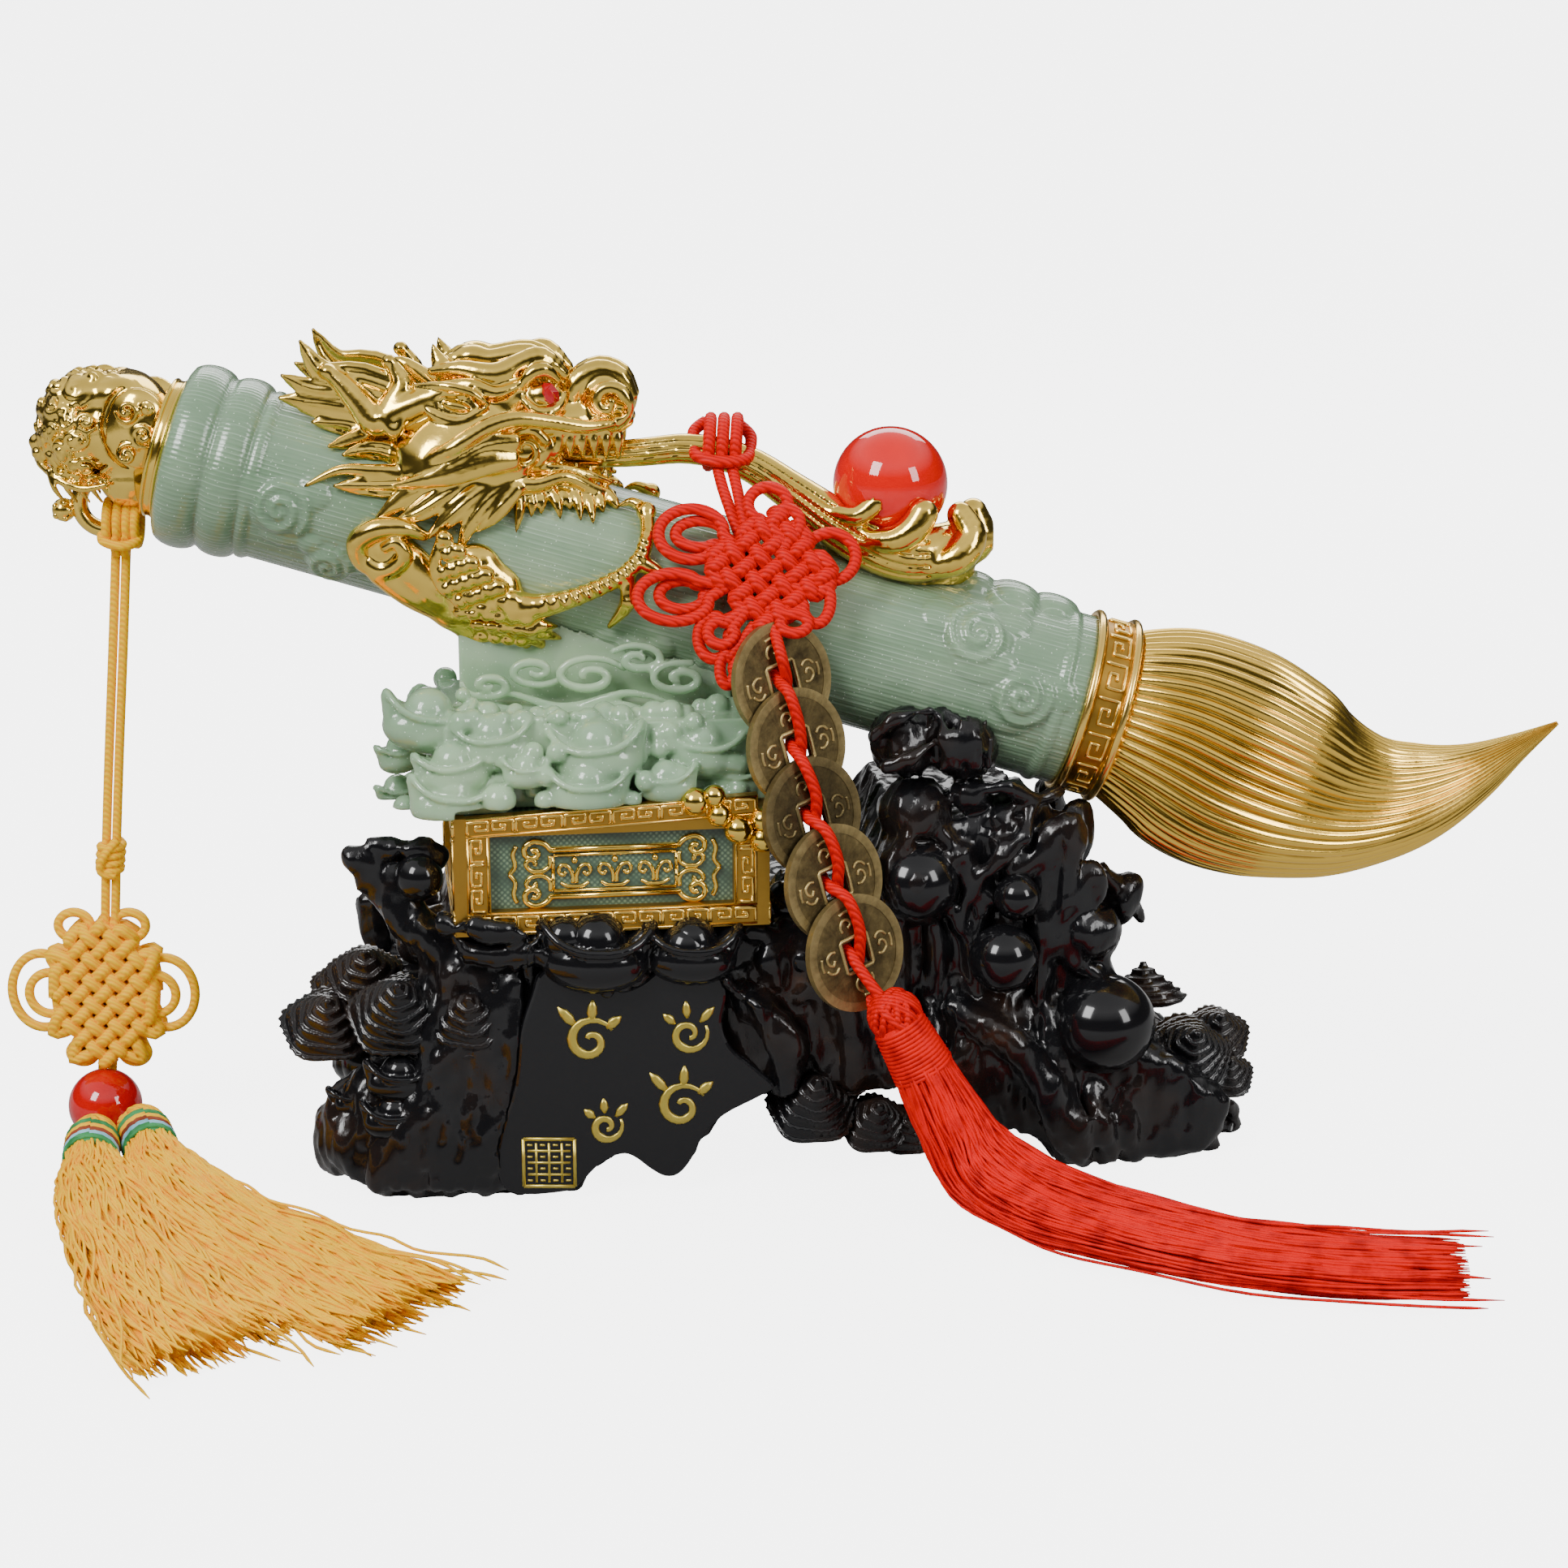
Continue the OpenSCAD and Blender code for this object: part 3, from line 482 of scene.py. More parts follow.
def black_material(name, bark):
    """Glossy black lacquer; bark adds fine grain and a brown wash in the carving."""
    material, tree, shader = new_material(name, Roughness=0.13, Coat_Weight=0.35, Coat_Roughness=0.03, IOR=1.36)
    place = place_of(tree)
    if bark:
        wash = noise(tree, place, 45, 5, 0.65)
        tree.links.new(ramp(tree, wash, [(0.45, (0.006, 0.006, 0.007)), (0.62, (0.016, 0.010, 0.008)),
                                         (0.74, (0.05, 0.022, 0.012))]), shader.inputs["Base Color"])
        streaks = add_node(tree, "ShaderNodeMapping", {"Vector": place, "Scale": (1.0, 1.0, 0.28)})
        bump(tree, shader, noise(tree, streaks.outputs[0], 260, 6, 0.6), 0.55, 0.0007)
    else:
        shader.inputs["Base Color"].default_value = (0.006, 0.006, 0.007, 1)
        bump(tree, shader, noise(tree, place, 60, 2), 0.05, 0.0004)
    return material


def panel_material(name):
    """Dark green resin with a fine raised check."""
    material, tree, shader = new_material(name, Roughness=0.35, Coat_Weight=0.15)
    place = place_of(tree, turn=(0, -math.radians(45), -YAW))
    dots = add_node(tree, "ShaderNodeTexVoronoi", {"Vector": place, "Scale": 1150.0, "Randomness": 0.0})
    colour = ramp(tree, dots.outputs["Distance"], [(0.15, (0.20, 0.29, 0.18)), (0.45, (0.075, 0.125, 0.08)),
                                                   (0.7, (0.055, 0.09, 0.06))])
    tree.links.new(colour, shader.inputs["Base Color"])
    bump(tree, shader, dots.outputs["Distance"], -0.5, 0.0003)
    return material


def brass_material(name, tint):
    """Old cast brass, brown in the field and worn bright on what stands up."""
    material, tree, shader = new_material(name, Metallic=0.75, Roughness=0.42)
    place = place_of(tree)
    worn = noise(tree, place, 320, 6, 0.65)
    cavity = add_node(tree, "ShaderNodeNewGeometry").outputs["Pointiness"]
    shade = add_node(tree, "ShaderNodeMath", {0: worn, 1: 0.35, 2: cavity}, operation="MULTIPLY_ADD")
    dark, mid, light = [tuple(c * tint for c in rgb) for rgb in
                        ((0.045, 0.030, 0.010), (0.145, 0.105, 0.038), (0.36, 0.27, 0.11))]
    tree.links.new(ramp(tree, shade.outputs[0], [(0.56, dark), (0.67, mid), (0.86, light)]),
                   shader.inputs["Base Color"])
    bump(tree, shader, noise(tree, place, 900, 4, 0.7), 0.5, 0.0002)
    return material


def cord_material(name, colour, deep):
    """Silky braid: fine slanting ribs with painted shade in the grooves between them, and a soft sheen."""
    material, tree, shader = new_material(name, Roughness=0.5, Specular_IOR_Level=0.18)
    place = place_of(tree, turn=(0.5, 0.6, 0.4))
    wave = add_node(tree, "ShaderNodeTexWave", {"Vector": place, "Scale": 420.0, "Distortion": 1.5,
                                                "Detail": 1.0}, bands_direction="DIAGONAL")
    # the deep colour falls in the ribs' low grooves: painted shade
    tree.links.new(ramp(tree, wave.outputs["Fac"], [(0.0, deep), (0.55, colour), (1.0, colour)]),
                   shader.inputs["Base Color"])
    bump(tree, shader, wave.outputs["Fac"], 0.5, 0.0003)
    return material


def thread_material(name, colour, deep):
    """Fine silk threads seen one by one, each a little different."""
    material, tree, shader = new_material(name, Roughness=0.5, Specular_IOR_Level=0.18)
    place = place_of(tree)
    varied = noise(tree, place, 220, 3)
    tree.links.new(ramp(tree, varied, [(0.3, deep), (0.55, colour), (0.8, colour)]), shader.inputs["Base Color"])
    bump(tree, shader, noise(tree, place, 2400, 2), 0.3, 0.00012)
    return material


def resin_material(name, colour, depth, clear):
    """Clear coloured resin with a polished skin."""
    material, tree, shader = new_material(
        name, Roughness=0.05, Coat_Weight=0.5, Coat_Roughness=0.02, IOR=1.49, Transmission_Weight=clear,
        Subsurface_Weight=0.25, Subsurface_Radius=(0.01, 0.001, 0.0005), Subsurface_Scale=1.0)
    cloudy = noise(tree, place_of(tree), 90, 3)
    tree.links.new(ramp(tree, cloudy, [(0.3, depth), (0.7, colour)]), shader.inputs["Base Color"])
    return material


GOLD = (0.96, 0.66, 0.13)
# the second colour of each gold is the painted shade in its recesses
gold = gold_painted_shade_material("gold_bright", GOLD, (0.20, 0.115, 0.012), 0.12)
gold_key = gold_painted_shade_material("gold_key", (1.0, 0.66, 0.16), (0.22, 0.10, 0.01), 0.2)
gold_ground = gold_painted_shade_material("gold_ground", (0.46, 0.26, 0.045), (0.12, 0.055, 0.006), 0.36)
gold_tip = gold_painted_shade_material("gold_tip", (0.96, 0.62, 0.11), (0.13, 0.065, 0.006), 0.15)
gold_paint = gold_painted_shade_material("gold_paint", (0.74, 0.58, 0.12), (0.36, 0.25, 0.04), 0.34, 0.6)
jade = jade_material("jade_resin", False, 1.22)
jade_lines_highlit = jade_material("jade_lines_highlit", True, 0.92)
black_bark = black_material("black_bark", True)
black_gloss = black_material("black_gloss", False)
green_panel = panel_material("green_panel_resin")
brass_old = brass_material("brass_old", 1.0)
brass_brown = brass_material("brass_brown", 0.62)
brass_marks = brass_material("brass_marks", 1.7)
red_braid = cord_material("red_braid", (0.80, 0.0, 0.0), (0.50, 0.0, 0.0))
red_silk = thread_material("red_silk", (0.80, 0.0, 0.0), (0.46, 0.0, 0.0))
yellow_braid = cord_material("yellow_braid", (1.0, 0.56, 0.0), (0.98, 0.42, 0.0))
yellow_silk = thread_material("yellow_silk", (1.0, 0.56, 0.0), (0.98, 0.42, 0.0))
red_ball = resin_material("red_ball_resin", (0.84, 0.003, 0.0), (0.74, 0.0, 0.0), 0.0)
red_bead = resin_material("red_bead_resin", (0.62, 0.0, 0.003), (0.50, 0.0, 0.002), 0.0)
red_stone = resin_material("red_stone_resin", (0.60, 0.0, 0.01), (0.40, 0.0, 0.005), 0.0)


# ---------- camera, floor and light ----------
TARGET = np.array([-6.0, 0.0, 80.0])
LENS = 74.53
SENSOR = 36.0


def make_camera():
    data = bpy.data.cameras.new("camera")
    data.lens = LENS
    data.sensor_width = SENSOR
    data.clip_start = 0.01
    data.clip_end = 50
    camera = bpy.data.objects.new("camera", data)
    bpy.context.scene.collection.objects.link(camera)
    camera.location = Vector(CAMERA * MM)
    camera.rotation_mode = "QUATERNION"
    camera.rotation_quaternion = Vector(TARGET - CAMERA).to_track_quat("-Z", "Y")
    bpy.context.scene.camera = camera


def make_light(name, place, size, power, colour=(1, 1, 1), shape="RECTANGLE"):
    """A soft lamp aimed at the middle of the object; place and size in metres."""
    data = bpy.data.lights.new(name, "AREA")
    data.shape = shape
    data.size, data.size_y = size
    data.energy = power
    data.color = colour
    lamp = bpy.data.objects.new(name, data)
    bpy.context.scene.collection.objects.link(lamp)
    lamp.location = place
    aim = Vector((0, 0, 0.09)) - Vector(place)
    lamp.rotation_euler = aim.to_track_quat("-Z", "Y").to_euler()


def make_studio():
    floor_size = 30.0
    bpy.ops.mesh.primitive_plane_add(size=floor_size, location=(0, 0, -0.0001))
    floor = bpy.context.object
    floor.name = "floor"
    material, _, _ = new_material("floor_paint", Base_Color=(0.38, 0.38, 0.38, 1), Roughness=0.8,
                                  Specular_IOR_Level=0.1, Emission_Color=(1, 1, 1, 1), Emission_Strength=5.0)
    floor.data.materials.append(material)
    # the floor's own brightness isn't cast on the object
    only_floor = bpy.data.collections.new("only_floor")
    only_floor.objects.link(floor)
    floor.light_linking.receiver_collection = only_floor
    world = bpy.data.worlds.new("studio")
    bpy.context.scene.world = world
    world.use_nodes = True
    tree = world.node_tree
    back = tree.nodes["Background"]
    # a pale room, dark low down and between two bright bands, which polished gold reflects
    up = add_node(tree, "ShaderNodeTexCoord").outputs["Generated"]
    height = add_node(tree, "ShaderNodeSeparateXYZ", {"Vector": up}).outputs["Z"]
    half = add_node(tree, "ShaderNodeMapRange", {"Value": height, "From Min": -1.0, "From Max": 1.0})
    room = ramp(tree, half.outputs[0], [(0.0, (0.3, 0.3, 0.3)), (0.49, (0.4, 0.4, 0.4)),
                                        (0.51, (0.06, 0.06, 0.06)), (0.68, (0.03, 0.03, 0.03)),
                                        (0.75, (0.50, 0.50, 0.50)), (0.84, (0.95, 0.95, 0.95)),
                                        (1.0, (0.70, 0.70, 0.70))])
    seen = add_node(tree, "ShaderNodeLightPath").outputs["Is Camera Ray"]
    mixed = add_node(tree, "ShaderNodeMix", {"Factor": seen}, data_type="RGBA")
    tree.links.new(room, mixed.inputs["A"])
    mixed.inputs["B"].default_value = (5.0, 5.0, 5.02, 1)
    tree.links.new(mixed.outputs["Result"], back.inputs["Color"])
    back.inputs["Strength"].default_value = 1.0
    make_light("key_softbox", (-0.75, -0.95, 1.05), (0.50, 0.70), 21)
    make_light("fill_softbox", (0.95, -0.75, 0.65), (0.35, 0.60), 7)
    make_light("back_softbox", (0.10, 1.10, 0.90), (1.20, 0.50), 9)


make_camera()
make_studio()
# ---------- cords ----------
# The routes of the pendants' two pairs of strands, in millimetres, as the CAD model has them.
RED_A = [
    (-20, -6, 150.5), (-19, -9, 147), (-17.5, -12, 143), (-15.5, -14.5, 138), (-12.5, -18, 131),
    (-9.5, -22, 124.5), (-8, -28, 120), (-6.5, -31, 115), (-5.5, -28, 109.5), (-6, -26.5, 103.5),
    (-4.5, -27, 97.5), (-4.5, -32, 96.5), (-2, -36, 94), (0.5, -35.5, 87.5), (0.5, -33.5, 82),
    (0.5, -32, 76), (1.5, -32.5, 70), (3, -37.5, 68.5), (7, -40.5, 66.5), (9.5, -40, 60),
    (9.5, -38.5, 54.5), (9.5, -37, 48.5), (12, -39.5, 43.5), (16, -42.6, 40), (20, -43, 33),
    (25, -44.5, 25), (31, -47, 16), (38, -51, 9.5), (48, -58.5, 6.5), (60, -67.5, 5.5),
    (73, -76, 5), (88, -82, 4.5), (103, -85.5, 4), (116, -87.5, 4)
]
RED_B = [
    (-17, -6, 150.5), (-16, -9, 147), (-15, -12, 143), (-13.5, -15.5, 138), (-11, -20, 131),
    (-9, -25, 124.5), (-9.5, -26.5, 117), (-7.5, -28.5, 110), (-5, -33, 108), (-3, -32.5, 101.5),
    (-2.5, -31, 96), (-3, -29.5, 90), (-1.5, -30.5, 84), (-1.5, -35, 82.5), (2.5, -38.5, 80.5),
    (5, -38, 74), (5, -36, 68.5), (5, -34.5, 62.5), (6, -35, 56.5), (7.5, -39.5, 54.5),
    (12, -42.5, 48.5), (16.5, -43.3, 43)
]
YELLOW_A = [
    (-147.2, 0, 133), (-148.4, -0.5, 117), (-149.8, -1, 100), (-151.2, -1.5, 83), (-152.4, -2, 67),
    (-153.4, -1.8, 53), (-154.6, -1, 38), (-155.8, 0, 25), (-156.4, 0.2, 16), (-156.3, -4.3, 8.4),
    (-156, -9, 2.6), (-155.4, -14.5, 1.9), (-154, -20.5, 4.4), (-152.8, -27, 6.2), (-151, -37, 6.5),
    (-147.5, -50, 6), (-142, -64, 5.4), (-135.5, -79, 4.8), (-127.5, -94, 4.2), (-118.5, -108.5, 3.6)
]
YELLOW_B = [
    (-145, 0, 133), (-146.2, -0.5, 117), (-147.6, -1, 100), (-149, -1.5, 83), (-150.2, -2, 67),
    (-151.2, -1.8, 53), (-152.4, -1, 38), (-153.6, 0, 25), (-154.2, 0.2, 16), (-154.3, -4.3, 8.4),
    (-153.6, -9, 2.6), (-151, -13, 1.9), (-147, -17, 4.4), (-144, -22, 6.4), (-140, -31, 6.8),
    (-133, -45, 6.2), (-123.5, -59, 5.4), (-112, -73, 4.8), (-99, -86.5, 4.2), (-86, -99, 3.6)
]
RED_D = 2.5
YELLOW_D = 2.0


def cord_curve(name, route, diameter, material, slot_name, node):
    """A cord as one smooth curve of round section along its route."""
    data = bpy.data.curves.new(name, "CURVE")
    data.dimensions = "3D"
    data.bevel_depth = diameter / 2 * MM
    data.bevel_resolution = 3
    data.use_fill_caps = True
    rows = spline(route, 4)
    line = data.splines.new("POLY")
    line.points.add(len(rows) - 1)
    line.points.foreach_set("co", np.hstack([rows * MM, np.ones((len(rows), 1))]).ravel())
    line.use_smooth = True
    data.materials.append(material)
    piece = bpy.data.objects.new(name, data)
    bpy.context.scene.collection.objects.link(piece)
    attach(piece, BODY)
    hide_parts(node)
    return piece, float(np.linalg.norm(np.diff(rows, axis=0), axis=1).sum()) * MM


def make_cords():
    """The four strands, each a cord that starts at its hitch."""
    for name, route, diameter, material, slot_name, far_end in (
            ("red_cord_front", RED_A, RED_D, red_braid, "red_cord", "bare"),
            ("red_cord_back", RED_B, RED_D, red_braid, "red_cord", "knot"),
            ("yellow_cord_near", YELLOW_A, YELLOW_D, yellow_braid, "yellow_cord", "bare"),
            ("yellow_cord_far", YELLOW_B, YELLOW_D, yellow_braid, "yellow_cord", "bare")):
        node = CORD_NODES[name]
        piece, length = cord_curve(name, route, diameter, material, slot_name, node)
        tuple(float(v) * MM for v in route[0])
        cord_company(name)


CORD_NODES = {"red_cord_front": "red_cord_a", "red_cord_back": "red_cord_b",
              "yellow_cord_near": "yellow_cord_a", "yellow_cord_far": "yellow_cord_b"}


# ---------- knots ----------
def weave(inside, reach, pitch, radius, rise, turn, place):
    """Two rows of strands woven over and under inside an outline, each one serpentine with small ears.

    inside(x, z) tells what lies in the outline, and place(x, z, lift) sets a point in space."""
    c, s = math.cos(math.radians(turn)), math.sin(math.radians(turn))
    parts = Parts()
    lines = int(reach / pitch)
    for way in (0, 1):
        path = []
        flip = False
        for i in range(-lines, lines + 1):
            run = []
            for t in np.arange(-reach - pitch, reach + pitch, pitch / 6):
                a, b = (t, i * pitch) if way == 0 else (i * pitch, t)
                x, z = a * c - b * s, a * s + b * c
                if inside(x, z):
                    sign = 1 if way == 0 else -1
                    run.append((x, z, sign * rise * math.cos(math.pi * t / pitch + math.pi * i)))
            if len(run) < 6:
                continue
            run = run[::-1] if flip else run
            flip = not flip
            if path:
                a, b = np.array(path[-1]), np.array(run[0])
                back = np.array(path[-1]) - np.array(path[-4])
                out = back[:2] / (np.linalg.norm(back[:2]) + 1e-9) * pitch * 0.75
                middle = (a + b) / 2
                path.append((middle[0] + out[0], middle[1] + out[1], 0))
            path += run
        rows = spline([place(*q) for q in path[::2]], 3)
        parts.tube(rows, radius, 8)
    return parts


def ear(points, place, lift=0.0, steps=7):
    """A loop of cord that leaves the knot's body and comes back to it."""
    return spline([place(x, z, lift + (q[0] if q else 0)) for x, z, *q in points], steps)


def oval_ear(x0, x1, z0, z1, root, place, lift=0.0):
    """An open loop filling the box x0..x1, z0..z1, its two ends at the root's side of it."""
    cx, cz = (x0 + x1) / 2, (z0 + z1) / 2
    rx, rz = (x1 - x0) / 2, (z1 - z0) / 2
    start = math.atan2((root[1] - cz) / rz, (root[0] - cx) / rx)
    angles = start + np.linspace(0.35, 2 * np.pi - 0.35, 15)
    points = [root] + [(cx + rx * math.cos(a), cz + rz * math.sin(a)) for a in angles] + [root]
    return ear(points, place, lift)


KNOT_Z = 130.3


def on_knot(x, z, lift=0.0):
    """A point drawn at x, z in the plane y = -18, set on the leaning plane of the red knot."""
    y = -20.5 + 0.404 * (z - KNOT_Z) - lift
    t = (y - CAMERA[1]) / (-18.0 - CAMERA[1])
    return CAMERA + t * (np.array([x, -18.0, z]) - CAMERA)


# ears of the red knot: low x, high x, low z, high z and the root on the body, lift
RED_EARS = [
    (-33, -17, 131.5, 144.5, (-14, 134), 0.6), (-29.5, -17, 134, 142, (-14, 135), -1.2),
    (-37.5, -20, 118.5, 131, (-16, 128), 1.2), (-33, -21, 121, 129.5, (-17, 128), -0.8),
    (-25, -16, 110.5, 122, (-14, 122), 0.4), (-23, -15, 113.5, 121, (-13, 123), 2.2),
    (-20.5, -15, 105, 114, (-12, 119), 1.4), (-14.5, -4, 139.5, 149, (-9, 138), 0.8),
    (-9.5, -1.5, 136, 144.5, (-6, 135), 2.4), (-3, 10, 127, 139.5, (-4, 132), 0.6),
    (-3.5, 4.8, 118, 130, (-6, 127), 1.8), (-8, 0.2, 116, 122.5, (-8, 122), 3.0)
]


def make_red_knot():
    middle = (-8.6, 130.5)
    half = 9.8

    def inside(x, z):
        a, b = (x * math.cos(0.66) + z * math.sin(0.66)), (-x * math.sin(0.66) + z * math.cos(0.66))
        return max(abs(a), abs(b)) < half

    def place(x, z, lift):
        return on_knot(middle[0] + x, middle[1] + z, lift + 1.6)

    parts = weave(inside, 10.4, 3.9, 1.62, 1.0, 38, place)
    under = weave(inside, 10.4, 3.9, 1.62, 1.0, 38, lambda x, z, lift: place(x, z, lift - 3.0))
    parts.verts += under.verts
    parts.faces += [f + parts.count for f in under.faces]
    parts.count += under.count
    for x0, x1, z0, z1, root, lift in RED_EARS:
        parts.tube(oval_ear(x0 + 1.2, x1 - 1.2, z0 + 1.2, z1 - 1.2, root, on_knot, lift), 1.25, 10)
    parts.piece("red_knot_tied", red_braid, "red_cord", ["red_knot"])


def ring_about_stem(x, y, z, rx, rz, radius, parts, lean=0.0):
    """A closed turn of cord round a stem that runs along x."""
    a = np.linspace(0, 2 * np.pi, 28, endpoint=False)
    path = np.stack([x + lean * np.sin(a), y + rx * np.cos(a), z + rz * np.sin(a)], -1)
    parts.loop(path, radius, 10, ref=(1, 0, 0))


def make_hitches():
    red = Parts()
    for x in (-21.6, -18.8, -16.0):
        ring_about_stem(x, -1.8, 154.6, 4.9, 5.0, 1.3, red, 0.3)
    red.tube(spline([(-24.6, -3.5, 153.6), (-24.2, -6.2, 152.4), (-21, -7.9, 151.6), (-17, -7.9, 151.4),
                     (-13.8, -6.2, 151.8), (-13.2, -3.5, 152.8)], 5), 1.3, 10)
    red.tube(spline([(-24.6, -3.5, 153.6), (-24.9, 0, 156.5), (-22.5, 2.5, 158.2)], 5), 1.3, 10)
    red.tube(spline([(-13.2, -3.5, 152.8), (-13.0, 0, 155.5), (-15.4, 2.5, 157.6)], 5), 1.3, 10)
    red.piece("red_hitch_tied", red_braid, "red_cord", ["red_hitch"])
    yellow = Parts()
    for x in (-148.4, -146.2, -144.2, -142.4):
        ring_about_stem(x, -0.2, 137.2, 3.4, 4.6, 1.05, yellow, 0.2)
    yellow.tube(spline([(-149.6, -1.0, 135.4), (-149.4, -3.4, 134.0), (-147, -4.6, 133.2), (-144.4, -4.6, 133.0),
                        (-142, -3.4, 133.8), (-141.8, -1.0, 135.2)], 5), 1.05, 10)
    for x in (-146.9, -145.1):
        yellow.tube(spline([(x, -2.6, 134.8), (x - 0.1, -2.2, 132.5), (x - 0.2, -0.8, 130.5)], 4), 1.05, 10)
    yellow.piece("yellow_hitch_tied", yellow_braid, "yellow_cord", ["yellow_hitch"])


def coil(parts, path, radii, turns, thread, sides=6, phase=0.0, steps=18, flat_floor=True):
    """Thread wound side by side round a path."""
    n = int(turns * steps)
    t = np.linspace(0, 1, n)
    path = np.asarray(path, float)
    knots = np.linspace(0, 1, len(path))
    centre = np.stack([np.interp(t, knots, path[:, k]) for k in range(3)], -1)
    r = np.interp(t, np.linspace(0, 1, len(radii)), radii)[:, None]
    side, up = frames_along(centre, (0, 0, 1) if abs((path[-1] - path[0])[2]) < 5 else (0, 1, 0))
    a = (t * turns * 2 * np.pi + phase)[:, None]
    turn = centre + r * (np.cos(a) * side + np.sin(a) * up)
    if flat_floor:
        turn[:, 2] = np.maximum(turn[:, 2], thread + 0.1)
    parts.tube(turn, thread, sides, ref=(0.2, 0.4, 0.9))


# middle of the yellow knot's body
YELLOW_MIDDLE = (-154.5, -1.0, 33.5)


def make_yellow_knot():
    def place(x, z, lift):
        return np.array([YELLOW_MIDDLE[0] + x, YELLOW_MIDDLE[1] - lift, YELLOW_MIDDLE[2] + z])

    def inside(x, z):
        return (x / 10.8) ** 2 + (abs(z) / 16.4) ** 2.2 < 1

    parts = Parts()
    for lift in (1.8, -1.8):
        layer = weave(inside, 17, 3.6, 1.45, 0.9, 45, lambda x, z, q, lift=lift: place(x, z, q + lift))
        parts.verts += layer.verts
        parts.faces += [f + parts.count for f in layer.faces]
        parts.count += layer.count
    for x0, x1, z0, z1, root, lift in (
            (-21.5, -6, -9.5, 9.5, (-4, 1), 0), (-17.5, -6, -6, 5.5, (-4, 0), 1.2),
            (5.5, 20.5, -9.5, 8.5, (4, 1), 0), (5.5, 16.5, -6, 5, (4, 0), 1.2),
            (-10.5, -1.5, 11, 19, (-2.5, 10), 0.4), (1.5, 10.5, 11, 19, (2.5, 10), 0.4),
            (-9.5, -2, -17.5, -11, (-2, -9), 0.2), (2, 9.5, -17.5, -11, (2, -9), 0.2)):
        parts.tube(oval_ear(x0 + 1, x1 - 1, z0 + 1, z1 - 1, root, place, lift), 1.05, 10)
    parts.piece("yellow_knot_tied", yellow_braid, "yellow_cord", ["yellow_knot"])
    slip = Parts()
    coil(slip, [(-151.2, -2, 67.6), (-152.0, -1.8, 61.4)], [2.3, 2.3], 3.6, 1.0, 8, flat_floor=False)
    slip.tube(spline([(-149.6, -4.0, 68.6), (-152.6, -5.0, 65), (-153.4, -4.4, 61.6), (-150.4, -3.8, 60.4)], 5),
              1.0, 8)
    slip.piece("slip_knot_tied", yellow_braid, "yellow_cord", ["yellow_slip_knot"])


# ---------- tassels ----------
def wrapped_ball(name, centre, radius, material, slot_name, nodes, axis, thread):
    """A round head closed by turns of thread that cross at slanting angles."""
    parts = Parts()
    parts.ball(centre, radius - thread * 0.9, 20, 28)
    rng = np.random.default_rng(int(abs(centre[0]) * 10))
    axis = np.asarray(axis, float) / np.linalg.norm(axis)
    a = np.linspace(0, 2 * np.pi, 40, endpoint=False)[:, None]
    for ring in range(14):
        tip = axis + rng.normal(0, 0.08, 3)
        lean = np.cross(tip, [math.cos(ring * 2.4), math.sin(ring * 2.4), 0.4])
        lean /= np.linalg.norm(lean)
        normal = np.cos(1.05) * tip / np.linalg.norm(tip) + np.sin(1.05) * lean
        normal /= np.linalg.norm(normal)
        s = np.cross(normal, [0.31, 0.52, 0.79])
        s /= np.linalg.norm(s)
        u = np.cross(normal, s)
        shift = rng.uniform(-0.25, 0.25) * radius
        r = math.sqrt(radius ** 2 - shift ** 2) - thread * 0.45
        path = np.asarray(centre) + shift * normal + r * (np.cos(a) * s + np.sin(a) * u)
        path[:, 2] = np.maximum(path[:, 2], thread + 0.1)
        parts.loop(path, thread, 8, ref=tuple(normal))
    parts.piece(name, material, slot_name, nodes)


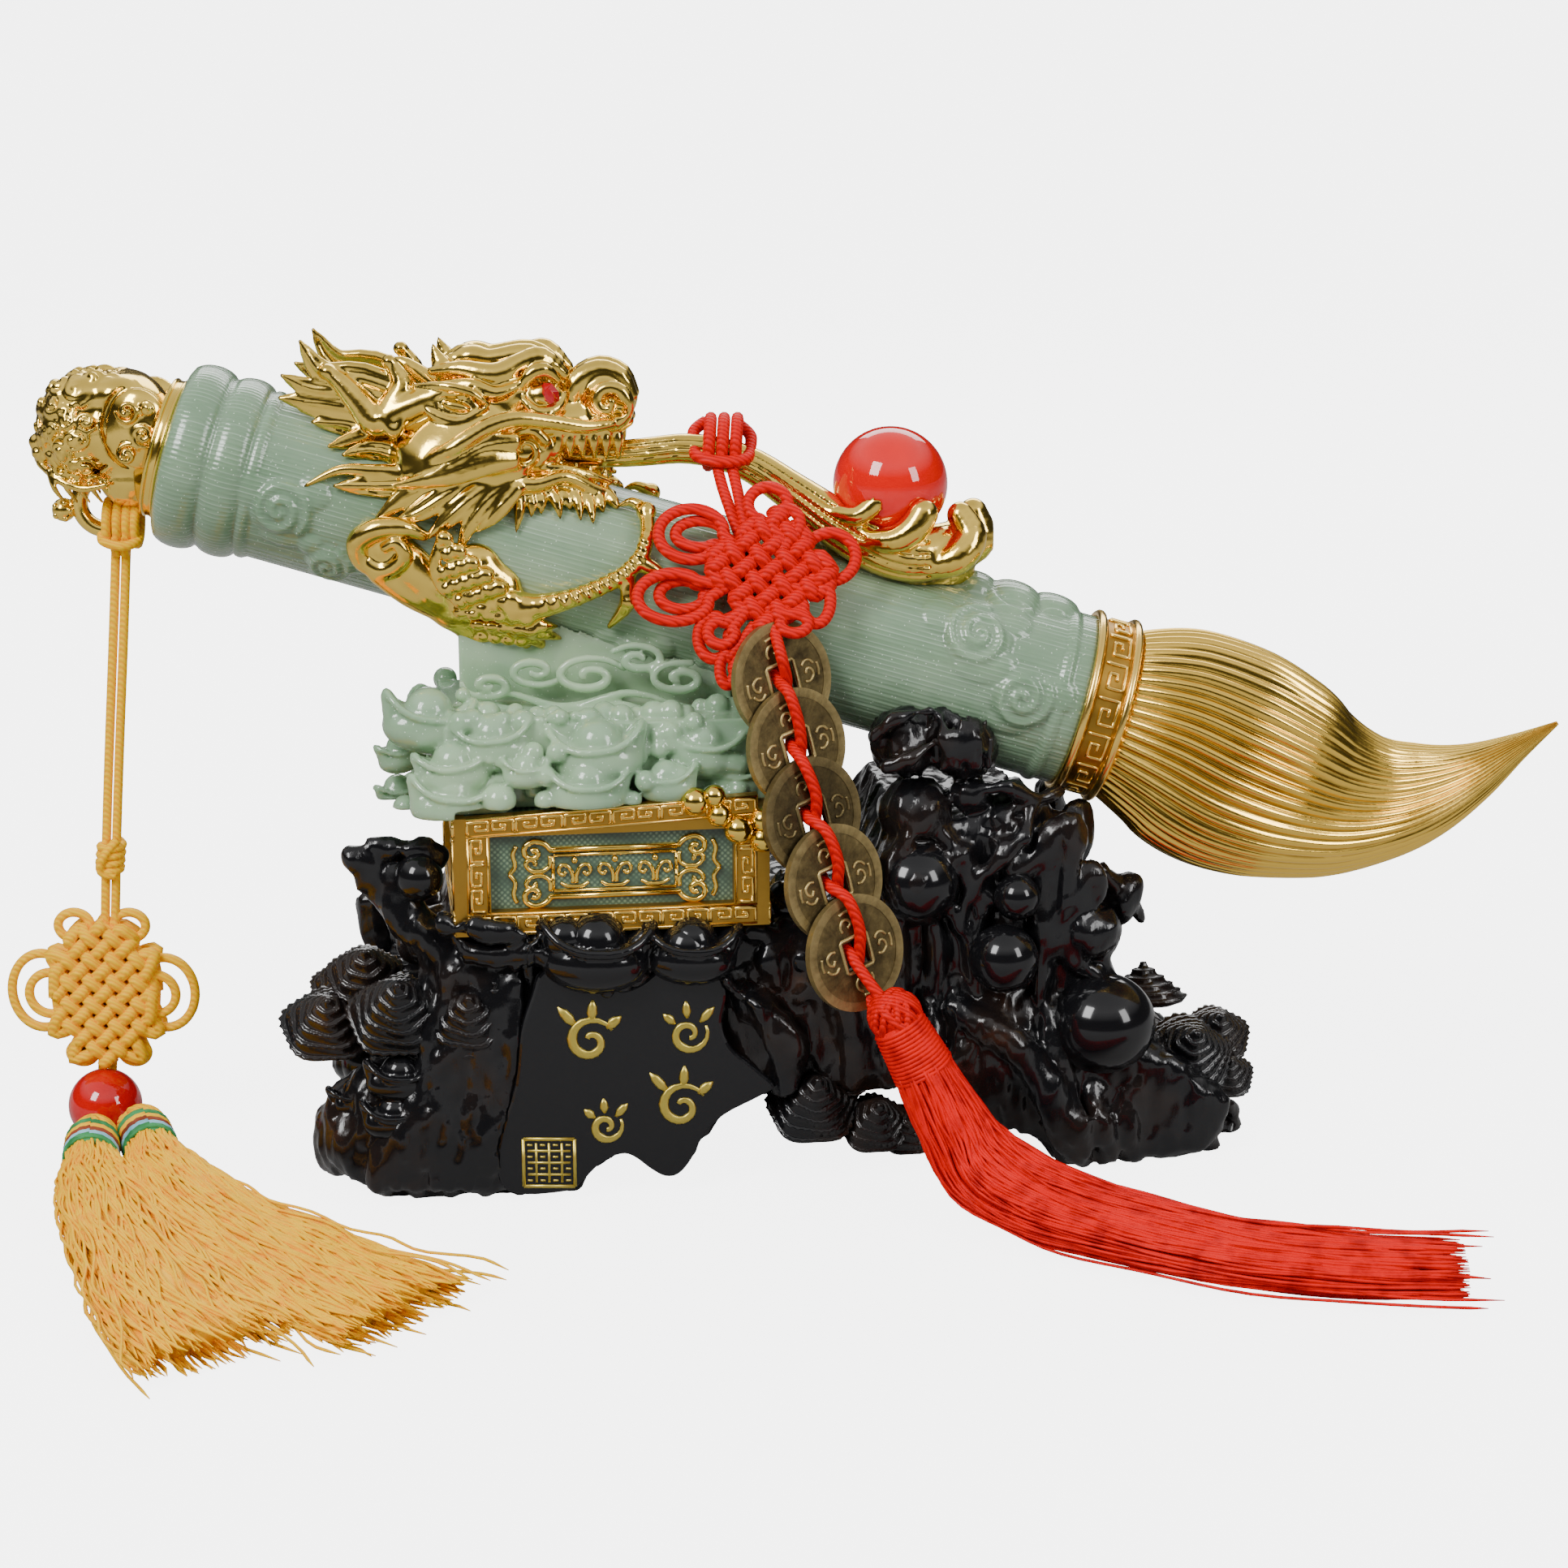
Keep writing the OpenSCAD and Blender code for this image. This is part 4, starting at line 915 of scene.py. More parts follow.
def threads(name, rows, count, thread, seed, material, slot_name, nodes, ragged=0.05, strays=6, wave=1.0):
    """A skirt of silk threads along rows of centre, half width and half height."""
    rng = np.random.default_rng(seed)
    fine = spline(rows, 5)
    n = len(fine)
    head = np.gradient(fine[:, :3], axis=0)
    head /= np.linalg.norm(head, axis=1)[:, None]
    side = np.cross(head, [0, 0, 1.0])
    side /= np.linalg.norm(side, axis=1)[:, None]
    up = np.cross(side, head)
    length = np.linalg.norm(np.diff(fine[:, :3], axis=0), axis=1).sum()
    parts = Parts()
    core = fine[:, None, :3] + 0.80 * (
        fine[:, 3, None, None] * np.cos(np.linspace(0, 2 * np.pi, 30, endpoint=False))[None, :, None] * side[:, None]
        + fine[:, 4, None, None] * np.sin(np.linspace(0, 2 * np.pi, 30, endpoint=False))[None, :, None] * up[:, None])
    core[..., 2] = np.maximum(core[..., 2], 0.3)
    parts.grid(core[:int(n * 0.93)])
    for k in range(count + strays):
        stray = k >= count
        angle = rng.uniform(0, 2 * np.pi)
        out = rng.uniform(0.80, 1.0) if rng.random() < 0.75 else rng.uniform(0.3, 0.8)
        drift = rng.normal(0, 0.10)
        t = np.linspace(0, 1, n)
        turn = angle + drift * 2 * t + wave * 0.06 * np.sin(2 * np.pi * (t * rng.uniform(2, 4) + rng.random()))
        far = out + wave * 0.035 * np.sin(2 * np.pi * (t * rng.uniform(3, 6) + rng.random()))
        if stray:
            far = far + rng.uniform(0.15, 0.6) * t ** 2
        path = fine[:, :3] + (far * fine[:, 3] * np.cos(turn))[:, None] * side \
            + (far * fine[:, 4] * np.sin(turn))[:, None] * up
        end = 1 - abs(rng.normal(0, ragged)) if not stray else 1 + rng.uniform(0.0, 0.03)
        if end > 1:
            path[-1] += (end - 1) * length * head[-1]
            last = n
        else:
            last = max(int(n * end), 6)
        path = path[:last]
        path[:, 2] = np.maximum(path[:, 2], thread + 0.05)
        radii = np.full(len(path), thread)
        radii[-1] = thread * 0.3
        parts.tube(path, radii, 5, ref=(0.3, 0.2, 0.93))
    return parts.piece(name, material, slot_name, nodes)


RED_SKIRT = [
    (22.4, -44, 31.5, 6.2, 5.8), (28, -46, 21, 8.2, 7.2), (35, -49.5, 11.8, 10.3, 8),
    (47, -58, 7.4, 12.3, 6.8), (63, -69, 6.2, 12.6, 5.8), (84, -80, 5.6, 11.6, 5.3),
    (107, -85.8, 5.2, 10.6, 5.0), (130, -87.6, 5.0, 9.6, 4.8)
]
YELLOW_SKIRT_NEAR = [
    (-152.2, -34.8, 7.6, 5.2, 5.2), (-150.4, -41, 6.4, 7.4, 4.6), (-147.5, -49, 5.8, 9.0, 4.8),
    (-141.8, -63, 5.4, 11, 4.6), (-134.6, -79, 5.1, 12.6, 4.4), (-127, -95, 4.7, 14.4, 4.2), (-118.5, -109.6, 4.3, 16.4, 4.0),
    (-108.5, -123, 3.8, 18.4, 3.6)
]
YELLOW_SKIRT_FAR = [
    (-140.7, -29.2, 7.6, 5.2, 5.2), (-138.0, -35.5, 6.4, 7.4, 4.6), (-133.6, -43, 5.8, 9.0, 4.8),
    (-125, -57, 5.4, 11, 4.6), (-113.4, -71, 5.1, 12.8, 4.4), (-100.6, -84.6, 4.7, 14.8, 4.2), (-88.4, -97, 4.3, 16.8, 4.0),
    (-76.5, -107, 3.8, 18.6, 3.6)
]
SKIRT_THREADS = 330
THREAD_R = 0.34


def make_tassels():
    wrapped_ball("red_tassel_ball", (16.8, -43.4, 42.4), 5.4, red_braid, "red_cord", ["red_tassel_head"],
                 (0.4, -0.05, -0.9), 0.75)
    neck = Parts()
    neck.tube([(17.4, -43.6, 41), (20.2, -43.8, 36), (23, -44, 30.5)], [5.0, 5.9, 6.2], 28)
    coil(neck, [(17.5, -43.6, 40.6), (23, -44, 30.4)], [5.3, 6.3], 13, 0.5)
    neck.piece("red_tassel_winding", red_silk, "red_cord", ["red_tassel_wrap"])
    threads("red_tassel_threads", RED_SKIRT, SKIRT_THREADS, THREAD_R, 41, red_silk, "red_cord",
            ["red_tassel_skirt"])
    for tag, centre, neck_path, rows, seed in (
            ("near", (-153.4, -26.7, 8.6), [(-153.1, -28.4, 8.6), (-152.1, -36, 7.6)], YELLOW_SKIRT_NEAR, 51),
            ("far", (-144, -21.2, 8.8), [(-143.3, -23.0, 8.8), (-140.4, -30, 7.6)], YELLOW_SKIRT_FAR, 52)):
        letter = "a" if tag == "near" else "b"
        way = np.subtract(neck_path[1], neck_path[0])
        wrapped_ball("yellow_ball_" + tag, centre, 5.2, yellow_braid, "yellow_cord", ["yellow_head_" + letter],
                     way, 0.7)
        for n, (first, last, material) in enumerate(((0.0, 0.22, wrap_green), (0.22, 0.42, yellow_silk),
                                                     (0.42, 0.62, wrap_brown), (0.62, 0.80, wrap_blue),
                                                     (0.80, 1.0, wrap_green))):
            band = Parts()
            a, b = np.array(neck_path[0]) + first * way, np.array(neck_path[0]) + last * way
            if n == 0:
                band.tube([neck_path[0], neck_path[1]], [5.3, 5.3], 24, ref=(0, 0, 1))
            coil(band, [a, b], [5.6, 5.6], (last - first) * 13, 0.42)
            band.piece(f"yellow_winding_{tag}_{n}", material, "thread_wrap", ["yellow_wrap_" + letter])
        threads("yellow_threads_" + tag, rows, SKIRT_THREADS, THREAD_R, seed, yellow_silk, "yellow_cord",
                ["yellow_skirt_" + letter], ragged=0.06, strays=12, wave=1.7)


# ---------- coins ----------
COIN_PLACES = [(-6.5, -28.5, 109.7), (-3.5, -31.4, 96.3), (-0.3, -34.2, 82.4), (4.2, -36.6, 68.8), (8.6, -39, 54.5)]
COIN_TURN = turned(0, -14.8, 0) @ turned(0, 0, 38) @ turned(90, 0, 0)
COIN_FACE = 0.6


def make_coin_marks():
    """Plain raised marks in place of a coin's writing: a border round the hole and four small scrolls."""
    for i, place in enumerate(COIN_PLACES):
        parts = Parts()

        def on_face(points, lift, place=place):
            return np.array([COIN_TURN @ np.array([x, y, lift]) + place for x, y in points])

        for lift in (COIN_FACE + 0.05, -COIN_FACE - 0.05):
            edge = 3.55
            square = [(edge, -edge + 0.4), (edge, edge - 0.4), (edge - 0.4, edge), (-edge + 0.4, edge),
                      (-edge, edge - 0.4), (-edge, -edge + 0.4), (-edge + 0.4, -edge), (edge - 0.4, -edge)]
            parts.loop(on_face(square, lift), 0.42, 6, ref=(0.5, -0.7, 0.1))
            for k in range(4):
                a = math.pi / 2 * k
                c, s = math.cos(a), math.sin(a)
                for marks in ([(5.3, -2.2), (6.4, -2.4), (7.6, -1.5), (7.4, -0.2), (6.4, 0.3), (5.8, -0.6)],
                              [(5.2, 1.2), (6.2, 2.0), (7.4, 1.8), (8.2, 0.9)],
                              [(8.9, -2.0), (9.2, -0.6), (9.1, 0.8)]):
                    if k % 2:
                        marks = [(x, -y) for x, y in marks]
                    line = [(x * c - y * s, x * s + y * c) for x, y in marks]
                    parts.tube(on_face(spline(line, 4), lift), 0.34, 6, ref=(0.5, -0.7, 0.1))
        parts.piece(f"coin_marks_{i + 1}", brass_brown if i == 2 else brass_marks, "old_brass")


def cord_company(name):
    """Pieces that hang on a strand and move with it."""
    if name == "red_cord_front":
        names = ["red_knot_tied", "red_tassel_ball", "red_tassel_winding", "red_tassel_threads"]
    elif name == "yellow_cord_near":
        names = ["slip_knot_tied", "yellow_knot_tied", "yellow_ball_near", "yellow_threads_near"]
        names += [f"yellow_winding_near_{n}" for n in range(5)]
    elif name == "yellow_cord_far":
        names = ["yellow_ball_far", "yellow_threads_far"] + [f"yellow_winding_far_{n}" for n in range(5)]
    else:
        names = []
    return [bpy.data.objects[n] for n in names]


wrap_green = thread_material("wrap_green", (0.05, 0.30, 0.10), (0.015, 0.14, 0.04))
wrap_brown = thread_material("wrap_brown", (0.30, 0.06, 0.025), (0.15, 0.03, 0.01))
wrap_blue = thread_material("wrap_blue", (0.30, 0.60, 0.72), (0.15, 0.40, 0.52))

make_hitches()
make_red_knot()
make_yellow_knot()
make_tassels()
make_coin_marks()
make_cords()


# ---------- the brush ----------
def swirl(u, v, centre, radius, turns, width, height, hand=1, start=0.0):
    """Height of a spiral ridge drawn on the unrolled handle, u along it and v round it."""
    du, dv = u - centre[0], (v - centre[1]) * hand
    r = np.sqrt(du ** 2 + dv ** 2) + 1e-6
    angle = (np.arctan2(dv, du) + start) % (2 * np.pi)
    best = np.full(np.broadcast(u, v).shape, 1e3)
    for lap in range(int(turns) + 2):
        total = angle + 2 * np.pi * lap
        ridge = radius * total / (2 * np.pi * turns)
        best = np.minimum(best, np.where(total <= 2 * np.pi * turns, np.abs(r - ridge), 1e3))
    return height * np.exp(-(best / width) ** 2)


def dome(u, v, centre, radii, height):
    r2 = ((u - centre[0]) / radii[0]) ** 2 + ((v - centre[1]) / radii[1]) ** 2
    return height * np.clip(1 - r2, 0, 1) ** 0.5


def cloud(u, v, centre, size, hand=1, start=0.0):
    """A cloud scroll: a low mound with a spiral in it and a tail of puffs."""
    out = np.maximum(dome(u, v, centre, (size, size), 1.3),
                     dome(u, v, (centre[0] - hand * size * 1.1, centre[1] - size * 0.35), (size * 0.6,) * 2, 0.9))
    out = np.maximum(out, dome(u, v, (centre[0] + hand * size * 0.9, centre[1] - size * 0.75),
                               (size * 0.55,) * 2, 1.0))
    out = np.maximum(out, dome(u, v, (centre[0] + hand * size * 0.2, centre[1] + size * 0.95),
                               (size * 0.7, size * 0.4), 0.8))
    return out + swirl(u, v, centre, size * 0.95, 2.2, 0.8, 0.9, hand, start)


def handle_relief(u, v):
    """How far the handle's surface stands off its plain taper, u along the axis, v round it from the top.

    v grows towards the near side and is an arc length in millimetres.
    """
    rise = np.zeros(np.broadcast(u, v).shape)
    # rounded end beads, and the pebbled band with its edges
    for middle, height, half in ((4.6, 2.4, 4.6), (13.2, 1.9, 4.0)):
        rise = np.maximum(rise, height * np.sqrt(np.clip(1 - ((u - middle) / half) ** 2, 0, 1)))
    for middle in (18.6, 118.0, 134.4, 192.0):
        rise = np.maximum(rise, 0.7 * np.sqrt(np.clip(1 - ((u - middle) / 1.3) ** 2, 0, 1)))
    band = 1 / (1 + np.exp(-(u - 119.5) * 3)) / (1 + np.exp((u - 133) * 3))
    pebbles = np.cos(u * 2.1 + 0.9 * np.sin(v * 0.9)) * np.cos(v * 1.9 + 0.8 * np.sin(u * 1.1))
    rise = rise + band * (0.75 + 0.22 * pebbles)
    quarter = 27.5
    for centre, size, hand, start in (
            ((26, quarter * 1.08), 6.5, 1, 0.5), ((38, quarter * 1.45), 5.0, -1, 0.0),
            ((172, quarter * 0.62), 7.5, 1, 2.6), ((184, quarter * 1.0), 6.6, -1, 0.3),
            ((167, -2.0), 5.5, 1, 1.0), ((178, 3.0), 6.5, -1, 2.0), ((188, -4.0), 4.5, 1, 0.0),
            ((26, -quarter), 7.0, 1, 1.0), ((60, -quarter * 1.1), 7.5, -1, 0.0), ((150, -quarter * 1.0), 8.0, 1, 2.0),
            ((176, -quarter * 0.9), 8.0, -1, 0.0), ((96, -quarter * 1.2), 7.5, 1, 0.0),
            ((104, quarter * 1.55), 5.5, 1, 1.0)):
        rise = np.maximum(rise, cloud(u, v, centre, size, hand, start))
    # the bumps along the ridge by the collar stand up most
    for centre, radii, height in (((170, 0), (5, 6), 3.0), ((178.5, 1), (6, 7), 3.3), ((187.5, -1), (5.5, 6.5), 2.6)):
        rise = np.maximum(rise, dome(u, v, centre, radii, height))
    return rise


def make_handle():
    rows, cols = 330, 210
    u = np.linspace(0, HANDLE_LEN, rows)[:, None]
    angle = np.linspace(-np.pi, np.pi, cols, endpoint=False)[None, :]
    radius = R_LEFT + (R_RIGHT - R_LEFT) * u / HANDLE_LEN
    rise = handle_relief(u, angle * radius)
    lines = 0.06 * np.cos(angle * 58) * (rise < 0.05)
    total = radius + rise + lines
    # v grows towards the near side, which is -Y
    points = (AXIS_START + u[..., None] * AXIS + (total * np.cos(angle))[..., None] * UP
              + (total * np.sin(angle))[..., None] * np.array([0.0, -1.0, 0.0]))
    parts = Parts()
    parts.grid(points)
    return parts.piece("jade_handle", jade_lines_highlit, "jade", ["brush_handle"])


def key_unit():
    """One angular scroll of a key pattern, as strokes in a unit square."""
    return [[(0.0, 0.0), (0.0, 1.0), (0.86, 1.0), (0.86, 0.28), (0.34, 0.28), (0.34, 0.64), (0.58, 0.64)]]


def make_collar_pattern():
    """Raised angular scrolls round the collar, with a plain ring at each edge."""
    parts = Parts()
    radius = 18.75
    count = 15
    low, tall = HANDLE_LEN + 2.5, 4.6
    for i in range(count):
        start = 2 * np.pi * i / count
        width = 2 * np.pi / count * 0.82
        for stroke in key_unit():
            fine = [stroke[0]]
            for a, b in zip(stroke[:-1], stroke[1:]):
                pieces = 4
                fine += [(a[0] + (b[0] - a[0]) * t / pieces, a[1] + (b[1] - a[1]) * t / pieces)
                         for t in range(1, pieces + 1)]
            path = [along(low + tall * q[1], radius * math.cos(start + width * q[0]),
                          -radius * math.sin(start + width * q[0])) for q in fine]
            parts.tube(path, 0.42, 6, ref=AXIS)
    for u, thick in ((HANDLE_LEN + 0.8, 0.95), (HANDLE_LEN + 8.7, 0.95)):
        ring = [along(u, 19.2 * math.cos(a), 19.2 * math.sin(a)) for a in np.linspace(0, 2 * np.pi, 120, False)]
        parts.loop(ring, thick, 10, ref=AXIS)
    return parts.piece("collar_pattern", gold_key, "gold")


# Centreline and radius of the bristle head, after the collar's face.
TIP_ROWS = [
    (76.5, 0, 92.2, 23.2), (88, 0, 86.6, 25), (100, 0, 81.6, 23.2), (111.5, 0, 77.8, 18.9),
    (122.5, 0, 76.9, 14.3), (132.5, 0, 78.8, 10.8), (142, 0, 82.6, 6.9), (151.4, 0, 88.2, 3.2),
    (160, 0, 93.6, 0.5)
]


RIDGES = 46


def make_tip():
    """The bristle head: ridges that run its whole length, and swing and merge as it narrows."""
    face = along(HANDLE_LEN + 9.5)
    rows = spline([(*face, 18.2), *TIP_ROWS], 13)
    path = rows[:, :3]
    cols = RIDGES * 8
    side, up = frames_along(path, (0, 1, 0))
    angle = np.linspace(0, 2 * np.pi, cols, endpoint=False)[None, :]
    t = np.linspace(0, 1, len(rows))[:, None]
    phase = angle * RIDGES + 0.9 * np.sin(3 * angle + 5 * t) * t
    ridge = np.abs(np.cos(phase / 2)) ** 0.7
    second = 0.35 * np.abs(np.cos(angle * RIDGES / 2 + 4 * np.sin(2 * angle) * t))
    depth = 0.058 * rows[:, 3][:, None] * np.minimum(1, 6 * t + 0.45) + 0.1
    radius = rows[:, 3][:, None] - depth * (1 - ridge) - 0.4 * depth * (1 - second)
    ring = (np.cos(angle)[..., None] * side[:, None] + np.sin(angle)[..., None] * up[:, None])
    parts = Parts()
    parts.grid(path[:, None] + radius[..., None] * ring)
    return parts.piece("bristle_head", gold_tip, "gold", ["brush_tip"])


make_handle()
make_collar_pattern()
make_tip()


# ---------- the dragon ----------
def near(x, z, lift=1.0, least=9.0):
    """A point drawn at x, z that lies on the handle's near side, or at least so far from the middle."""
    p = on_brush(x, z, lift)
    return p if -p[1] >= least else spot(x, z, -least)


def lock(block, path, width, count, radius, tip=0.3, k=0.45, flat=1.0, root=0.5):
    """Hair: thin strands side by side that close up to one point."""
    p = spline(path, 3)
    t = np.linspace(0, 1, len(p))
    head = np.gradient(p, axis=0)
    across = np.cross(head, (0, 1, 0))
    across /= np.linalg.norm(across, axis=1)[:, None] + 1e-9
    spread = width * ((root + (1 - root) * np.sin(np.pi * np.minimum(1, t * 1.4) / 2)) * (1 - t ** 3))
    radii = radius * (1 - t ** 2) + tip * t ** 2
    for i in range(count):
        side = i / (count - 1) - 0.5 if count > 1 else 0.0
        lift = np.array([0.0, -0.35 * radius * (1 - abs(2 * side)), 0.0])
        block.strand(p + across * (spread * side)[:, None] + lift, radii, k, 1, flat=flat)


def scroll(centre, radius, turns, y, start=0.0, hand=1, rise=0.0, steps=10):
    """Points of a spiral seen from the front, from its outside in, rising towards the viewer."""
    rows = []
    count = int(turns * steps)
    for i in range(count + 1):
        t = i / count
        a = start + hand * 2 * math.pi * turns * t
        r = radius * (1 - 0.85 * t)
        rows.append(spot(centre[0] + r * math.cos(a), centre[1] + r * math.sin(a), y - rise * t))
    return rows


def handle_gap(x, y, z, more=0.1):
    """Distance from the handle's plain taper."""
    rx, ry, rz = x - AXIS_START[0], y, z - AXIS_START[2]
    u = rx * AXIS[0] + rz * AXIS[2]
    up = rx * UP[0] + rz * UP[2]
    return np.sqrt(ry ** 2 + up ** 2) - (R_LEFT + (R_RIGHT - R_LEFT) * u / HANDLE_LEN + more)


def cut_handle(block, more=0.1):
    high = block.low + block.voxel * block.size
    block.field(lambda x, y, z: handle_gap(x, y, z, more), block.low, high, 0.0, cut=True)


def carve_head(block):
    S = spot
    # skull, brow, snout, jaw and cheeks
    block.blob(S(-70, 158, -4), (15, 13, 11), 1)
    block.blob(S(-76, 152, -8), (12, 12, 11), 3)
    block.blob(S(-64, 166, -6), (9, 6.5, 6.5), 2)
    block.blob(S(-52, 161.5, 0), (11, 9, 5.5), 2)
    block.blob(S(-43, 165.5, -2.6), (5.2, 5.2, 5.6), 1.5)
    block.blob(S(-66, 151, -13), (8, 5.5, 8), 2.5)
    block.blob(S(-54, 149.5, -4), (11, 8.5, 3.6), 2)
    block.blob(S(-58, 155, -8), (7, 6, 6), 2)
    # mouth, open to the front, with the sceptre in it
    block.blob((-42, 0, 154), (11.5, 8.6, 4.2), 0.6, cut=True)
    block.strand([(-56, 0, 151.9), (-30, 0, 154.2)], [5.2, 6.4], 0.5, 2, cut=True)
    # nose: bulb, curled nostril wing and the valley behind
    block.strand(scroll((-42.0, 164.6), 4.6, 1.35, -6.6, -1.9, 1, 2.2), [2.0, 0.9], 0.5, 2)
    block.strand([S(-51, 163.5, -5), S(-48.5, 168.5, -4), S(-44, 171.2, -3), S(-39.5, 170, -3), S(-37.3, 166, -3)],
                 [1.5, 2.4, 2.4, 2.0, 1.5], 1.0, 3)
    block.blob(S(-39.6, 163.2, -8.4), (1.5, 2, 1.5), 0.4, cut=True)
    block.strand([S(-50, 168.5, -2), S(-52.5, 165.2, -7), S(-51.5, 162.4, -10)], [1.2, 1.5, 0.8], 0.8, 3, cut=True)
    # eye socket and lids round the stone
    block.blob((-54.2, -11.4, 165.5), (3.4, 2.6, 2.8), 0.6, cut=True)
    block.blob((-55.6, -8.6, 165.0), (4.2, 2.6, 3.2), 0.6)
    block.strand([S(-60.5, 166.2, -10.6), S(-58.2, 170, -10.8), S(-55, 171.4, -10), S(-52, 169, -8.6)],
                 [0.6, 1.4, 1.5, 0.7], 0.4, 4)
    block.strand([S(-60, 166, -11), S(-56.5, 162.6, -11.8), S(-52.6, 163.4, -10.4), S(-50.8, 166, -8.8)],
                 [0.6, 1.3, 1.2, 0.6], 0.4, 4)
    block.blob(S(-54.9, 161.4, -11.2), (2.4, 1.6, 1.5), 0.5)
    # brow: two heavy folds that sweep back, with a bead at the top
    block.strand([S(-51, 170.4, -6), S(-55.5, 173.6, -6.5), S(-60, 172.6, -8), S(-65, 170.2, -9.5), S(-72, 171.4, -9),
                  S(-78, 171, -8)], [1.3, 2.5, 2.2, 2.6, 1.9, 0.9], 0.6, 4)
    block.strand([S(-52, 172.2, -2), S(-58, 174.6, -3), S(-66, 173.4, -4), S(-74, 173.6, -4)], [1.2, 2.2, 2.2, 1.2],
                 0.6, 4)
    block.strand([S(-60, 168.4, -11), S(-65, 166.4, -12.6), S(-70, 168.2, -12.4), S(-75.5, 168.6, -11)],
                 [0.8, 1.5, 1.4, 0.7], 0.4, 4)
    block.blob(S(-69.5, 174.2, -3), (4.0, 3.2, 2.4), 0.8)
    # crest spikes
    block.strand([S(-73.5, 168.5, -6), S(-76, 172.4, -6), S(-77.6, 176.4, -5.5)], [3.0, 2.0, 0.35], 0.8, 4)
    block.strand([S(-66, 172, -1), S(-71, 175.4, 0), S(-75.4, 173.8, 0)], [1.6, 1.4, 0.5], 0.6, 4)
    for x, z in ((-83, 170.5), (-91, 168.5)):
        block.strand([S(x + 5, z - 2, 0), S(x, z + 1.8, 0), S(x - 2.5, z + 3.2, 0)], [2.4, 1.6, 0.4], 0.8, 3)
    # horn with its knob and branch
    block.strand([S(-68, 166.5, -11), S(-76, 166.0, -12), S(-83.5, 163.2, -12.4), S(-89.4, 160.8, -12.4),
                  S(-93, 164.6, -12), S(-96.4, 168.6, -11.4), S(-99.6, 171.2, -11)],
                 [2.2, 2.7, 3.1, 3.3, 2.7, 2.0, 1.2], 0.7, 5)
    block.blob(S(-99.2, 170.9, -11), (1.8, 1.7, 1.6), 0.4)
    block.strand([S(-86.5, 163.5, -12), S(-84.0, 168.2, -11), S(-86.4, 173.0, -10.4)], [2.8, 2.2, 1.2], 0.8, 5)
    block.blob(S(-86.6, 173.0, -10.4), (1.6, 1.6, 1.5), 0.4)
    block.strand([S(-88.5, 161.5, -14.6), S(-86, 158.8, -14.6), S(-84.4, 161, -14.6)], [1.2, 1.7, 1.0], 0.5, 4)
    # leaf ear with its rim and rib
    block.blob(S(-74, 164.2, -13.2), (6.6, 2.4, 3.3), 0.8, turned(y=12))
    block.blob(S(-73.4, 164.2, -16.0), (4.8, 1.8, 1.9), 0.4, turned(y=12), cut=True)
    block.strand([S(-81.4, 168.0, -12), S(-76, 168.0, -14.4), S(-70.4, 166.8, -15), S(-66.6, 164.2, -14.2)],
                 [0.5, 1.0, 1.0, 0.5], 0.3, 4)
    block.strand([S(-81.4, 168.0, -12), S(-78.6, 162.8, -14.6), S(-73, 160.6, -15.2), S(-66.8, 163.6, -14.2)],
                 [0.5, 1.1, 1.1, 0.5], 0.3, 4)
    block.blob(S(-73.0, 163.8, -14.8), (3.0, 1.3, 1.1), 0.3, turned(y=14))
    # upper lip, teeth, corner scroll and lower lip
    block.strand([S(-61, 158.6, -13), S(-55, 159.2, -11.4), S(-48, 158.6, -8.8), S(-41.6, 158.9, -6.4),
                  S(-38.2, 161.0, -4)], [1.3, 1.5, 1.4, 1.4, 1.5], 0.4, 4)
    for i in range(6):
        t = i / 5
        x = -52.6 + 12.4 * t
        y = -10.6 + 4.2 * t
        block.strand([S(x, 157.8, y), S(x + 0.1, 155.9, y - 0.2), S(x + 0.2, 153.6 - 0.4 * t, y + 0.2)],
                     [1.25, 1.15, 0.5], 0.15, 3)
    for i in range(4):
        t = i / 3
        x = -52.0 + 9.0 * t
        block.strand([S(x, 149.6 - 1.5 * t, -9.6 + 3 * t), S(x + 0.3, 152.6 - 1.6 * t, -9.8 + 3 * t)],
                     [1.05, 0.35], 0.15, 3)
    block.blob(S(-59.2, 154.6, -12.0), (5.4, 2.6, 5.0), 0.5)
    block.blob(S(-58.6, 155.0, -15.4), (3.8, 2.0, 3.4), 0.4, cut=True)
    block.strand(scroll((-59.2, 154.8), 4.7, 1.5, -14.2, 0.4, 1, 0.6), [1.15, 0.5], 0.3, 2)
    block.strand(scroll((-59.6, 154.0), 7.2, 0.55, -13.2, 1.4, 1, 0.0), [0.7, 1.1, 0.7], 0.3, 2)
    block.strand([S(-66.5, 152.0, -15.6), S(-63.5, 148.6, -15.6), S(-57.5, 147.6, -14.4), S(-51, 149.2, -12.2),
                  S(-45.5, 146.6, -9.6), S(-41.4, 145.6, -7.2)], [1.0, 1.8, 1.7, 1.5, 1.5, 1.0], 0.4, 4)
    block.strand([S(-58, 150.6, -12.8), S(-52, 151.2, -11.6), S(-46, 149.6, -9.4), S(-41.6, 148.0, -7)],
                 [0.6, 0.9, 0.9, 0.6], 0.3, 4)
    # whisker, laid back over the cheek and the handle
    block.strand([S(-41.5, 160.2, -8.6), S(-47, 159.6, -11.4), S(-54, 160.6, -14.0), S(-61, 161.2, -16.6),
                  S(-67.4, 159.3, -18.6), S(-74.7, 154.7, -20.2), near(-82.8, 150.6, 2.6), near(-90, 150.4, 2.2),
                  near(-97.5, 150.6, 1.6), near(-104.6, 147.4, 0.8)],
                 [1.1, 1.5, 1.6, 1.7, 1.8, 1.8, 1.7, 1.5, 1.1, 0.4], 0.25, 6)
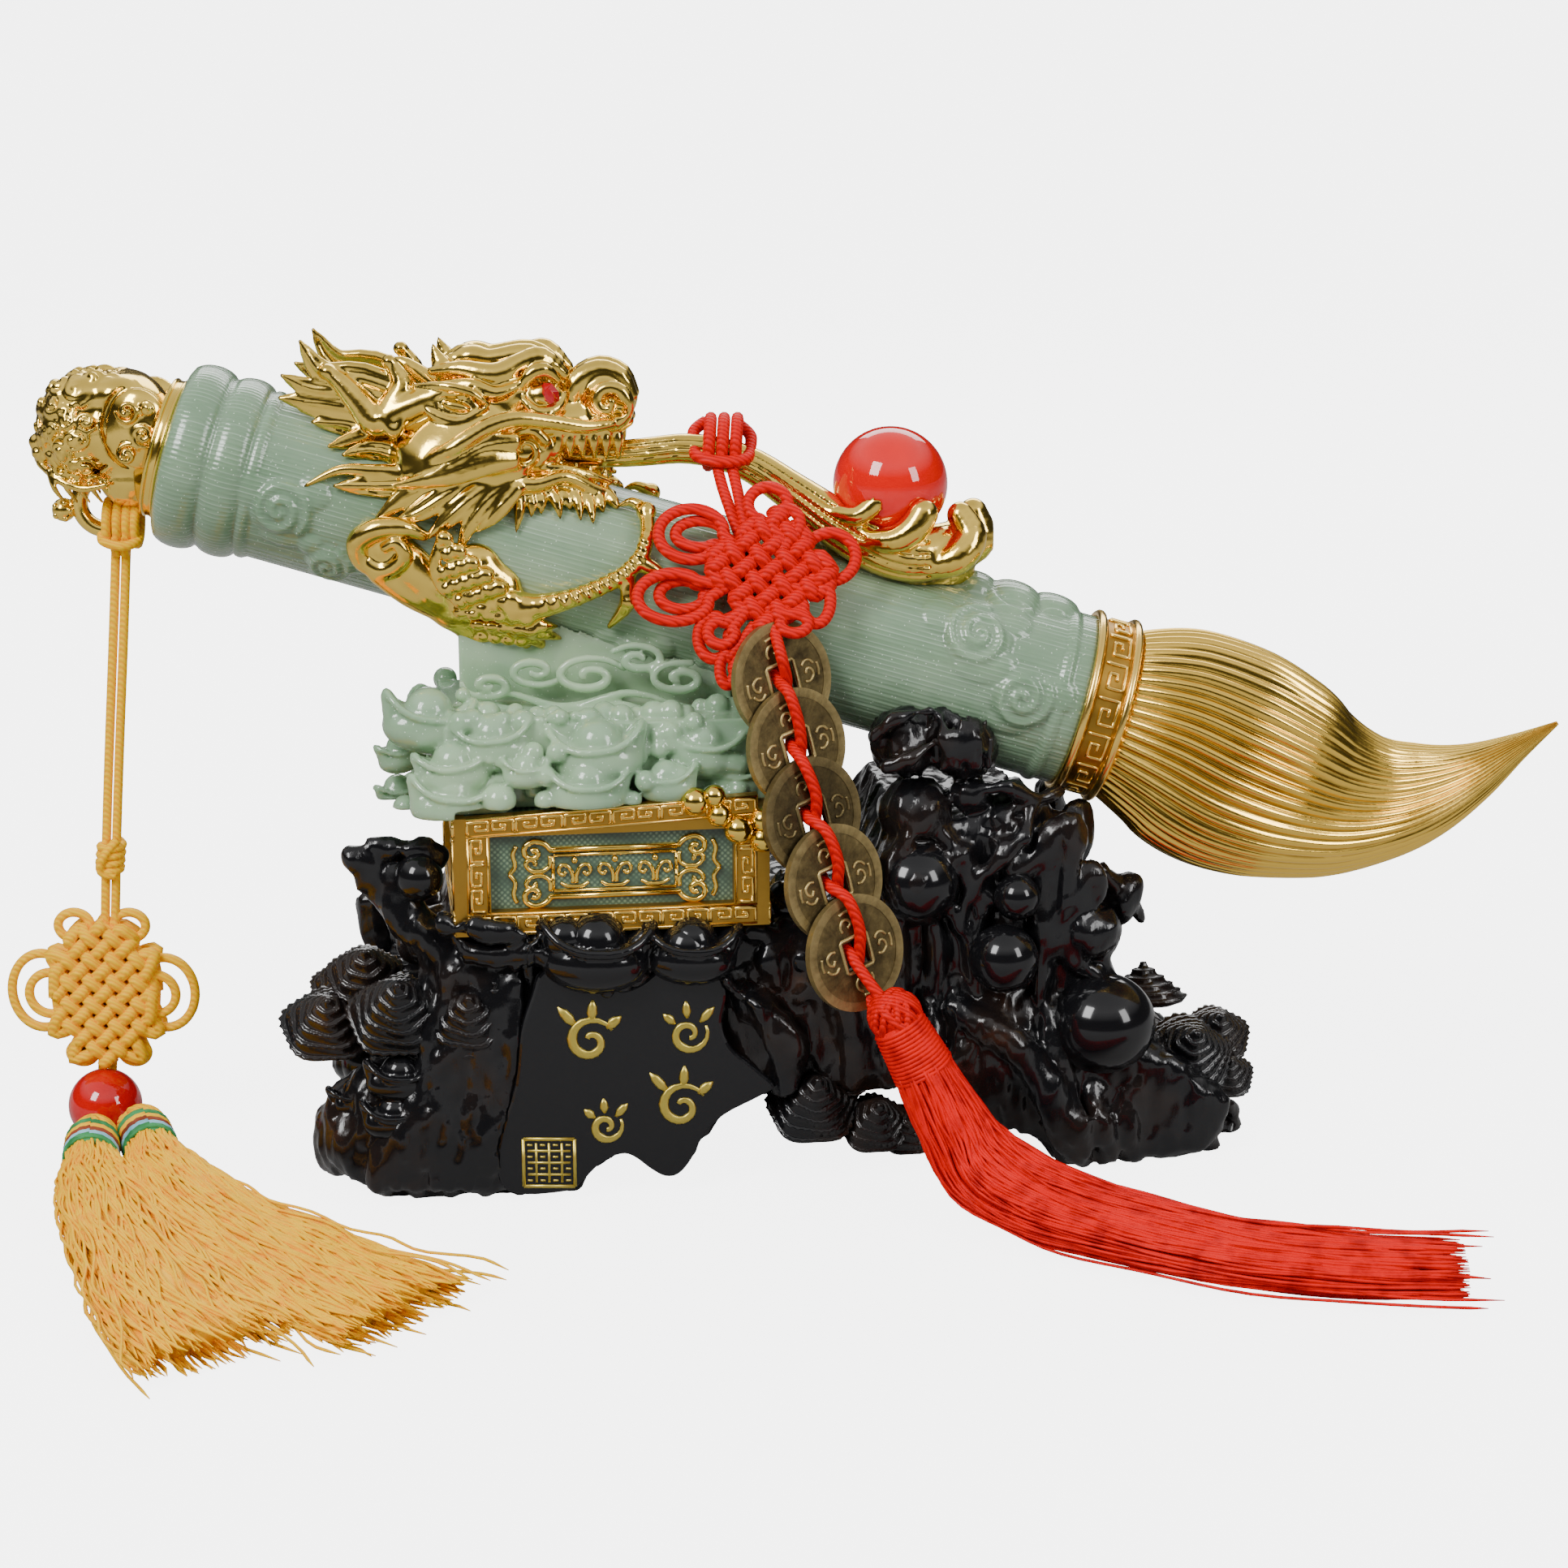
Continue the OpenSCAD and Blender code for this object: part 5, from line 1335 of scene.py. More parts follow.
    # mane: locks over the handle to the left
    for path, width, count, radius in (
            ([(-82, 166), (-92, 169.5), (-100, 170.5), (-104.6, 177.2)], 5.0, 3, 1.5),
            ([(-84, 163), (-95, 166.5), (-103, 167.6), (-108.6, 170.2)], 4.0, 3, 1.2),
            ([(-86, 161), (-96, 163.6), (-104, 164.8), (-109.2, 165.6)], 3.6, 3, 1.1),
            ([(-84, 160), (-92, 159.4), (-97, 160.2), (-102.6, 160.6)], 4.6, 3, 1.2),
            ([(-72, 160), (-82, 157.2), (-91, 157.4), (-99.4, 155.6)], 5.6, 4, 1.25),
            ([(-73, 157), (-84, 153.8), (-91, 154.8), (-96.6, 153.8)], 4.2, 3, 1.1),
            ([(-84, 163), (-93, 161.8), (-100, 162.6), (-105, 163.0)], 3.0, 2, 1.0),
            ([(-73, 155), (-82, 148.2), (-91, 147.4), (-98.6, 147.4)], 4.4, 3, 1.2)):
        block_path = [near(x, z, 1.2 if i else 3.0, 9.5) for i, (x, z) in enumerate(path)]
        lock(block, block_path, width, count, radius)
    # cheek hair that falls towards the shoulder
    for path, width, count, radius in (
            ([(-61, 156.2), (-69, 154.6), (-78, 151.2), (-87, 146.6)], 4.4, 4, 1.0),
            ([(-61, 153.6), (-68, 151.6), (-76, 147.6), (-84, 142.6)], 4.2, 4, 1.0),
            ([(-68, 152.5), (-76, 149.0), (-84, 145.2), (-91.0, 139.4)], 4.2, 4, 1.15),
            ([(-67, 150.5), (-75, 145.8), (-81, 142.0), (-86.8, 139.6)], 3.8, 3, 1.1),
            ([(-65, 149.0), (-71, 144.4), (-75.6, 140.2), (-80, 136.4)], 3.4, 3, 1.05),
            ([(-63, 147.6), (-67, 144.6), (-70.6, 140.0), (-73.6, 133.4)], 3.4, 3, 1.0),
            ([(-61, 147.0), (-64, 143.6), (-66.4, 140.8), (-69.4, 138.0)], 3.0, 3, 0.95)):
        lock(block, [near(x, z, 4.9 - 1.3 * i, 9.5) for i, (x, z) in enumerate(path)], width, count, radius)
    for path, width, count, radius in (
            ([S(-61.5, 152.6, -16.8), S(-68, 151.8, -19.6), S(-76, 149.2, -20.8), near(-86, 147.5, 3.2)], 4.0, 4, 1.1),
            ([S(-61, 156.4, -16.8), S(-67.5, 155.6, -18.8), S(-75, 151.8, -20.6), near(-84, 149.6, 3.4)], 3.6, 3, 1.0)):
        lock(block, path, width, count, radius)
    # beard: short pointed tufts under the jaw
    for x, z, tip_x, tip_z in ((-61, 147, -61.4, 137.8), (-59, 146.6, -58.2, 141.0), (-57, 146.6, -56.2, 141.6),
                               (-54.6, 147, -52.2, 140.6), (-52.6, 147, -50.2, 142.4), (-50, 147.2, -48, 140.2),
                               (-47.6, 146.6, -45.4, 139.6), (-45.4, 146.2, -43.4, 141.8), (-43, 145.8, -40.4, 142.6)):
        a = S(x, z, -13.5 + 0.35 * (x + 61))
        b = near(tip_x, tip_z, 0.8, 9.5)
        block.strand([a, (a + b) / 2 + np.array([0.6, -0.5, 0]), b], [1.7, 1.2, 0.3], 0.35, 3)


def make_head():
    block = Block((-112, -28, 128), (-31, 0, 182), 28 / 66)
    carve_head(block)
    cut_handle(block)
    return block.mirrored().piece("dragon_head_carved", gold, "gold", ["dragon_head"])


def carve_leg(block):
    # shoulder with its scroll, and the limb's smooth outer fold
    for x, z, lift, r in ((-88, 135, 0.5, 5.2), (-84, 130.5, 0.5, 5.4), (-79, 127, 0.8, 5.6), (-74, 123, 1.0, 6.2),
                          (-69, 119.5, 1.2, 6.2), (-66, 125.5, 1.2, 5.6), (-70, 130, 0.8, 5.4), (-64, 119.5, 1.2, 5.0)):
        p = near(x, z, lift, 12)
        block.blob(p, (r, 3.4, r), 2.0)
    block.strand([near(x, z, lift, 12) for x, z, lift in
                  ((-80.5, 137, 1.6), (-85, 138.6, 3.2), (-90.5, 138.2, 3.4), (-94.2, 135.6, 3.0), (-93.2, 131.6, 2.8),
                   (-88.6, 129.8, 3.4), (-84.6, 132.4, 4.0), (-86.2, 135.4, 4.4), (-88.6, 134.4, 4.6))],
                 [1.2, 2.0, 2.4, 2.4, 2.2, 2.0, 1.7, 1.4, 1.0], 0.5, 5)
    block.strand([near(x, z, 3.0, 12) for x, z in ((-90, 129), (-84, 124.6), (-77, 120.8), (-71, 116.6), (-66, 114.6))],
                 [2.4, 2.6, 2.4, 2.0, 1.4], 0.9, 4)
    block.strand([near(x, z, 4.2, 12) for x, z in ((-77, 137), (-78.4, 131), (-76.6, 126), (-71.6, 122.6), (-66.6, 121.2))],
                 [0.7, 1.3, 1.5, 1.2, 0.5], 0.3, 4)
    block.strand([near(x, z, 5.2, 12) for x, z in ((-80.4, 134), (-81.4, 128.6), (-79, 124.0), (-73.4, 120.2))],
                 [0.9, 1.1, 1.0, 0.5], 0.4, 4, cut=True)
    # scales in overlapping rows, on the thigh and under the elbow
    for row in range(5):
        for i in range(6):
            x = -76.2 + 2.75 * i + 0.4 * row
            z = 136.2 - 2.55 * i - 2.2 * row * 0.35 - 1.2 * row
            if row % 2:
                x += 1.3
                z -= 1.2
            x -= 1.05 * row
            if -77.4 < x < -57.5 and z > 118.6 - 0.2 * (x + 60):
                p = near(x, z, 4.4 + 0.5 * math.sin(i), 12)
                block.blob(p, (1.95, 1.5, 1.7), 0.25, turned(y=35))
    for row in range(4):
        for i in range(6):
            x = -73.2 + 2.7 * i - 0.5 * row + (1.3 if row % 2 else 0)
            z = 120.8 - 0.35 * i - 2.2 * row
            if z > 112.5 and x < -57.6 + 0.8 * row and x > -74 + 1.9 * row:
                block.blob(near(x, z, 5.0, 12), (1.75, 1.3, 1.35), 0.25)
    # claw tuft behind the elbow
    for tip_x, tip_z in ((-53.4, 117.8), (-52.6, 115.2), (-55.2, 112.6), (-59.2, 112.2)):
        block.strand([near(-62, 118, 3, 12), near((tip_x - 61) / 2, (tip_z + 118) / 2, 3.6, 12), near(tip_x, tip_z, 2.2, 12)],
                     [2.4, 1.7, 0.4], 0.4, 4)
    # forearm with its ribs, wrist, knuckle and claws
    arm = [(-62, 121.8), (-57, 122.0), (-50, 123.8), (-44, 126.2), (-38.8, 129.0), (-35.6, 132.6), (-34.2, 137)]
    block.strand([near(x, z, 2.6, 12) for x, z in arm], [3.6, 2.7, 2.0, 1.8, 1.8, 1.7, 1.5], 0.8, 5)
    for i in range(15):
        t = i / 14
        k = t * (len(arm) - 1) * 0.86 + 0.6
        j = min(int(k), len(arm) - 2)
        x, z = (arm[j][c] + (k - j) * (arm[j + 1][c] - arm[j][c]) for c in (0, 1))
        p = near(x, z, 3.2, 12)
        block.blob(p, (0.85, 2.2 - 0.6 * t, 2.4 - 0.8 * t), 0.3, turned(y=-25 - 35 * t))
    block.blob(near(-34.4, 142.0, 2.4, 10), (2.1, 2.0, 2.1), 0.5)
    block.strand([near(-34.2, 137, 2.4, 10), near(-34.6, 142, 2.2, 10), near(-37.4, 144.0, 1.6, 10), near(-40, 143.2, 1.0, 10)],
                 [1.6, 1.5, 1.0, 0.4], 0.5, 4)
    block.strand([near(-35.2, 131, 2.2, 12), near(-31.5, 128.4, 1.8, 12), near(-31, 124.4, 1.2, 12)], [1.9, 1.4, 0.5], 0.5, 4)
    block.strand([near(-38.5, 127.6, 2.2, 12), near(-38.6, 122.6, 2.2, 12), near(-42.4, 117.8, 1.2, 12)], [1.8, 1.7, 0.6], 0.5, 4)
    block.blob(near(-38.2, 123.0, 3.0, 12), (1.8, 1.5, 1.6), 0.4)


def make_legs():
    block = Block((-100, -31, 106), (-28, -7, 148), 0.42)
    carve_leg(block)
    cut_handle(block)
    block.piece("foreleg_near_carved", gold, "gold", ["dragon_foreleg_near"])
    far = Block.__new__(Block)
    far.voxel = block.voxel
    far.d = block.d[:, ::-1]
    far.size = block.size
    far.low = np.array([block.low[0], -(block.low[1] + block.voxel * (block.size[1] - 1)), block.low[2]])
    far.piece("foreleg_far_carved", gold, "gold", ["dragon_foreleg_far"])


make_head()
make_legs()


def make_eye_stones():
    """Two cut stones, long and narrow, each in its socket."""
    for side_name in ("near", "far"):
        low, high = (np.array(corner) * 1000 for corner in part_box("eye_gem_" + side_name))
        middle = (low + high) / 2
        out = np.array([0.0, -1.0 if side_name == "near" else 1.0, 0.0])
        lean = turned(y=-24)
        girdle = [lean @ np.array([2.0 * math.cos(a), 0, 2.9 * math.sin(a)]) + middle
                  for a in np.linspace(0, 2 * np.pi, 8, endpoint=False)]
        table = [lean @ np.array([1.0 * math.cos(a), 0, 1.6 * math.sin(a)]) + middle + 1.5 * out
                 for a in np.linspace(0.39, 0.39 + 2 * np.pi, 8, endpoint=False)]
        point = [middle - 1.2 * out + 0.02 * (corner - middle) for corner in girdle]
        parts = Parts()
        parts.grid(np.array([point, girdle, table, [t + 0.04 * out - 0.98 * (t - middle - 1.5 * out) for t in table]]))
        piece = parts.piece("eye_stone_" + side_name, red_stone, "red_stone", ["eye_gem_" + side_name])
        for face in piece.data.polygons:
            face.use_smooth = False


make_eye_stones()


# ---------- the stand ----------
# Front of the base and of the chest in the stand's own frame.
BASE_FRONT = -32.0
CHEST_LEFT, CHEST_W, CHEST_H, CHEST_FLOOR = -76.0, 60.0, 25.0, 59.0
CHEST_FRONT, CHEST_D, FRAME_T, FRAME_BAND, LID_RISE = -30.0, 52.0, 2.4, 5.0, 3.0


def drawn(x, z, depth, plane=-35.0):
    """A point drawn at x, z in the plane y = plane, slid along the line of sight to a depth of the stand.

    The result is in the stand's own frame, where its front is a plane of constant y.
    """
    start, way = CAMERA, np.array([x, plane, z]) - CAMERA
    n = np.array([-math.sin(YAW), math.cos(YAW), 0.0])
    p = start + way * (depth - n @ start) / (n @ way)
    return np.array([p[0] * math.cos(YAW) + p[1] * math.sin(YAW), n @ p, p[2]])


def to_world(points):
    """Points of the stand's frame in the model's frame."""
    c, s = math.cos(YAW), math.sin(YAW)
    return np.asarray(points) @ np.array([[c, s, 0], [-s, c, 0], [0, 0, 1]])


def stand_piece(block, name, material, slot_name, nodes=(), floor=None):
    piece = block.piece(name, material, slot_name, nodes, floor=floor)
    mesh = piece.data
    co = np.empty(len(mesh.vertices) * 3, np.float32)
    mesh.vertices.foreach_get("co", co)
    mesh.vertices.foreach_set("co", to_world(co.reshape(-1, 3)).astype(np.float32).ravel())
    mesh.update()
    return piece


def outline_distance(x, z, points):
    """Signed distance in a plane from a closed outline, negative inside."""
    best = np.full(np.broadcast(x, z).shape, 1e9, np.float32)
    inside = np.zeros(best.shape, bool)
    for (ax, az), (bx, bz) in zip(points, points[1:] + points[:1]):
        ex, ez = bx - ax, bz - az
        t = np.clip(((x - ax) * ex + (z - az) * ez) / (ex * ex + ez * ez), 0, 1)
        best = np.minimum(best, (x - ax - t * ex) ** 2 + (z - az - t * ez) ** 2)
        crosses = (az > z) != (bz > z)
        with np.errstate(divide="ignore", invalid="ignore"):
            inside ^= crosses & (x < ax + (z - az) * ex / (ez if ez else 1e-9))
    return np.where(inside, -1, 1) * np.sqrt(best)


def plate(points, y0, y1, rounding=0.0):
    """Distance function of an outline in x and z that is extruded from y0 to y1."""
    def function(x, y, z):
        flat = outline_distance(x[:, 0, :], z[0, :, :], points)[:, None, :] + rounding
        deep = np.abs(y - (y0 + y1) / 2) - (y1 - y0) / 2 + rounding
        return np.minimum(np.maximum(flat, deep), 0) + np.sqrt(
            np.maximum(flat, 0) ** 2 + np.maximum(deep, 0) ** 2) - rounding
    return function


def ingot(block, centre, w, k=0.5, lean=0.0, turn=0.0):
    """A boat-shaped ingot: a hull with raised ends, a rolled rim and a dome in the middle."""
    c = np.asarray(centre, float)
    t = turned(y=lean, z=turn)

    def put(p):
        return c + t @ np.asarray(p, float)

    block.blob(put((0, 0, -0.26 * w)), (0.98 * w, 0.66 * w, 0.58 * w), k, t)
    rim = []
    for i in range(17):
        a = 2 * math.pi * i / 16
        end = abs(math.cos(a)) ** 3
        rim.append(put((w * math.cos(a), 0.62 * w * math.sin(a), (0.05 + 0.42 * end) * w)))
    block.strand(rim, 0.075 * w + 0.1, 0.5, 2)
    for side in (-1, 1):
        block.strand([put((side * 0.62 * w, 0, -0.2 * w)), put((side * 0.95 * w, 0, 0.35 * w))],
                     [0.34 * w, 0.16 * w], 0.6, 2)
    block.blob(put((0, 0, 0.10 * w)), (0.56 * w, 0.54 * w, 0.56 * w), 0.25, t)


def make_heap():
    block = Block((-94, -40, 80), (-6, 36, 125), 0.55)
    # core under the lumps, and the block that carries the handle
    block.field(lambda x, y, z: np.maximum(np.maximum(np.abs(x + 46.5) - 33, np.abs(y + 4.5) - 22),
                                           np.abs(z - 93) - 8.6), (-82, -30, 80), (-10, 24, 106), 2.0)
    c, s = math.cos(YAW), math.sin(YAW)

    def saddle(x, y, z):
        wx, wy = x * c - y * s, x * s + y * c
        return np.maximum(np.maximum(np.abs(wx + 45.5) - 28.5, np.abs(wy) - 14.5), np.abs(z - 107) - 14)
    block.field(saddle, (-78, -27, 90), (-12, 24, 122), 1.2)
    # cloud scrolls on the block's front
    for x, z, r, turns, start, hand in ((-45.5, 112.0, 5.2, 1.5, 0.4, 1), (-35.5, 115.5, 4.0, 1.4, 2.6, -1),
                                        (-56.5, 113.0, 4.2, 1.4, 0.0, -1), (-27.0, 111.5, 4.4, 1.5, 1.2, 1),
                                        (-66.0, 110.0, 3.6, 1.4, 3.0, 1)):
        rows = []
        for i in range(int(turns * 10) + 1):
            t = i / (turns * 10)
            a = start + hand * 2 * math.pi * turns * t
            rows.append(drawn(x + 1.5 * r * (1 - 0.85 * t) * math.cos(a), z + r * (1 - 0.85 * t) * 0.8 * math.sin(a), -9.0 - 0.14 * (x + 76)))
        block.strand(rows, [0.7, 1.05, 0.7], 0.7, 2)
    for row in range(3):
        wave = [drawn(-70 + 4.6 * i, 107.0 - 2.1 * row + 1.5 * math.sin(1.1 * i + row), -8.8 - 0.64 * i) for i in range(11)]
        block.strand(wave, [0.5, 1.1, 0.5], 0.5, 3)
    # the same scrolls behind, where the block faces the other way
    for x, z, r, turns, start, hand in ((-60, 106, 4.2, 1.5, 0.4, 1), (-48, 108, 4.8, 1.4, 2.6, -1),
                                        (-34, 106, 4.2, 1.4, 0.0, 1), (-24, 104.5, 3.2, 1.3, 1.0, -1)):
        rows = []
        for i in range(int(turns * 10) + 1):
            t = i / (turns * 10)
            a = start + hand * 2 * math.pi * turns * t
            wx = x + 1.4 * r * (1 - 0.85 * t) * math.cos(a)
            rows.append((wx * c + 14.6 * s, -wx * s + 14.6 * c, z + r * (1 - 0.85 * t) * 0.8 * math.sin(a)))
        block.strand(rows, [0.9, 1.3, 0.8], 0.5, 2)
    front = -26.5
    for x, z, w, depth, lean, turn in (
            (-78.5, 103.5, 9.2, -20, 10, 8), (-65.4, 99.0, 8.2, -25, -4, 0), (-44.0, 97.0, 9.6, -27, -5, -6),
            (-22.6, 97.6, 8.6, -24, 6, -8), (-73.5, 93.2, 7.8, -27, -6, 10), (-46.0, 89.0, 8.4, -30.5, 0, 0),
            (-74.0, 86.6, 8.6, -28.5, 6, 6), (-58.6, 92.5, 5.0, -30, 0, 10), (-30.0, 90.4, 6.2, -29.5, -4, -10),
            (-16.5, 91.5, 6.2, -24, 8, -14), (-84.0, 96.5, 5.6, -16, -10, 30), (-85.0, 88.0, 5.4, -12, -6, 40)):
        ingot(block, drawn(x, z, depth), w, 0.8, lean, turn)
    for x, z, r, depth in (
            (-64.4, 86.0, 3.6, -30.6), (-57.1, 96.1, 2.2, -29), (-52.3, 96.1, 2.2, -30), (-54.7, 91.0, 2.2, -31.5),
            (-31.4, 97.0, 2.2, -27), (-26.5, 97.0, 2.4, -26.4), (-71.2, 108.1, 1.6, -18), (-34.3, 90.0, 2.3, -31.4),
            (-27.5, 91.0, 2.6, -30), (-13.8, 92.0, 2.6, -23), (-37.0, 86.0, 2.0, -31.4), (-55.0, 85.8, 2.2, -31.2),
            (-20.6, 86.6, 2.6, -29), (-26.8, 86.0, 2.2, -30), (-14.0, 86.6, 2.6, -26), (-83.6, 84.4, 2.6, -22),
            (-60.6, 104.4, 2.0, -22), (-33.2, 103.8, 2.0, -22), (-79.6, 99.0, 2.2, -24), (-38.6, 104.6, 1.5, -21.6)):
        block.blob(drawn(x, z, depth), r, 0.35)
    for i in range(8):
        block.blob(drawn(-58.0 + 2.4 * i, 101.8 + 1.9 * math.sin(0.45 * i), -25.5), 1.15, 0.2)
    for i in range(7):
        block.blob(drawn(-35.6 + 2.2 * i, 102.4 - 0.05 * i * i, -23.5), 1.1, 0.2)
    for i in range(9):
        block.blob(drawn(-66 + 1.9 * i, 94.4 - 1.2 * math.sin(0.5 * i), front - 3.4), 1.0, 0.2)
    # pearls between the ingots, and along the heap's upper edge
    pearls = np.random.default_rng(23)
    for _ in range(46):
        x, z = pearls.uniform(-76, -15), pearls.uniform(85.5, 103.5)
        block.blob(drawn(x, z, -25.6 - 0.12 * (104 - z)), pearls.uniform(1.5, 2.6), 0.35)
    for i in range(19):
        block.blob((-77 + 3.4 * i, pearls.uniform(-25, -17), 102.0 + pearls.uniform(-0.8, 0.8)),
                   pearls.uniform(1.8, 2.9), 0.5)
    # the back and the ends, in the same manner
    for x, y, z, w, turn in ((-72, 16, 92, 8, 180), (-52, 20, 90, 8.5, 176), (-30, 18, 92, 8.5, 186), (-62, 18, 99, 7.5, 170),
                             (-40, 18, 100, 8, 184), (-20, 14, 99, 6.5, 200), (-82, 2, 90, 7, 90), (-82, 6, 99, 6, 100),
                             (-13, 0, 91, 6.5, 270), (-13, -6, 99, 5.5, 262)):
        ingot(block, (x, y, z), w, 0.8, 0, turn)
    rng = np.random.default_rng(7)
    for _ in range(46):
        side = rng.uniform(0, 1)
        x, y = (rng.uniform(-80, -14), rng.uniform(17, 20)) if side < 0.6 else \
            (rng.choice([-80.5, -13.0]), rng.uniform(-20, 16))
        block.blob((x, y, rng.uniform(85, 102)), rng.uniform(1.6, 2.8), 0.3)

    def shifted(x, y, z):
        return handle_gap(x * c - y * s, x * s + y * c, z, 0.25)
    high = block.low + block.voxel * block.size
    block.field(shifted, block.low, high, 0.0, cut=True)
    # the chest's rim stands in front of the heap's foot
    rim = (CHEST_LEFT + CHEST_W / 2, CHEST_FLOOR + CHEST_H + 1.8)
    block.field(lambda x, y, z: np.maximum(np.maximum(np.abs(x - rim[0]) - 32, y - (CHEST_FRONT + 0.3)), z - rim[1]),
                (-80, -42, 80), (-12, -28, 88), 0.3, cut=True)
    block.field(lambda x, y, z: z - 84.05 + 0 * x + 0 * y, (-94, -40, 80), (-6, 36, 85), 0.0, cut=True)
    return stand_piece(block, "treasure_carved", jade, "jade", ["treasure_heap"])


BASE_OUTLINE = [
    (-101, 5), (-95, 1), (-88, 0), (-54, 0), (-50, 4.5), (-43, 8.3), (-37, 5.5), (-33, 3.5), (-29, 6),
    (-25, 13), (-20, 18), (-10, 21), (5, 19), (25, 19), (38, 14), (46, 6), (50, 0), (80, 0), (87, 5),
    (88, 13), (80, 20), (68, 30), (62, 44), (56, 56), (52, 66), (46, 76), (16, 78), (10, 68), (4, 60),
    (0, 58), (-78, 58), (-80, 50), (-78, 38), (-82, 32), (-96, 26), (-102, 15)
]
PANEL_OUTLINE = [
    (-64.5, 0.2), (-52.0, 0.2), (-48.6, 2.6), (-44.6, 6.6), (-40.4, 8.6), (-37.6, 8.0), (-34.0, 5.2), (-31.0, 3.6),
    (-28.2, 4.2), (-25.6, 7.4), (-23.0, 12.6), (-18.6, 17.4), (-11.0, 21.6), (-8.0, 24.0), (-12.0, 28.0), (-17.0, 32.5),
    (-19.0, 38.0), (-18.0, 44.0), (-19.5, 48.6), (-24.0, 50.5), (-31.0, 50.2), (-36.0, 46.6), (-40.0, 45.4),
    (-45.0, 48.0), (-51.0, 50.5), (-56.5, 49.0), (-58.5, 44.0), (-61.0, 36.0), (-62.5, 24.0), (-66.5, 10.0)
]


def make_base():
    block = Block((-112, -48, -1), (98, 50, 106), 0.82)
    low, high = (-106, -33, 0), (92, 33, 80)
    block.field(plate(BASE_OUTLINE, BASE_FRONT + 3.4, 29, 3.5), low, high, 1.0)
    B, R = -35.0, -20.0
    # the rock on the right stands back, so that its roots and leaves stand out
    block.field(lambda x, y, z: np.maximum(np.maximum(np.abs(x - 53) - 36, y + 24.2), np.abs(z - 54) - 28),
                (14, -40, 22), (92, -20, 86), 3.0, cut=True)
    # bark of the stump: ridges that spread towards the foot
    for i in range(8):
        t = i / 7
        top, foot = -79 + 16.5 * t, -92 + 27 * t
        path = [drawn(top, 52, -24 - 3 * t), drawn(top - 1 + 1.6 * math.sin(2.1 * i), 38, -27 - 2 * t),
                drawn(top - 3 + 3 * t + 1.4 * math.sin(1.3 * i + 1), 24, -29), drawn(foot + 3, 11, -30.5), drawn(foot, 2.5, -30)]
        block.strand(path, [2.2, 2.9, 3.2, 3.3, 2.6], 1.1, 4)
    for i in range(5):
        block.strand([drawn(-97 + 3 * i, 13 - i, -22 - 2 * i), drawn(-94 + 5 * i, 7, -26 - i), drawn(-90 + 7 * i, 1.5, -28)],
                     [2.4, 3.0, 2.2], 1.0, 4)
    # left foot's shoulder under the boats, and its knobs
    block.strand([drawn(-100, 9, -16), drawn(-98, 17, -18), drawn(-92, 24, -20), drawn(-84, 27, -22)], [5, 6, 5, 4], 2, 4)
    block.blob(drawn(-96, 12, -20), (7, 8, 8), 2)
    # flower at the chest's left foot
    for x, z, r, lean in ((-93, 73, 4.6, 30), (-87.5, 75.8, 4.4, 8), (-82, 75.4, 4.2, -14), (-90, 68.5, 4.6, 50),
                          (-77.5, 73.5, 3.6, -30)):
        block.blob(drawn(x, z, -22), (r, 2.2, r * 0.62), 0.7, turned(y=lean))
    block.strand([drawn(-86, 70, -20), drawn(-84, 62, -22), drawn(-78, 55, -24), drawn(-74, 48, -26)], [4, 3.6, 4.4, 4], 1.5, 4)
    block.strand([drawn(-93, 71, -20), drawn(-88, 64, -22), drawn(-83, 57, -24)], [1.6, 2.6, 3.0], 1.2, 4)
    block.strand([drawn(-76, 59.5, -31), drawn(-68, 58.4, -33), drawn(-60, 57.0, -33.5)], [2.2, 2.6, 1.6], 1, 4)
    # sill under the chest: leaves, shallow boats with domes, and berries
    for x, z, w, depth in ((-51.5, 55.6, 9.4, -32.5), (-26.2, 53.4, 9.0, -32.5), (-66.5, 54.4, 6.6, -31)):
        rows = []
        for i in range(13):
            a = math.pi * (1.05 + 0.9 * i / 12)
            rows.append(drawn(x + w * math.cos(a), z + 2.8 + 0.72 * w * math.sin(a), depth))
        block.strand(rows, [0.9, 2.2, 2.6, 2.2, 0.9], 0.8, 3)
    for x, z, r, depth in ((-44.0, 52.4, 4.7, -32.4), (-43.6, 58.6, 2.8, -32), (-39.6, 46.8, 2.2, -33), (-42.8, 45.2, 1.6, -33),
                           (-36.4, 49.4, 1.7, -33), (-59.4, 53.5, 2.4, -32.5), (-17.5, 57, 3.0, -30), (-35.0, 55.0, 2.6, -32),
                           (-12.0, 62.0, 5.0, -20), (-4.0, 66.0, 5.6, -14), (-9, 52, 4.4, -27), (-66, 58.5, 2.2, -32)):
        block.blob(drawn(x, z, depth), r, 0.4)
    for x0, z0, x1, z1 in ((-62, 50, -55, 53), (-55, 48, -47, 46), (-47, 46, -40, 41), (-40, 42, -33, 48), (-33, 49, -24, 48),
                           (-24, 48, -15, 44), (-15, 44, -9, 36), (-9, 36, -4, 27)):
        block.strand([drawn(x0, z0, -31.5), drawn((x0 + x1) / 2, (z0 + z1) / 2 + 1.8, -33), drawn(x1, z1, -31.5)],
                     [1.0, 1.9, 1.0], 0.9, 4)
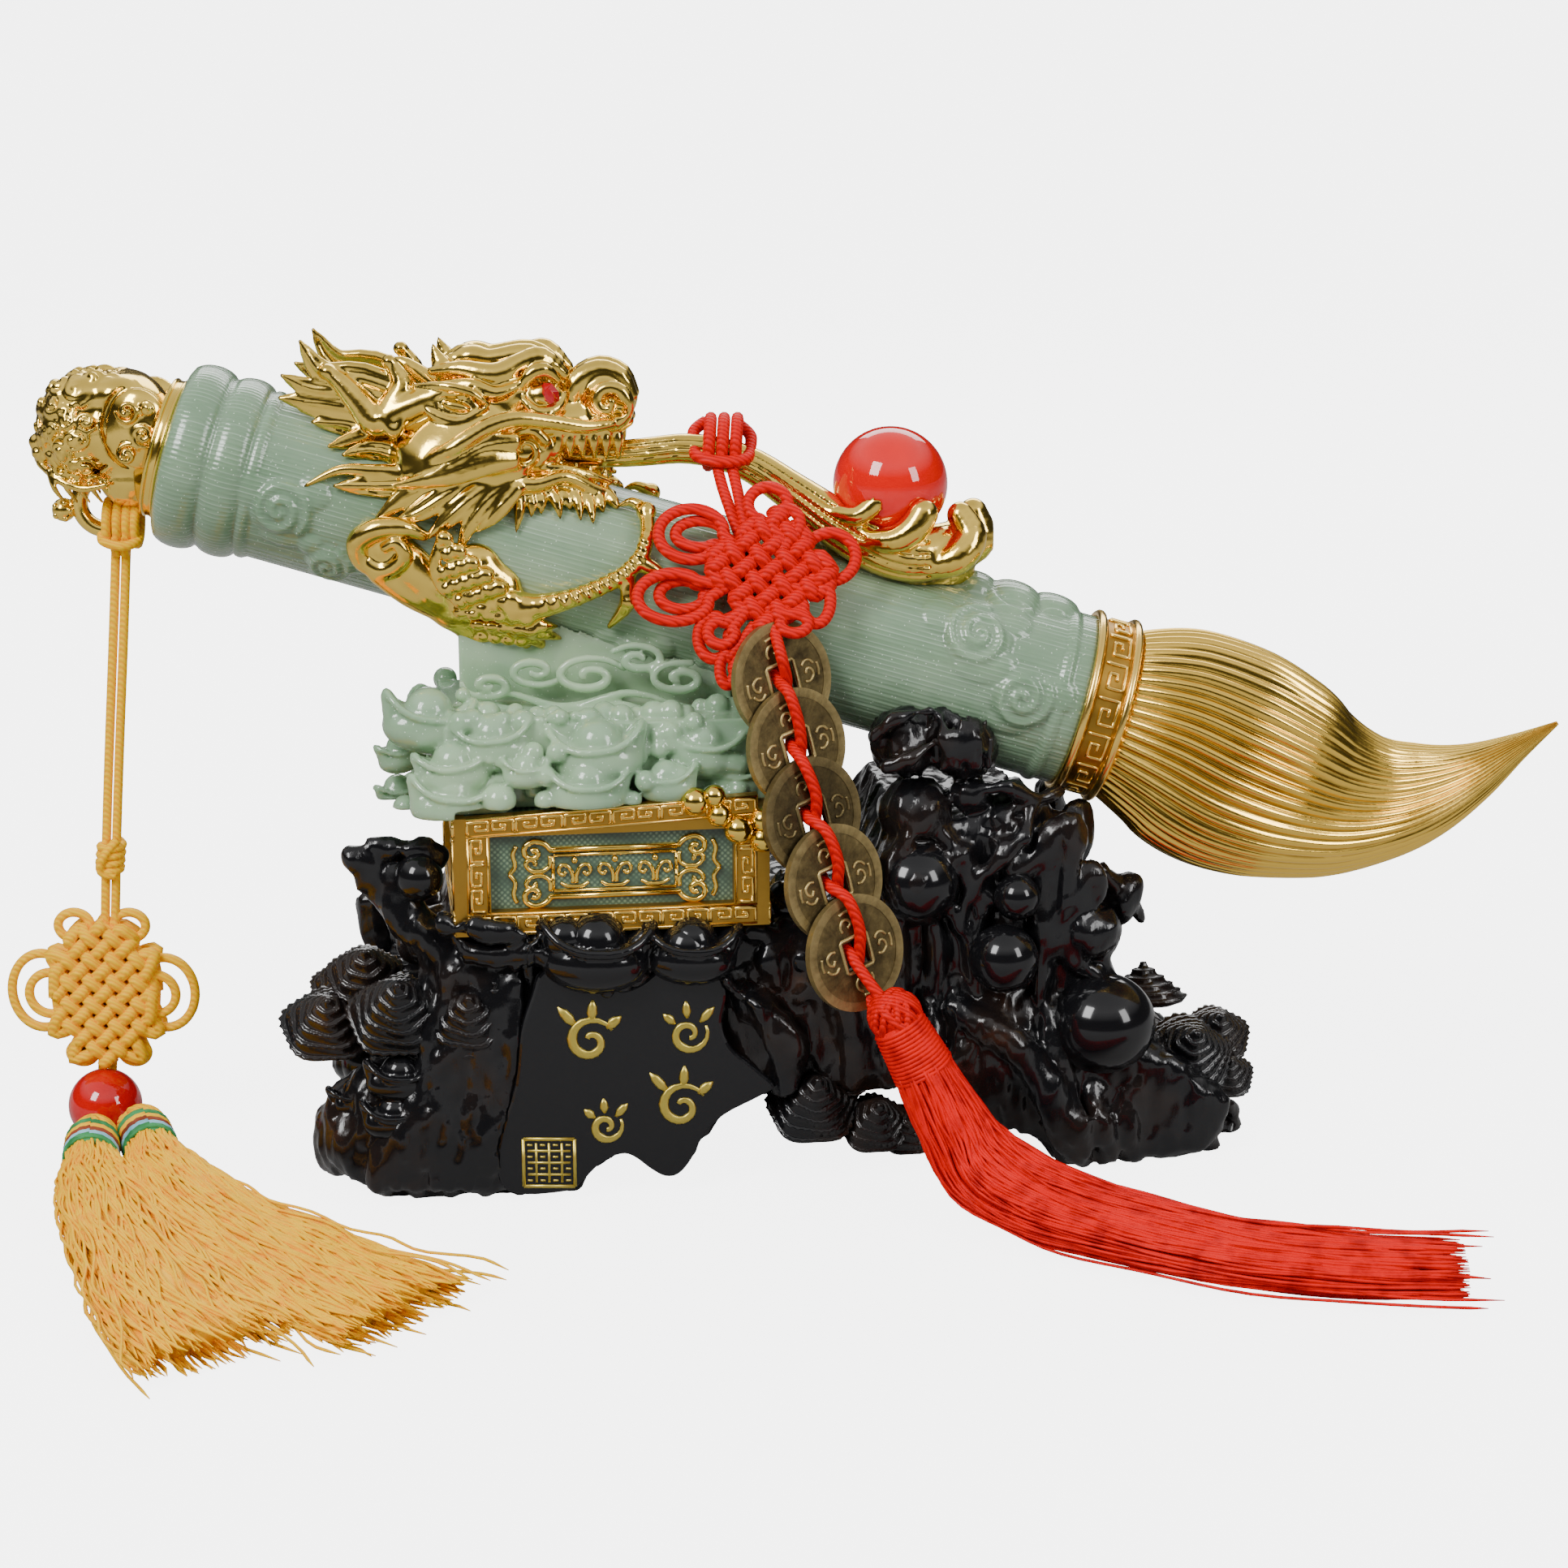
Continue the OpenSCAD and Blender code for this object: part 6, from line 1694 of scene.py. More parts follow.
    # root over the arch, with leaves that hang on it
    block.strand([drawn(-20, 60, -20), drawn(-8, 58, -23), drawn(2, 50, -26), drawn(8, 40, -27), drawn(10, 30, -26)],
                 [4, 5, 5.5, 5.5, 5], 2, 4)
    block.strand([drawn(-16, 46, -28), drawn(-10, 40, -30), drawn(-5, 32, -31), drawn(-6, 24, -30)], [3, 4, 4, 3], 1.4, 4)
    for x, z, lean in ((-12, 58, 20), (-4, 54, -10), (0, 46, -40), (-10, 48, 30)):
        block.blob(drawn(x, z, -28), (5.2, 2.2, 2.6), 0.7, turned(y=lean))
    # roots behind the tassel and down the right leg
    for i in range(9):
        x = 26 + 3.3 * i
        block.strand([drawn(x - 2, 44 - 0.6 * i, -22, R), drawn(x + 1.5 * math.sin(i), 33, -26, R), drawn(x + 1, 22, -28, R),
                      drawn(x + 3, 12 - 0.5 * i, -26, R)], [2.0, 2.6, 2.6, 2.0], 1.0, 4)
    for path, radii in (
            ([(27, 75), (32.5, 67), (35.5, 57), (33.5, 47), (36, 37)], [1.6, 2.4, 2.3, 2.0, 1.5]),
            ([(54, 77), (53.5, 67), (52.5, 57), (56, 47), (61, 42)], [2.4, 3.2, 3.0, 2.6, 1.8]),
            ([(47.5, 73), (49.5, 64), (47.5, 55), (49, 44), (46, 36)], [1.4, 2.3, 2.2, 2.0, 1.4]),
            ([(24.5, 57), (27, 49), (26, 41), (29, 33)], [1.6, 2.4, 2.2, 1.6]),
            ([(38, 73), (40, 68.5), (45, 67.5), (50, 71)], [1.2, 1.9, 1.9, 1.2]),
            ([(28, 62), (30.5, 55), (34, 52)], [1.2, 2.0, 1.2])):
        block.strand([drawn(x, z, -24.6, R) for x, z in path], radii, 0.9, 4)
    for x, z, rx, rz, lean in ((50.5, 52, 4.2, 7.2, 14), (36.5, 62, 4.6, 2.6, 42), (56, 61, 5.6, 8.4, 18), (52, 72, 6.0, 7.6, 16), (30, 70, 3.4, 2.2, -30)):
        block.blob(drawn(x, z, -24.2, R), (rx, 3.2, rz), 0.8, turned(y=lean))
    block.blob(drawn(57.6, 53.4, -23, R), (7.6, 6.0, 6.2), 1.0)
    block.strand([drawn(30, 36, -26, R), drawn(40, 30, -30, R), drawn(48, 22, -31, R), drawn(54, 10, -31, R), drawn(58, 3, -28, R)],
                 [3, 3.6, 3.6, 4, 3], 1.2, 4)
    for i in range(6):
        block.strand([drawn(55 + 5 * i, 16 + 0.5 * i, -30 + 2 * i, R), drawn(57 + 5.4 * i, 9, -32 + 2 * i, R),
                      drawn(58 + 5.6 * i, 2.5, -30 + 2 * i, R)], [2.4, 3.0, 2.4], 1.1, 4)
    block.strand([drawn(60, 17, -28, R), drawn(72, 18, -24, R), drawn(82, 18, -18, R), drawn(90, 13, -12, R)], [2.2, 2.4, 2.2, 1.8],
                 0.9, 4)
    block.blob(drawn(88, 8, -8, R), (4.5, 7, 6.5), 2)
    block.blob(drawn(62, 20, -18, R), (9, 9, 7), 3)
    # gourd, the pouch that leans on the handle, and the leaves round it
    block.blob(drawn(21.4, 79.5, -20, R), (7.6, 7.6, 7.0), 0.8)
    block.blob(drawn(21.6, 64, -23, R), (9.2, 9.2, 9.0), 0.8)
    block.blob(drawn(19.0, 94.8, -19, R), (7.4, 7.0, 7.6), 1.2)
    block.blob(drawn(25.5, 98.4, -18, R), (7.4, 6.2, 5.2), 1.4)
    block.blob(drawn(31.5, 93.6, -20, R), (7.4, 6.6, 7.2), 1.2)
    for i in range(6):
        x = 27 + 1.9 * i
        block.strand([drawn(x - 0.5, 100.4 - 0.2 * i * i * 0.4, -24.5, R), drawn(x + 0.6, 95, -27.4, R), drawn(x + 0.2, 88.6, -26, R)],
                     [0.6, 0.9, 0.6], 0.4, 4)
    block.strand([drawn(12.5, 95, -25, R), drawn(17, 99.4, -26, R), drawn(24, 101, -24.5, R)], [1.0, 1.5, 0.9], 0.5, 4)
    block.strand([drawn(14, 89, -25, R), drawn(20, 90.6, -27, R), drawn(25.6, 94.6, -26, R)], [1.0, 1.4, 0.8], 0.5, 4)
    for x, z, rx, rz, lean, depth in (
            (38, 76, 7.5, 5.0, -30, -21), (33, 83, 5.0, 3.6, 20, -21), (44, 80, 6.0, 3.6, 10, -19), (49, 72, 5.4, 7.6, 10, -18),
            (54, 73, 4.8, 9.4, 16, -16), (43, 68, 4.0, 6.0, 30, -23), (58, 52.5, 7.6, 7.6, 20, -21), (52, 57, 6.0, 7.0, -10, -22),
            (65, 60, 4.2, 7.2, 28, -14), (48, 46, 7.0, 7.0, 0, -20), (31, 50, 7.0, 6.0, 0, -21), (30, 40, 7.0, 5.0, 0, -22)):
        block.blob(drawn(x, z, depth, R), (rx, 4.2, rz), 1.0, turned(y=lean))
    block.strand([drawn(46, 82, -22, R), drawn(44, 74, -26, R), drawn(38, 68, -27, R), drawn(34, 62, -26, R), drawn(31, 55, -25, R)],
                 [1.4, 2.0, 1.8, 1.6, 1.2], 0.7, 4)
    block.strand([drawn(35, 84, -24, R), drawn(41, 84.6, -24, R), drawn(47, 82, -22, R), drawn(52, 84, -19, R)], [1.1, 1.8, 1.6, 1.0],
                 0.6, 4)
    block.blob(drawn(37.6, 76, -25.6, R), (2.6, 1.6, 2.0), 0.4, cut=True)
    block.blob(drawn(43.4, 78.4, -24, R), (2.0, 1.4, 1.4), 0.4, cut=True)
    block.strand([drawn(61, 66, -16, R), drawn(66, 61, -14, R), drawn(69.4, 55.6, -12, R)], [2.0, 2.4, 0.8], 0.8, 4)
    # the back: roots, knots of wood and pebbles
    rng = np.random.default_rng(11)
    for i in range(17):
        x = -92 + 10.2 * i
        top = 50 if x < 0 else min(70, 46 + x * 0.5)
        if x > 62:
            top = 22
        block.strand([(x + rng.uniform(-4, 4), 24, top), (x + rng.uniform(-5, 5), 28, top * 0.66),
                      (x + rng.uniform(-5, 5), 29, top * 0.36 + (12 if -22 < x < 45 else 0)),
                      (x + rng.uniform(-3, 3), 28, 3 if not -30 < x < 48 else 21)],
                     [3.0, 4.0, 3.8, 3.0], 1.4, 4)
    for x, y, z, r in ((-62, 27, 44, 9), (-20, 28, 48, 8), (20, 25, 62, 10), (52, 24, 34, 11), (-88, 24, 20, 8), (34, 27, 44, 6.5),
                       (-42, 28, 52, 6), (-96, 2, 22, 8), (84, 4, 12, 8), (60, 8, 44, 8), (-83, 4, 48, 7)):
        block.blob((x, y, z), r, 1.0)
    block.rough(0.28, 7, 3)
    block.rough(0.10, 2.6, 5)
    block.rough(0.40, 4.4, 9, upright=0.14)
    # flat where the panel lies, and cleared for chest and brush
    block.field(plate(PANEL_OUTLINE_STAND(), -40, BASE_FRONT + 0.6, 0), (-72, -42, -2), (0, -30, 56), 0.4, cut=True)
    block.field(lambda x, y, z: np.maximum(np.abs(x - CHEST_LEFT - CHEST_W / 2) - CHEST_W / 2 - FRAME_T - 0.1,
                                           np.maximum(CHEST_FLOOR - 0.02 - z, CHEST_FRONT - 3.2 - y)),
                (-82, -38, 57), (-10, 50, 106), 0.0, cut=True)
    c, s = math.cos(YAW), math.sin(YAW)

    def brush_room(x, y, z):
        wx, wy = x * c - y * s, x * s + y * c
        return np.minimum(handle_gap(wx, wy, z, 0.3), 50)
    high = block.low + block.voxel * block.size
    block.field(brush_room, block.low, high, 0.0, cut=True)
    block.field(lambda x, y, z: z - 0.0 + 0 * x + 0 * y, (-112, -48, -1), (98, 50, 1), 0.0, cut=True)
    return stand_piece(block, "base_carved", black_bark, "black_resin", ["base"], floor=0.0)


def PANEL_OUTLINE_STAND():
    """The panel's outline, which is drawn from the front, in the stand's own frame."""
    return [tuple(drawn(x, z, BASE_FRONT)[[0, 2]]) for x, z in PANEL_OUTLINE]


def flat_plate(parts, outline, y0, y1, bevel=0.5):
    """A thin plate of an outline in the stand's x and z, its front edge rounded."""
    p = np.array(outline)
    centre = p.mean(0)
    rows = []
    for y, inset in ((y1, 0.0), (y0 + bevel, 0.0), (y0 + 0.3 * bevel, 0.3 * bevel), (y0, bevel)):
        d = np.roll(p, -1, 0) - np.roll(p, 1, 0)
        n = np.stack([-d[:, 1], d[:, 0]], -1)
        n /= np.linalg.norm(n, axis=1)[:, None]
        q = p + n * inset
        rows.append(np.stack([q[:, 0], np.full(len(q), y), q[:, 1]], -1))
    del centre
    return np.array(rows)


def stand_tube(parts, points, radius, sides=6, ref=(0, 1, 0), flat=1.0, steps=1):
    """A tube whose points are given in the stand's own frame."""
    path = spline(points, steps) if steps > 1 else np.array(points, float)
    parts.tube(to_world(path), radius, sides, ref=to_world(np.array([ref]))[0], flat=flat)


def make_panel():
    """The smooth plate on the base's front."""
    outline = spline(PANEL_OUTLINE_STAND(), 4, closed=True)
    rows = flat_plate(None, outline, BASE_FRONT - 0.6, BASE_FRONT + 1.2, 0.7)
    n = rows.shape[1]
    verts = rows.reshape(-1, 3)
    centre = np.array([[-42.0, BASE_FRONT - 0.6, 26.0], [-42.0, BASE_FRONT + 1.2, 26.0]])
    verts = np.vstack([verts, centre])
    faces = [grid_faces(4, n)]
    last = 3 * n + np.arange(n)
    faces.append(np.stack([last, np.roll(last, -1), np.full(n, 4 * n), np.full(n, 4 * n)], -1))
    first = np.arange(n)
    faces.append(np.stack([np.roll(first, -1), first, np.full(n, 4 * n + 1), np.full(n, 4 * n + 1)], -1))
    tri = np.vstack([faces[1][:, :3], faces[2][:, :3]])
    quad = faces[0]
    tri = np.vstack([tri, quad[:, :3], quad[:, [0, 2, 3]]])
    make_piece("base_panel", to_world(verts), tri, black_gloss, smooth=False)


def motif_scroll(parts, x, z, size, hand, thick):
    """A plain scroll with a leaf, drawn on the panel."""
    y = BASE_FRONT - 0.75
    turns = 1.3
    rows = []
    for i in range(24):
        t = i / 23
        a = 0.5 + hand * 2 * math.pi * turns * t
        r = size * (1 - 0.82 * t)
        p = drawn(x + r * math.cos(a), z + r * math.sin(a), BASE_FRONT)
        rows.append((p[0], y, p[2]))
    stand_tube(parts, rows, np.interp(np.linspace(0, 1, 24), [0, 0.3, 1], [0.3 * thick, thick, 0.5 * thick]), 8, flat=0.4)
    for lean, length in ((2.3, 1.5), (1.5, 1.25), (0.7, 1.1)):
        a = lean if hand > 0 else math.pi - lean
        line = []
        for t in (0, 0.35, 0.7, 1.0):
            p = drawn(x + size * (0.95 + length * 0.8 * t) * math.cos(a) * 0.9,
                      z + size * (0.95 + length * 0.8 * t) * math.sin(a) * 0.9, BASE_FRONT)
            line.append((p[0], y, p[2]))
        stand_tube(parts, line, np.array([0.3, 1.0, 0.85, 0.15]) * thick, 8, flat=0.4)


def make_panel_motif():
    parts = Parts()
    for x, z, size, hand, thick in ((-46.5, 34.0, 5.2, 1, 1.15), (-43.5, 15.0, 3.6, -1, 0.95), (-26.0, 35.5, 4.2, -1, 0.95),
                                    (-27.5, 19.5, 5.2, 1, 1.1)):
        motif_scroll(parts, x, z, size, hand, thick)
    # latticed square
    y = BASE_FRONT - 0.75

    def at(x, z):
        p = drawn(x, z, BASE_FRONT)
        return (p[0], y, p[2])
    x0, x1, z0, z1 = -61.0, -50.2, 1.6, 12.2
    corners = [at(x0, z0), at(x1, z0), at(x1, z1), at(x0, z1)]
    for a, b in zip(corners, corners[1:] + corners[:1]):
        stand_tube(parts, [a, b], 0.42, 6, flat=0.5)
    for i in range(1, 4):
        t = i / 4
        stand_tube(parts, [at(x0 + t * (x1 - x0), z0 + 0.9), at(x0 + t * (x1 - x0), z1 - 0.9)], 0.30, 6, flat=0.5)
        stand_tube(parts, [at(x0 + 0.9, z0 + t * (z1 - z0)), at(x1 - 0.9, z0 + t * (z1 - z0))], 0.30, 6, flat=0.5)
    for i in range(4):
        for j in range(4):
            cx, cz = x0 + (i + 0.5) / 4 * (x1 - x0), z0 + (j + 0.5) / 4 * (z1 - z0)
            stand_tube(parts, [at(cx - 0.55, cz), at(cx + 0.55, cz)], 0.26, 6, flat=0.5)
    parts.piece("panel_motif", gold_paint, "gold")


def fungus(parts, centre, radius, tall, rings, lean=0.0, squash=0.75, start=0.0, span=2 * math.pi):
    """A shelf fungus: terraces that rise to a knob, each with a beaded, wavy edge."""
    rows = []
    cols = 96
    angle = start + np.linspace(0, span, cols, endpoint=False)
    steps = rings * 10
    for i in range(steps + 1):
        t = i / steps
        lap = t * rings
        part = lap - math.floor(lap)
        r = radius * (1 - 0.93 * (math.floor(lap) + part ** 0.55) / rings)
        h = tall * (math.floor(lap) + part ** 2.2 * 1.0) / rings
        edge = 1 - min(1, 3.5 * part)
        wave = 1 + 0.05 * np.sin(5 * angle + lap) + 0.035 * edge * np.cos(30 * angle)
        z = h + 0.30 * edge * np.abs(np.sin(15 * angle)) * (0.5 if part > 0 else 0) + 0 * angle
        rows.append(np.stack([r * wave * np.cos(angle), r * wave * np.sin(angle) * squash, z], -1))
    under = []
    for share, h in ((0.25, -0.10), (0.7, -0.22), (0.97, -0.10)):
        wave = 1 + 0.05 * np.sin(5 * angle)
        under.append(np.stack([radius * share * wave * np.cos(angle), radius * share * wave * np.sin(angle) * squash,
                               np.full(cols, h * tall)], -1))
    rings_all = np.array(under + rows)
    rings_all = rings_all @ turned(x=lean).T + np.asarray(centre, float)
    parts.grid(to_world(rings_all.reshape(-1, 3)).reshape(rings_all.shape))


def make_fungi():
    parts = Parts()
    B, R = -35.0, -20.0
    for x, z, r, tall, rings, depth, lean, plane in (
            (-86.5, 39.5, 10.5, 12, 6, -27, 12, B), (-101, 37.5, 10.0, 8, 5, -20, 6, B), (-72.0, 38.0, 9.6, 9.5, 5, -29, 12, B),
            (-93.0, 48.5, 8.0, 7, 4, -18, 4, B), (-97, 46, 7.5, 7, 4, -8, 0, B), (-66.5, 44.0, 5.6, 5, 4, -29, 14, B),
            (0.0, 19.5, 9.8, 10, 6, -29, 10, B), (13.0, 15.5, 7.6, 8, 5, -29, 12, B), (6.5, 26.5, 6.0, 5, 4, -27, 10, B),
            (20.0, 14.0, 6.5, 6, 4, -27, 12, B),
            (80.0, 25.5, 10.5, 10, 6, -18, 14, R), (86.0, 30.0, 8.0, 7, 5, -10, 8, R), (75.0, 19.5, 9.0, 7, 5, -24, 16, R),
            (88.5, 21.0, 6.5, 6, 4, -14, 12, R)):
        fungus(parts, drawn(x, z, depth + 3.0, plane), r, tall * 1.25, rings, lean + 34, 0.9)
    for x, y, z, r, tall in ((-88, 20, 34, 10, 9), (-78, 24, 42, 8, 7), (30, 25, 34, 11, 9), (78, 12, 24, 10, 8), (-98, 6, 38, 9, 7),
                             (8, 27, 27, 9, 8)):
        fungus(parts, (x, y, z), r, tall, 5, -8 if y > 10 else 0)
    parts.piece("base_fungi", black_bark, "black_resin")


def make_base_balls():
    """The polished pebbles and pearls of the base, and the boats on its left foot."""
    parts = Parts()
    B, R = -35.0, -20.0
    for x, z, r, depth, plane in (
            (61.8, 32.6, 11.6, -25, R), (40.6, 47.0, 7.4, -29, R), (43.2, 60.6, 4.9, -28, R), (21.6, 64, 9.5, -23.4, R),
            (-81.2, 69.5, 5.0, -24, B), (-44.0, 52.6, 5.0, -32.8, B), (-43.4, 58.8, 3.1, -32.4, B), (-51.6, 56.4, 4.6, -32.6, B),
            (-26.2, 54.2, 5.6, -32.6, B), (-39.6, 46.8, 2.3, -33.4, B), (-36.2, 49.6, 1.8, -33.4, B), (-42.8, 44.8, 1.5, -33.4, B),
            (-5.0, 63.5, 5.6, -20, B), (-12.0, 60.0, 4.0, -25, B), (-2.0, 52.0, 3.6, -27, B)):
        squash = 0.94 if r > 9 else 1.0
        parts.ball(to_world(drawn(x, z, depth, plane)), (r, r * 0.95, r * squash), 28, 40)
    for x, y, z, r in ((-62, 29, 44, 8), (-20, 30, 48, 7), (20, 28, 60, 9), (54, 26, 32, 10), (-96, 0, 22, 7), (36, 28, 44, 6)):
        parts.ball(to_world(np.array([x, y, z])), r, 24, 36)
    parts.piece("base_pebbles", black_gloss, "black_resin")
    block = Block((-112, -46, 8), (-72, -8, 38), 0.5)
    ingot(block, drawn(-86.6, 26.2, -27.5), 7.0, 0.5, 4, 6)
    ingot(block, drawn(-88.0, 17.4, -29), 6.6, 0.5, 2, 4)
    ingot(block, drawn(-95.5, 22.0, -20), 6.0, 0.5, -6, 14)
    stand_piece(block, "base_boats", black_gloss, "black_resin")
    block = Block((-64, -48, 34), (-10, -18, 66), 0.5)
    ingot(block, drawn(-45.0, 54.4, -32.0), 11.6, 0.5, 4, 0)
    ingot(block, drawn(-25.2, 54.6, -32.0), 9.8, 0.5, 3, -4)
    ingot(block, drawn(-62.0, 54.8, -32.0), 6.4, 0.5, -4, 8)
    stand_piece(block, "base_sill_boats", black_gloss, "black_resin")


make_heap()
make_base()
make_panel()
make_panel_motif()
make_fungi()
make_base_balls()


# ---------- finial and sceptre ----------
def seen(x, z, plane, y):
    """A point read at x, z in the given plane, slid along the line of sight to depth y."""
    t = (y - CAMERA[1]) / (plane - CAMERA[1])
    return CAMERA + t * (np.array([x, plane, z]) - CAMERA)


def curl(block, centre, normal, radius, turns, thick, hand, spin, rise=0.8, k=0.45):
    """A snail curl lying on a surface with the given normal."""
    n = np.asarray(normal, float)
    n = n / np.linalg.norm(n)
    s = np.cross(n, (0.35, 0.2, 0.9))
    s /= np.linalg.norm(s)
    u = np.cross(n, s)
    rows = []
    count = int(turns * 9)
    for i in range(count + 1):
        t = i / count
        a = spin + hand * 2 * math.pi * turns * t
        r = radius * (1 - 0.86 * t)
        rows.append(np.asarray(centre) + r * (math.cos(a) * s + math.sin(a) * u) + n * (rise * (t - 0.25)))
    block.strand(rows, [thick * 0.7, thick, thick * 1.15], k, 2)


def make_finial():
    """A curly lion's head with a snout to the left, a rounded haunch behind it and a hanging ring."""
    block = Block((-167, -18, 130), (-129.5, 0.01, 173), 0.3)
    for centre, radii in (((-143, 0, 157.5), (9.5, 11, 11.5)), ((-151.5, 0, 157), (9.5, 10.2, 10)),
                          ((-151, -4, 164.5), (5.5, 5, 4.5)), ((-144.5, -4, 165), (5.5, 5.5, 4)),
                          ((-157.5, 0, 153.5), (5.2, 5.8, 4.8)), ((-154, 0, 148.5), (5.5, 6.5, 4.5)),
                          ((-143, 0, 147), (7, 8, 6.5)), ((-156.5, -5, 159.5), (3.6, 3.6, 4))):
        block.blob(centre, radii, 1.6)
    # haunch disc with its scrolls, set off by a groove
    block.blob((-139.5, -8.6, 158.5), (6.6, 3.4, 8.6), 0.5)
    ring = [(-139.5 + 6.9 * math.cos(a), -9.6 + 0.9 * abs(math.sin(a)), 158.5 + 8.8 * math.sin(a))
            for a in np.linspace(0, 2 * np.pi, 21)]
    block.strand(ring, 0.75, 0.3, 2, cut=True)
    for (x, z), r, hand, spin in (((-141, 162.5), 2.6, 1, 0.4), ((-138, 157.5), 2.5, -1, 2.2),
                                  ((-141.5, 153.5), 2.4, 1, 4.0), ((-136.8, 163), 1.7, -1, 1.0)):
        curl(block, (x, -12.0, z), (-0.05, -1, 0.1), r, 1.5, 0.6, hand, spin)
    for i in range(5):
        block.strand([(-136.5 + 0.5 * i, -11.2 + 0.3 * i, 153.5 - 0.4 * i),
                      (-134.6 + 0.4 * i, -10.8 + 0.3 * i, 160.5 - 0.5 * i)], 0.3, 0.2, 1)
    # curls all over the head, thicker on its crown
    count = 64
    for i in range(count):
        a = i * 2.399963
        c = 1 - 2 * (i + 0.5) / count
        s = math.sqrt(1 - c * c)
        n = np.array([c, -abs(s * math.cos(a)), s * math.sin(a)])
        if n[0] > 0.45 or (n[0] > 0.05 and abs(n[2]) < 0.6):
            continue
        at = np.array([-150.5, 0, 157.2]) + n * np.array([11.2, 10.6, 11.2])
        crown = n[2] > 0.45
        curl(block, at, n, 3.0 if crown else 2.3, 1.5, 0.85 if crown else 0.62, 1 if i % 2 else -1, a,
             1.3 if crown else 0.8)
    for centre, r in (((-152.6, -4.2, 167), 2.0), ((-149, -5, 167.8), 1.7), ((-145.4, -4.6, 167.2), 2.0),
                      ((-142, -5, 166), 1.7), ((-156.8, -5.2, 163.2), 1.6)):
        curl(block, centre, (-0.3, -0.8, 0.8), r + 0.8, 1.4, 0.9, 1, centre[0], 1.5)
    # snout, nostril, eye, cheek and beard
    curl(block, (-161.4, -2.6, 152.6), (-0.8, -0.7, 0.2), 2.2, 1.3, 1.0, 1, 0.5, 1.0)
    block.blob((-162, -1.6, 154.6), (2.0, 2.2, 1.8), 0.7)
    block.blob((-156.4, -5.4, 149.4), (2.0, 1.5, 1.8), 0.4)
    block.blob((-156.6, -6.7, 149.4), 0.8, 0.2, cut=True)
    block.strand([(-161.5, -3.2, 150.2), (-157, -6.2, 147.2), (-152, -7.2, 145.6), (-147, -8, 146.5)],
                 [0.8, 0.9, 0.6], 0.4)
    for i in range(7):
        x = -159 + 2.6 * i
        block.strand([(x, -5.6, 149 - 0.5 * i), (x + 0.9, -6.4, 145.5), (x + 2.6, -5.2, 142.5)],
                     [0.8, 0.6, 0.3], 0.35)
    block = block.mirrored()
    block.piece("finial_carved", gold, "gold", ["finial"])
    parts = Parts()
    rim = [along(-3.6), along(-3.2), along(-0.5), along(-0.05)]
    parts.tube(rim, [13.2, 14.6, 14.6, 14.2], 72)
    for u in (-2.9, -0.9):
        parts.loop([along(u, 14.5 * math.cos(a), 14.5 * math.sin(a)) for a in np.linspace(0, 2 * np.pi, 90, False)],
                   0.45, 8, ref=AXIS)
    ring = [(-149 + 5.5 * math.cos(a), 0, 141.3 + 5.6 * math.sin(a)) for a in np.linspace(0, 2 * np.pi, 48, False)]
    parts.loop(ring, 1.75, 14, flat=1.35)
    parts.ball((-157.8, 0, 139.9), (2.5, 2.7, 2.5), 16, 24)
    for i in range(5):
        a = 2 * math.pi * i / 5
        parts.ball((-157.8 + 1.7 * math.cos(a), -1.6, 139.9 + 1.7 * math.sin(a)), 0.75, 8, 12)
    parts.tube([(-157, 0, 140.2), (-154.6, 0, 141.2)], 1.6, 12)
    parts.piece("finial_ring_carved", gold, "gold", ["finial"])


